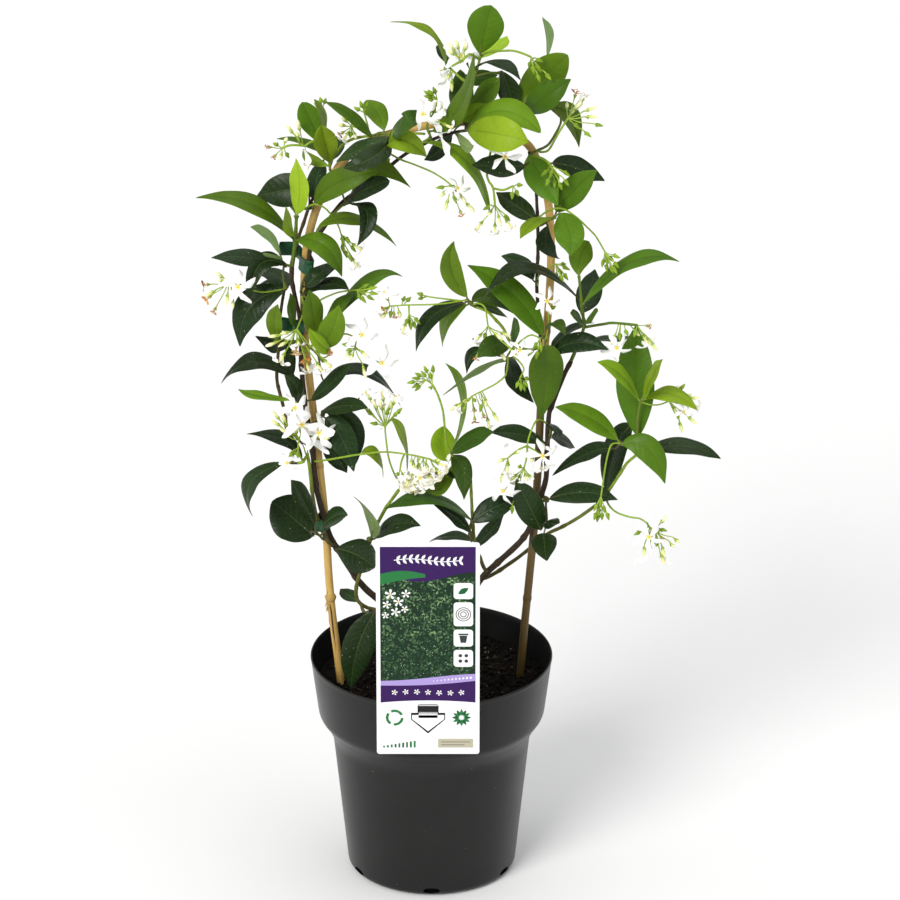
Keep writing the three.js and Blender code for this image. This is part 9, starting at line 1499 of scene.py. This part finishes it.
# an old branch scar on the front of the crown; the near-black disc in its middle is painted shade in the hollow
k = int(np.argmin(np.abs(P[:, 0] - 13.0) + (P[:, 2] < 600) * 1e4))
c0_ = P[k] + np.array([0.0, -2.9, 0.3])
tube(part, np.array([c0_, c0_ + (0, -0.45, 0.05)]), [1.75, 1.35], 10, "bamboo", tan * 0.62)
# painted shade: near-black disc for the hollow of the scar
tube(part, np.array([c0_ + (0, -0.42, 0.05), c0_ + (0, -0.56, 0.06)]), [0.70, 0.55], 8, "bamboo", np.array([0.025, 0.015, 0.007]))
ob = part.build("cane", 60)
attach(ob, "root"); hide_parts("bamboo_hoop")

# ------------------------------------------------------------------ ties
for name, O, A, E, height, inner in TIES:
    O, A, E = np.array(O), np.array(A), np.array(E)
    F_ = np.cross(A, E)
    q = np.array(inner)
    q = np.vstack([q, q[:1]])
    d = np.r_[0, np.cumsum(np.linalg.norm(np.diff(q, axis=0), axis=1))]
    n = 56
    u = np.linspace(0, d[-1], n, endpoint=False)
    ring = np.stack([np.interp(u, d, q[:, k]) for k in range(2)], -1)
    for _ in range(2):
        ring = 0.5 * ring + 0.25 * np.roll(ring, 1, 0) + 0.25 * np.roll(ring, -1, 0)
    c = ring.mean(0)
    ring = c + (ring - c) * 1.03
    t = np.roll(ring, -1, 0) - np.roll(ring, 1, 0)
    nn = np.stack([t[:, 1], -t[:, 0]], -1)
    nn /= np.linalg.norm(nn, axis=1)[:, None]
    if ((ring - c) * nn).sum() < 0: nn = -nn
    # cross-section of the band: rounded edges, two raised ribs
    hh = height / 2
    prof = [(0.0, -hh + 0.2), (0.0, hh - 0.2), (0.22, hh), (0.75, hh - 0.05), (0.98, hh - 0.5), (1.0, hh - 1.6), (0.84, hh - 2.0), (0.84, -hh + 2.0), (1.0, -hh + 1.6), (0.98, -hh + 0.5), (0.75, -hh + 0.05), (0.22, -hh)]
    part = Part(["tie_plastic"])
    V = []
    for i in range(n):
        wv = 0.25 * math.sin(i * 2 * math.pi / n * 2 + len(name))
        for o, z in prof:
            r = ring[i] + nn[i] * o
            V.append(O + E * r[0] + F_ * r[1] + A * (z + wv))
    nc = len(prof)
    Fs = []
    for i in range(n):
        for j in range(nc):
            a, b = i * nc + j, i * nc + (j + 1) % nc
            c2, d2 = ((i + 1) % n) * nc + (j + 1) % nc, ((i + 1) % n) * nc + j
            Fs.append((a, b, c2, d2))
    part.add(V, Fs, "tie_plastic", (1, 1, 1))
    # the tail that is pushed through its own eye
    k = int(np.argmin((O + E * ring[:, :1] + F_ * ring[:, 1:])[:, 1]))
    p0 = O + E * ring[k][0] + F_ * ring[k][1]
    out = unit(E * nn[k][0] + F_ * nn[k][1])
    tg = np.cross(A, out)
    eye = np.array([p0 + out * 1.0 + tg * x + A * z for x, z in ((-2.2, -3.3), (2.2, -3.3), (2.2, 3.3), (-2.2, 3.3))])
    V2, F2 = [], []
    for dz, g in ((0.0, 1.0), (0.75, 0.93), (0.95, 0.75)):
        V2 += [p0 + out * (0.85 + dz) + (e - p0 - out * 1.0) * g for e in eye]
    for r in range(2):
        for j in range(4):
            F2.append((r * 4 + j, r * 4 + (j + 1) % 4, (r + 1) * 4 + (j + 1) % 4, (r + 1) * 4 + j))
    F2 += [(3, 2, 1, 0), (8, 9, 10, 11)]
    part.add(V2, F2, "tie_plastic", (1, 1, 1))
    if name == "tie_upper":
        # its loose end lies to the left, behind the green shoot
        q = catmull(np.array([(-3.4, 2.6, 0), (-5.5, 9.5, 0), (-7.6, 14.4, 0), (-11.0, 15.6, 0), (-16.0, 15.5, 0), (-21.8, 15.8, 0)]), 1.2)
        V3, F3 = [], []
        tq = np.gradient(q, axis=0)
        nq = np.stack([tq[:, 1], -tq[:, 0]], -1)
        nq /= np.linalg.norm(nq, axis=1)[:, None]
        prof = [(-0.42, -1.4), (-0.42, 10.2), (0.42, 10.2), (0.50, 9.4), (0.34, 8.6), (0.34, 0.2), (0.50, -0.6), (0.42, -1.4)]
        for i in range(len(q)):
            k = 1.0 if i < len(q) - 2 else (0.96 if i == len(q) - 2 else 0.86)
            for o, z in prof:
                z = 4.4 + (z - 4.4) * k
                V3.append(O + E * (q[i, 0] + nq[i, 0] * o) + F_ * (q[i, 1] + nq[i, 1] * o) + A * (z + 0.3 * math.sin(i * 0.5)))
        nc = len(prof)
        for i in range(len(q) - 1):
            for j in range(nc):
                F3.append((i * nc + j, i * nc + (j + 1) % nc, (i + 1) * nc + (j + 1) % nc, (i + 1) * nc + j))
        F3 += [tuple(range(nc)), tuple(reversed(range((len(q) - 1) * nc, len(q) * nc)))]
        part.add(V3, F3, "tie_plastic", (1, 1, 1))
    ob = part.build(name + "_band", 40)
    bm = bmesh.new(); bm.from_mesh(ob.data); bmesh.ops.recalc_face_normals(bm, faces=bm.faces); bm.to_mesh(ob.data); bm.free()
    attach(ob, "root"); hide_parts(name)

# ------------------------------------------------------------------ pot
def fillet(points, radii, n=5):
    """corners of an open outline rounded off"""
    P = [np.array(p, float) for p in points]
    out = [P[0]]
    for i in range(1, len(P) - 1):
        r = radii[i]
        a, b, c = P[i - 1], P[i], P[i + 1]
        if r <= 0:
            out.append(b)
            continue
        d1, d2 = unit(a - b), unit(c - b)
        r = min(r, 0.45 * np.linalg.norm(a - b), 0.45 * np.linalg.norm(c - b))
        for k in range(n + 1):
            u = k / n
            out.append((1 - u) ** 2 * (b + d1 * r) + 2 * u * (1 - u) * b + u * u * (b + d2 * r))
    out.append(P[-1])
    return np.array(out)


def refine(P, step):
    out = [P[0]]
    for a, b in zip(P[:-1], P[1:]):
        k = max(1, int(math.ceil(np.linalg.norm(b - a) / step)))
        out += [a + (b - a) * (i + 1) / k for i in range(k)]
    return np.array(out)


outside = fillet([(0, 0), (66, 0), (70, 3.5), (81.9, 120), (88, 132), (93.4, 139), (99.4, 186.5), (100, 189), (99.6, 190)],
                 [0, 3, 5, 7, 9, 6, 2, 0.8, 0])
inside = fillet([(99.6, 190), (98.6, 190), (98.2, 188.6), (97.7, 186.5), (91.8, 140.2), (86.3, 132.8), (80.2, 120.6), (68.6, 5.6), (65.2, 2), (0, 2)],
                [0, 0.4, 0.5, 2, 6, 9, 7, 4, 3, 0])
prof = np.vstack([refine(outside, 7), refine(inside, 9)[1:]])
prof = np.array([p for i, p in enumerate(prof) if i == 0 or np.linalg.norm(p - prof[i - 1]) > 1e-6])
SEG = 144
a = np.arange(SEG) * 2 * math.pi / SEG
V, F = [np.array([[0, 0, 0.0]])], []
rings = [p for p in prof if p[0] > 1e-6]
for r, z in rings:
    V.append(np.stack([r * np.cos(a), r * np.sin(a), np.full(SEG, z)], -1))
V.append(np.array([[0, 0, 2.0]]))
nv = 1 + len(rings) * SEG
F += [(0, 1 + (j + 1) % SEG, 1 + j) for j in range(SEG)]
for i in range(len(rings) - 1):
    for j in range(SEG):
        p, q = 1 + i * SEG + j, 1 + i * SEG + (j + 1) % SEG
        F.append((p, q, q + SEG, p + SEG))
o = 1 + (len(rings) - 1) * SEG
F += [(nv, o + j, o + (j + 1) % SEG) for j in range(SEG)]
part = Part(["pot_plastic"])
part.add(np.vstack(V), F, "pot_plastic", (1, 1, 1))
pot = part.build("nursery_pot", 50)


def cutter(make):
    bm = bmesh.new()
    make(bm)
    me = bpy.data.meshes.new("cut")
    bm.to_mesh(me)
    bm.free()
    ob = bpy.data.objects.new("cut", me)
    scene.collection.objects.link(ob)
    return ob


def drains(bm):
    for i in range(6):
        an = -math.pi / 2 + i * 2 * math.pi / 6
        g = bmesh.ops.create_cone(bm, cap_ends=True, segments=24, radius1=0.007, radius2=0.007, depth=0.016)
        vs = g["verts"]
        bmesh.ops.scale(bm, vec=(6 / 14, 1, 1), verts=vs)
        bmesh.ops.rotate(bm, matrix=Matrix.Rotation(math.pi / 2, 3, "Y"), verts=vs)
        bmesh.ops.translate(bm, vec=(0.070, 0, 0.0053), verts=vs)
        bmesh.ops.rotate(bm, matrix=Matrix.Rotation(an, 3, "Z"), verts=vs)


def slot_cut(bm):
    g = bmesh.ops.create_cube(bm, size=1.0)
    bmesh.ops.scale(bm, vec=(0.0174, 0.012, 0.003), verts=g["verts"])
    bmesh.ops.translate(bm, vec=(-0.0024, -0.1, 0.1831), verts=g["verts"])


for make in (drains, slot_cut):
    c = cutter(make)
    md = pot.modifiers.new("cut", "BOOLEAN")
    md.object, md.operation, md.solver = c, "DIFFERENCE", "EXACT"
    dg = bpy.context.evaluated_depsgraph_get()
    me = bpy.data.meshes.new_from_object(pot.evaluated_get(dg))
    pot.modifiers.clear()
    pot.data = me
    bpy.data.objects.remove(c)
pot.data.name = "nursery_pot"
pot.data.shade_smooth()
pot.data.set_sharp_from_angle(angle=math.radians(42))
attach(pot, "root"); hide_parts("pot")

# ------------------------------------------------------------------ potting mix
rnd = random.Random("mix")
part = Part(["soil"])
NR, NA = 46, 150
ang = np.arange(NA) * 2 * math.pi / NA
rad = 94.3 * np.linspace(0, 1, NR)[1:] ** 0.8


def lumps(x, y):
    h = 0
    r = random.Random(7)
    for k, (sc, am) in enumerate([(0.05, 0.9), (0.13, 0.8), (0.31, 0.6), (0.66, 0.5), (1.3, 0.35)]):
        for _ in range(3):
            th = r.random() * 6.28
            h = h + am / 2 * np.sin((x * math.cos(th) + y * math.sin(th)) * sc * (0.8 + 0.5 * r.random()) + r.random() * 6.28)
    return h


Vt = []
for r in rad:
    x, y = r * np.cos(ang), r * np.sin(ang)
    Vt.append(np.stack([x, y, 166.6 + lumps(x, y) * (1 - 0.5 * smooth(r, 85, 94))], -1))
top = np.vstack(Vt)
sides_ = [(93.6, 163.0), (91.2, 139.6), (86.0, 131.5), (79.9, 119.5), (68.0, 6.2), (64.6, 2.4)]
V = [np.array([[0, 0, 167.0]]), top]
for r, z in sides_:
    V.append(np.stack([r * np.cos(ang), r * np.sin(ang), np.full(NA, z)], -1))
V.append(np.array([[0, 0, 2.4]]))
V = np.vstack(V)
nr = len(rad) + len(sides_)
F = [(0, 1 + j, 1 + (j + 1) % NA) for j in range(NA)]
for i in range(nr - 1):
    for j in range(NA):
        p, q = 1 + i * NA + j, 1 + i * NA + (j + 1) % NA
        F.append((p, p + NA, q + NA, q))
o = 1 + (nr - 1) * NA
F += [(len(V) - 1, o + (j + 1) % NA, o + j) for j in range(NA)]
# the mix's own near-black colour, made darker still as painted shade for the deep shade inside the pot
part.add(V, F, "soil", (0.0036, 0.0030, 0.0023))
ICO_V = np.array([(0, 0, 1), *[(0.894 * math.cos(k * 1.2566), 0.894 * math.sin(k * 1.2566), 0.447) for k in range(5)], *[(0.894 * math.cos(k * 1.2566 + 0.628), 0.894 * math.sin(k * 1.2566 + 0.628), -0.447) for k in range(5)], (0, 0, -1)])
ICO_F = [(0, 1 + k, 1 + (k + 1) % 5) for k in range(5)] + [(1 + k, 6 + k, 1 + (k + 1) % 5) for k in range(5)] + [(6 + k, 6 + (k + 1) % 5, 1 + (k + 1) % 5) for k in range(5)] + [(11, 6 + (k + 1) % 5, 6 + k) for k in range(5)]
CUBE_V = np.array([(x, y, z) for x in (-1, 1) for y in (-1, 1) for z in (-1, 1)], float)
CUBE_F = [(0, 1, 3, 2), (4, 6, 7, 5), (0, 4, 5, 1), (2, 3, 7, 6), (0, 2, 6, 4), (1, 5, 7, 3)]


def rot(rnd, flat=1.0):
    az, ti, ro = rnd.uniform(0, 6.28), rnd.uniform(-0.5, 0.5) * flat, rnd.uniform(-0.5, 0.5) * flat
    return np.array(Matrix.Rotation(az, 3, "Z") @ Matrix.Rotation(ti, 3, "X") @ Matrix.Rotation(ro, 3, "Y"))


# crumbs and chips are tinted very dark: partly their own colour, partly painted shade inside the pot
for i in range(2300):
    r = 92.0 * math.sqrt(rnd.random())
    th = rnd.uniform(0, 6.28)
    x, y = r * math.cos(th), r * math.sin(th)
    z = 166.6 + float(lumps(np.array(x), np.array(y)))
    kind = rnd.random()
    if kind < 0.50:         # crumbs
        s_ = rnd.uniform(0.6, 2.3)
        v = ICO_V * np.array([s_ * rnd.uniform(0.7, 1.3), s_ * rnd.uniform(0.7, 1.3), s_ * rnd.uniform(0.5, 1)])
        v = v * np.array([rnd.uniform(0.75, 1.25) for _ in range(12)])[:, None]
        c = np.array([0.0044, 0.0036, 0.0027]) * rnd.uniform(0.4, 2.0)
        part.add(v @ rot(rnd, 6).T + (x, y, z + 0.2 * s_), ICO_F, "soil", c)
    elif kind < 0.90:       # bark chips
        a_, b_, c_ = rnd.uniform(1.6, 5.2), rnd.uniform(0.8, 2.4), rnd.uniform(0.35, 0.9)
        if r + a_ > 93: continue
        v = CUBE_V * np.array([a_, b_, c_]) * np.array([[rnd.uniform(0.55, 1.1) for _ in range(3)] for _ in range(8)])
        q = rnd.random()
        c = np.array([0.0058, 0.0045, 0.0032]) if q < 0.80 else (np.array([0.014, 0.0095, 0.0058]) if q < 0.975 else np.array([0.075, 0.045, 0.020]))
        part.add(v @ rot(rnd, 1.2).T + (x, y, z + rnd.uniform(0.1, 1.0)), CUBE_F, "soil", c * rnd.uniform(0.6, 1.35))
    elif kind < 0.945:      # perlite and bits of sand
        s_ = rnd.uniform(0.5, 1.25)
        v = ICO_V * s_ * np.array([rnd.uniform(0.7, 1.2) for _ in range(12)])[:, None]
        part.add(v @ rot(rnd, 6).T + (x, y, z + 0.5 * s_), ICO_F, "soil", np.array([0.20, 0.18, 0.14]) * rnd.uniform(0.3, 1.2))
    else:                   # fibres and twiglets
        L = rnd.uniform(4, 13)
        if r + L > 92: continue
        u = np.linspace(-0.5, 0.5, 6)[:, None]
        d = np.array([math.cos(th * 7), math.sin(th * 7), rnd.uniform(-0.08, 0.08)])
        bend = np.array([-d[1], d[0], 0.25])
        Q = np.array([x, y, z + 1.1]) + d * L * u + bend * (L * 0.25 * (u**2))
        tube(part, Q, np.array([0.15, 0.32, 0.36, 0.33, 0.28, 0.12]) * rnd.uniform(0.7, 1.5), 5, "soil", np.array([0.040, 0.026, 0.015]) * rnd.uniform(0.4, 1.8))
ob = part.build("mix_surface", 55)
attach(ob, "root"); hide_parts("potting_mix")

# ------------------------------------------------------------------ plant label
LX, LW, LLO, LHI, YB, YF = -2.4, 41.5, 147.8, 335.3, -100.45, -101.25


def round_rect(x0, z0, x1, z1, r, n=6):
    out = []
    for cx, cz, a0 in ((x1 - r, z1 - r, 0), (x0 + r, z1 - r, 90), (x0 + r, z0 + r, 180), (x1 - r, z0 + r, 270)):
        for k in range(n + 1):
            an = math.radians(a0 + 90 * k / n)
            out.append((cx + r * math.cos(an), cz + r * math.sin(an)))
    return out


def prism(part, pts, y0, y1, mat, tint, holes=()):
    """closed flat piece between two depths; pts are x, z relative to the label's centre line"""
    from mathutils.geometry import tessellate_polygon
    loops = [list(pts)] + [list(h) for h in holes]
    tri = tessellate_polygon([[Vector((p[0], p[1], 0)) for p in lp] for lp in loops])
    flat = [p for lp in loops for p in lp]
    k = len(flat)
    V = [(LX + x, y0, z) for x, z in flat] + [(LX + x, y1, z) for x, z in flat]
    F = []
    for t_ in tri:
        A, B, C = (flat[i] for i in t_)
        cr = (B[0] - A[0]) * (C[1] - A[1]) - (B[1] - A[1]) * (C[0] - A[0])
        q = tuple(t_) if cr > 0 else (t_[0], t_[2], t_[1])
        F.append(q)                                   # faces -Y
        F.append(tuple(i + k for i in (q[0], q[2], q[1])))
    o = 0
    for li, lp in enumerate(loops):
        m_ = len(lp)
        area = sum(lp[i][0] * lp[(i + 1) % m_][1] - lp[(i + 1) % m_][0] * lp[i][1] for i in range(m_))
        fwd = (area > 0) == (li == 0)
        for i in range(m_):
            p, q = o + i, o + (i + 1) % m_
            F.append((p, p + k, q + k, q) if fwd else (p, q, q + k, p + k))
        o += m_
    part.add(V, F, mat, tint)


part = Part(["label_card"])
hn, hh2 = 15.4 / 2 + 0.8, 26 / 2 + 0.8
cut = [(-hn, 191.6), (hn, 191.6), (hn, 184.8), (hh2, 184.8), (hh2, 178.6), (0, 166.0), (-hh2, 178.6), (-hh2, 184.8), (-hn, 184.8)]
prism(part, round_rect(-LW, LLO, LW, LHI, 2.2), YF, YB, "label_card", (1, 1, 1), [cut])
# neck over the rim, down inside, out through the slit
side = [(YF, 192.4), (-97.0, 192.0), (-95.4, 190.9), (-94.8, 189.0), (-94.8, 183.2), (-95.6, 182.6), (YF + 1.1, 182.0), (YF + 0.8, 180.2), (YF, 180.2), (YF, 183.1), (-96.2, 183.9), (-95.6, 184.8), (-95.6, 189.0), (-96.4, 190.5), (-98.0, 190.95), (YF + 0.8, 191.0), (YF, 191.0)]
k = len(side)
V = [(LX - 7.7, y, z) for y, z in side] + [(LX + 7.7, y, z) for y, z in side]
from mathutils.geometry import tessellate_polygon
tri = tessellate_polygon([[Vector((y, z, 0)) for y, z in side]])
F = []
for t_ in tri:
    A, B, C = (side[i] for i in t_)
    cr = (B[0] - A[0]) * (C[1] - A[1]) - (B[1] - A[1]) * (C[0] - A[0])
    q = tuple(t_) if cr < 0 else (t_[0], t_[2], t_[1])
    F += [q, tuple(i + k for i in (q[0], q[2], q[1]))]
area = sum(side[i][0] * side[(i + 1) % k][1] - side[(i + 1) % k][0] * side[i][1] for i in range(k))
for i in range(k):
    p, q = i, (i + 1) % k
    F.append((p, q, q + k, p + k) if area > 0 else (p, p + k, q + k, q))
part.add(V, F, "label_card", (1, 1, 1))
prism(part, [(-13, 182.6), (-13, 179.2), (0, 168.2), (13, 179.2), (13, 182.6)], YF, YB, "label_card", (1, 1, 1))
card = part.build("label_card", 30)
bm = bmesh.new(); bm.from_mesh(card.data); bmesh.ops.recalc_face_normals(bm, faces=bm.faces); bm.to_mesh(card.data); bm.free()
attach(card, "root"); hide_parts("plant_label")

# the print: flat shapes, each a closed film a few hundredths of a millimetre thick
PURPLE, PURPLE2 = (0.034, 0.0090, 0.085), (0.066, 0.026, 0.145)
LAV, GREEN, GREEN2 = (0.36, 0.28, 0.58), (0.020, 0.165, 0.045), (0.012, 0.100, 0.035)
FOL = (0.0085, 0.026, 0.0125)
INKW = (0.80, 0.80, 0.81)
ink = Part(["label_ink"])
level = [0]


def film(pts, tint, lift=1, holes=()):
    y = YF - 0.012 * lift
    prism(ink, pts, y, YF + 0.05, "label_ink", tint, holes)


def arc_edge(x0, x1, f, n=28):
    return [(x0 + (x1 - x0) * i / n, f((i / n))) for i in range(n + 1)]


X0, X1 = -38.2, 38.2
# picture: a green hedge
film([(X0, 212), (X1, 212), (X1, 310), (X0, 310)], FOL, 1)
rl = random.Random("hedge")


def clump(x, z):
    """light and dark masses of the hedge, 0..1"""
    v = math.sin(x * 0.31 + 1.3 * math.sin(z * 0.17)) + math.sin(z * 0.42 + 0.9 * math.sin(x * 0.23) + 1.1) + 0.7 * math.sin((x + z) * 0.61 + 0.4) + 0.6 * math.sin((x - 1.4 * z) * 0.37)
    return min(1.0, max(0.0, 0.5 + 0.24 * v))


cells = []
for i in range(27):
    for j in range(35):
        x = X0 + 1.4 + (X1 - X0 - 2.8) * (i + rl.uniform(0.1, 0.9)) / 27
        z = 213.5 + 92 * (j + rl.uniform(0.1, 0.9)) / 35
        cells.append((x, z))
rl.shuffle(cells)
for x, z in cells:
    q0 = clump(x, z)
    if rl.random() > 0.45 + 0.75 * q0:
        continue
    L, w = rl.uniform(1.9, 4.0), rl.uniform(0.9, 1.8)
    an = rl.uniform(0, 6.28)
    q = []
    for k in range(8):
        th = k * 2 * math.pi / 8
        px, pz = L / 2 * math.cos(th), w / 2 * math.sin(th) * (1.15 - 0.3 * math.cos(th))
        q.append((min(max(x + px * math.cos(an) - pz * math.sin(an), X0), X1), min(max(z + px * math.sin(an) + pz * math.cos(an), 212), 310)))
    b = (0.15 + 0.85 * rl.random()) * q0 ** 1.5 * (0.30 + 0.70 * float(smooth(z, 214, 292)))
    c = np.array([0.012, 0.046, 0.018]) * (1 - b) + np.array([0.24, 0.40, 0.17]) * b
    film(q, tuple(c), 2 + rl.randrange(3))
for _ in range(260):            # glints
    x, z, s_ = rl.uniform(X0 + 1, X1 - 1), rl.uniform(216, 306), rl.uniform(0.16, 0.42)
    film([(x - s_, z), (x, z - s_), (x + s_, z), (x, z + s_)], (0.50, 0.62, 0.46), 6)


def star(cx, cz, r, turn, petals=5, slim=0.34, tint=INKW, lift=8):
    for k in range(petals):
        an = turn + k * 2 * math.pi / petals
        q = []
        for u, w in ((0.12, 0.05), (0.55, slim * 0.7), (0.85, slim), (1.0, slim * 0.35), (0.9, -slim * 0.45), (0.55, -slim * 0.4), (0.12, -0.05)):
            x, z = r * u, r * w
            q.append((cx + x * math.cos(an) - z * math.sin(an), cz + x * math.sin(an) + z * math.cos(an)))
        film(q, tint, lift)


# a loose spray of blossom across the upper left of the picture
for x, z, r in ((-30, 290, 4.6), (-23.5, 283.5, 4.2), (-33, 281, 3.6), (-26, 274.5, 4.0), (-17.5, 290.5, 3.7), (-34, 271.5, 3.0), (-18.5, 277, 3.1)):
    star(x, z, r, rl.uniform(0, 6.28), lift=9)
    film([(x + 0.55 * math.cos(k), z + 0.55 * math.sin(k)) for k in np.linspace(0, 6.28, 9)[:-1]], (0.75, 0.5, 0.06), 11)
# header: a purple field with a wavy lower edge
film([(X0, 331.6), *arc_edge(X0, X1, lambda u: 305.5 + 4.2 * math.sin(u * 5.2 + 2.6)), (X1, 331.6)], PURPLE, 12)
# green swoosh at the left under the header
film([*arc_edge(X0, -2.0, lambda u: 311.0 - 3.0 * (1 - u) + 2.8 * math.sin(u * 3.14) - 3.2 * u), *arc_edge(-2.0, X0, lambda u: 304.8 - 6.5 * u**1.6)], GREEN, 14)
# header ornament: a leafy sprig
def leaf_motif(cx, cz, L, w, an, tint, lift):
    q = []
    for u, v in ((0, 0), (0.2, 0.6), (0.45, 1), (0.7, 0.75), (1, 0), (0.7, -0.75), (0.45, -1), (0.2, -0.6)):
        x, z = L * u, w / 2 * v
        q.append((cx + x * math.cos(an) - z * math.sin(an), cz + x * math.sin(an) + z * math.cos(an)))
    film(q, tint, lift)


film([*arc_edge(-27, 27, lambda u: 320.3 + 1.3 * math.sin(u * 6.28)), *arc_edge(27, -27, lambda u: 319.6 - 1.3 * math.sin(u * 6.28))], INKW, 15)
for k in range(11):
    x = -25 + 5 * k
    z = 320 + 1.3 * math.sin((x + 27) / 54 * 6.28)
    leaf_motif(x, z, 5.2, 2.3, math.radians(52), INKW, 16)
    leaf_motif(x, z, 5.2, 2.3, math.radians(-52), INKW, 16)
# tiles down the right side, with plain garden signs
def disc(cx, cz, r, tint, lift, n=20):
    film([(cx + r * math.cos(k * 2 * math.pi / n), cz + r * math.sin(k * 2 * math.pi / n)) for k in range(n)], tint, lift)


INKD = (0.035, 0.040, 0.045)
tiles = [(290.5, 301.5), (268.0, 286.5), (250.5, 264.0), (232.5, 246.5)]
tiles = [(286.0, 300.0), (262.0, 283.0), (244.0, 259.0), (226.0, 241.0)]
for i, (z0, z1) in enumerate(tiles):
    film(round_rect(20.6, z0, 36.2, z1, 2.6), INKW, 13)
    cx, cz = 28.4, (z0 + z1) / 2
    if i == 0:      # leaf
        leaf_motif(cx - 4.2, cz - 2.6, 10, 5.0, math.radians(32), GREEN2, 15)
    elif i == 1:    # three rings of a stepping scale
        for r in (6.2, 4.4, 2.6):
            n = 24
            film([(cx + r * math.cos(k * 6.2832 / n), cz + r * math.sin(k * 6.2832 / n)) for k in range(n)], INKD, 15,
                 [[(cx + (r - 0.7) * math.cos(k * 6.2832 / n), cz + (r - 0.7) * math.sin(k * 6.2832 / n)) for k in range(n)]])
    elif i == 2:    # a small pot
        film([(cx - 3.2, cz + 2.2), (cx + 3.2, cz + 2.2), (cx + 2.2, cz - 4.2), (cx - 2.2, cz - 4.2)], INKD, 15)
        film([(cx - 4.0, cz + 4.0), (cx + 4.0, cz + 4.0), (cx + 4.0, cz + 2.6), (cx - 4.0, cz + 2.6)], INKD, 15)
    else:           # four dots
        for dx, dz in ((-2.4, -2.4), (2.4, -2.4), (2.4, 2.4), (-2.4, 2.4)):
            disc(cx + dx, cz + dz, 1.5, INKD, 15)
# lavender and purple bands below the picture
film([(X0, 206), *arc_edge(X0, X1, lambda u: 213.5 + 6.5 * math.sin(u * 1.9) * u), (X1, 206)], LAV, 13)
for k in range(11):             # an even row of dots that grow to the right
    u = 0.56 + 0.039 * k
    z = 0.5 * (213.5 + 6.5 * math.sin(u * 1.9) * u + 211.5 - 1.5 * math.sin((1 - u) * 3.14) + 2.0 * u - 2.2 * (1 - u))
    disc(X0 + u * (X1 - X0), z, 0.40 + 0.055 * k, INKW, 18, 12)
film([*arc_edge(X0, X1, lambda u: 195.4 - 1.9 * (2 * u - 1) ** 2 + 0.6), *arc_edge(X1, X0, lambda u: 211.5 - 1.5 * math.sin(u * 3.14) + 2.0 * (1 - u) - 2.2 * u)], PURPLE, 16)
for k in range(7):
    star(-27 + 9 * k, 203.2 + 0.5 * math.sin(k), 2.5, k * 0.5, lift=18)
    disc(-27 + 9 * k, 203.2 + 0.5 * math.sin(k), 0.4, (0.75, 0.5, 0.06), 20, 8)
# bottom: a green round of leaves at the right, a green ring at the left, a beige tab
for k in range(12):
    leaf_motif(27 + 1.6 * math.cos(k * 0.5236), 180.5 + 1.6 * math.sin(k * 0.5236), 6.2, 2.7, k * 0.5236, GREEN if k % 2 else GREEN2, 4)
disc(27, 180.5, 1.5, INKW, 6)
for k in range(3):
    n, a0 = 16, k * 2.094 + 0.4
    ring = [(-27 + 7.2 * math.cos(a0 + 1.65 * i / n), 180.5 + 7.2 * math.sin(a0 + 1.65 * i / n)) for i in range(n + 1)]
    ring += [(-27 + 5.0 * math.cos(a0 + 1.65 * i / n), 180.5 + 5.0 * math.sin(a0 + 1.65 * i / n)) for i in range(n, -1, -1)]
    film(ring, GREEN, 4)
film(round_rect(8.0, 153.5, 36.5, 161.5, 0.8), (0.43, 0.40, 0.30), 4)
for i, (x0, x1, z) in enumerate(((10.5, 34.0, 158.6), (10.5, 29.5, 156.0))):
    film([(x0, z - 0.28), (x1, z - 0.28), (x1, z + 0.28), (x0, z + 0.28)], (0.10, 0.10, 0.07), 6)
for k in range(9):
    film([(-36.5 + 3.1 * k, 153.6), (-34.9 + 3.1 * k, 153.6), (-34.9 + 3.1 * k, 155.2 + 0.55 * k), (-36.5 + 3.1 * k, 155.2 + 0.55 * k)], GREEN2 if k % 2 else GREEN, 4)
ob = ink.build("label_print", 30)
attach(ob, "root")

# ------------------------------------------------------------------ floor and light
me = bpy.data.meshes.new("floor")
me.from_pydata([(-9, -9, -0.0004), (9, -9, -0.0004), (9, 9, -0.0004), (-9, 9, -0.0004)], [], [(0, 1, 2, 3)])
me.materials.append(MAT["floor"])
floor = bpy.data.objects.new("floor", me)
scene.collection.objects.link(floor)

world = bpy.data.worlds.new("studio")
scene.world = world
world.use_nodes = True
bg = next(n for n in world.node_tree.nodes if n.type == "BACKGROUND")
bg.inputs[0].default_value = (0.98, 0.99, 1.0, 1)
bg.inputs[1].default_value = 0.30


def sun(name, towards, spread, power, colour=(1, 1, 1)):
    """a very large, far softbox"""
    d = bpy.data.lights.new(name, "SUN")
    d.energy, d.color, d.angle = power, colour, math.radians(spread)
    o = bpy.data.objects.new(name, d)
    o.rotation_euler = Vector(towards).to_track_quat("-Z", "Y").to_euler()
    o.location = (0, 0, 3)
    scene.collection.objects.link(o)
    return o


sun("key", (0.50, 0.80, -0.62), 30, 2.7, (1.0, 0.99, 0.97))
sun("top", (-0.15, -0.22, -1.0), 75, 1.15)
sun("fill", (-0.80, 0.65, -0.45), 60, 0.62)
sun("side", (0.96, -0.10, -0.22), 50, 0.55)
scene.view_settings.view_transform = "Standard"
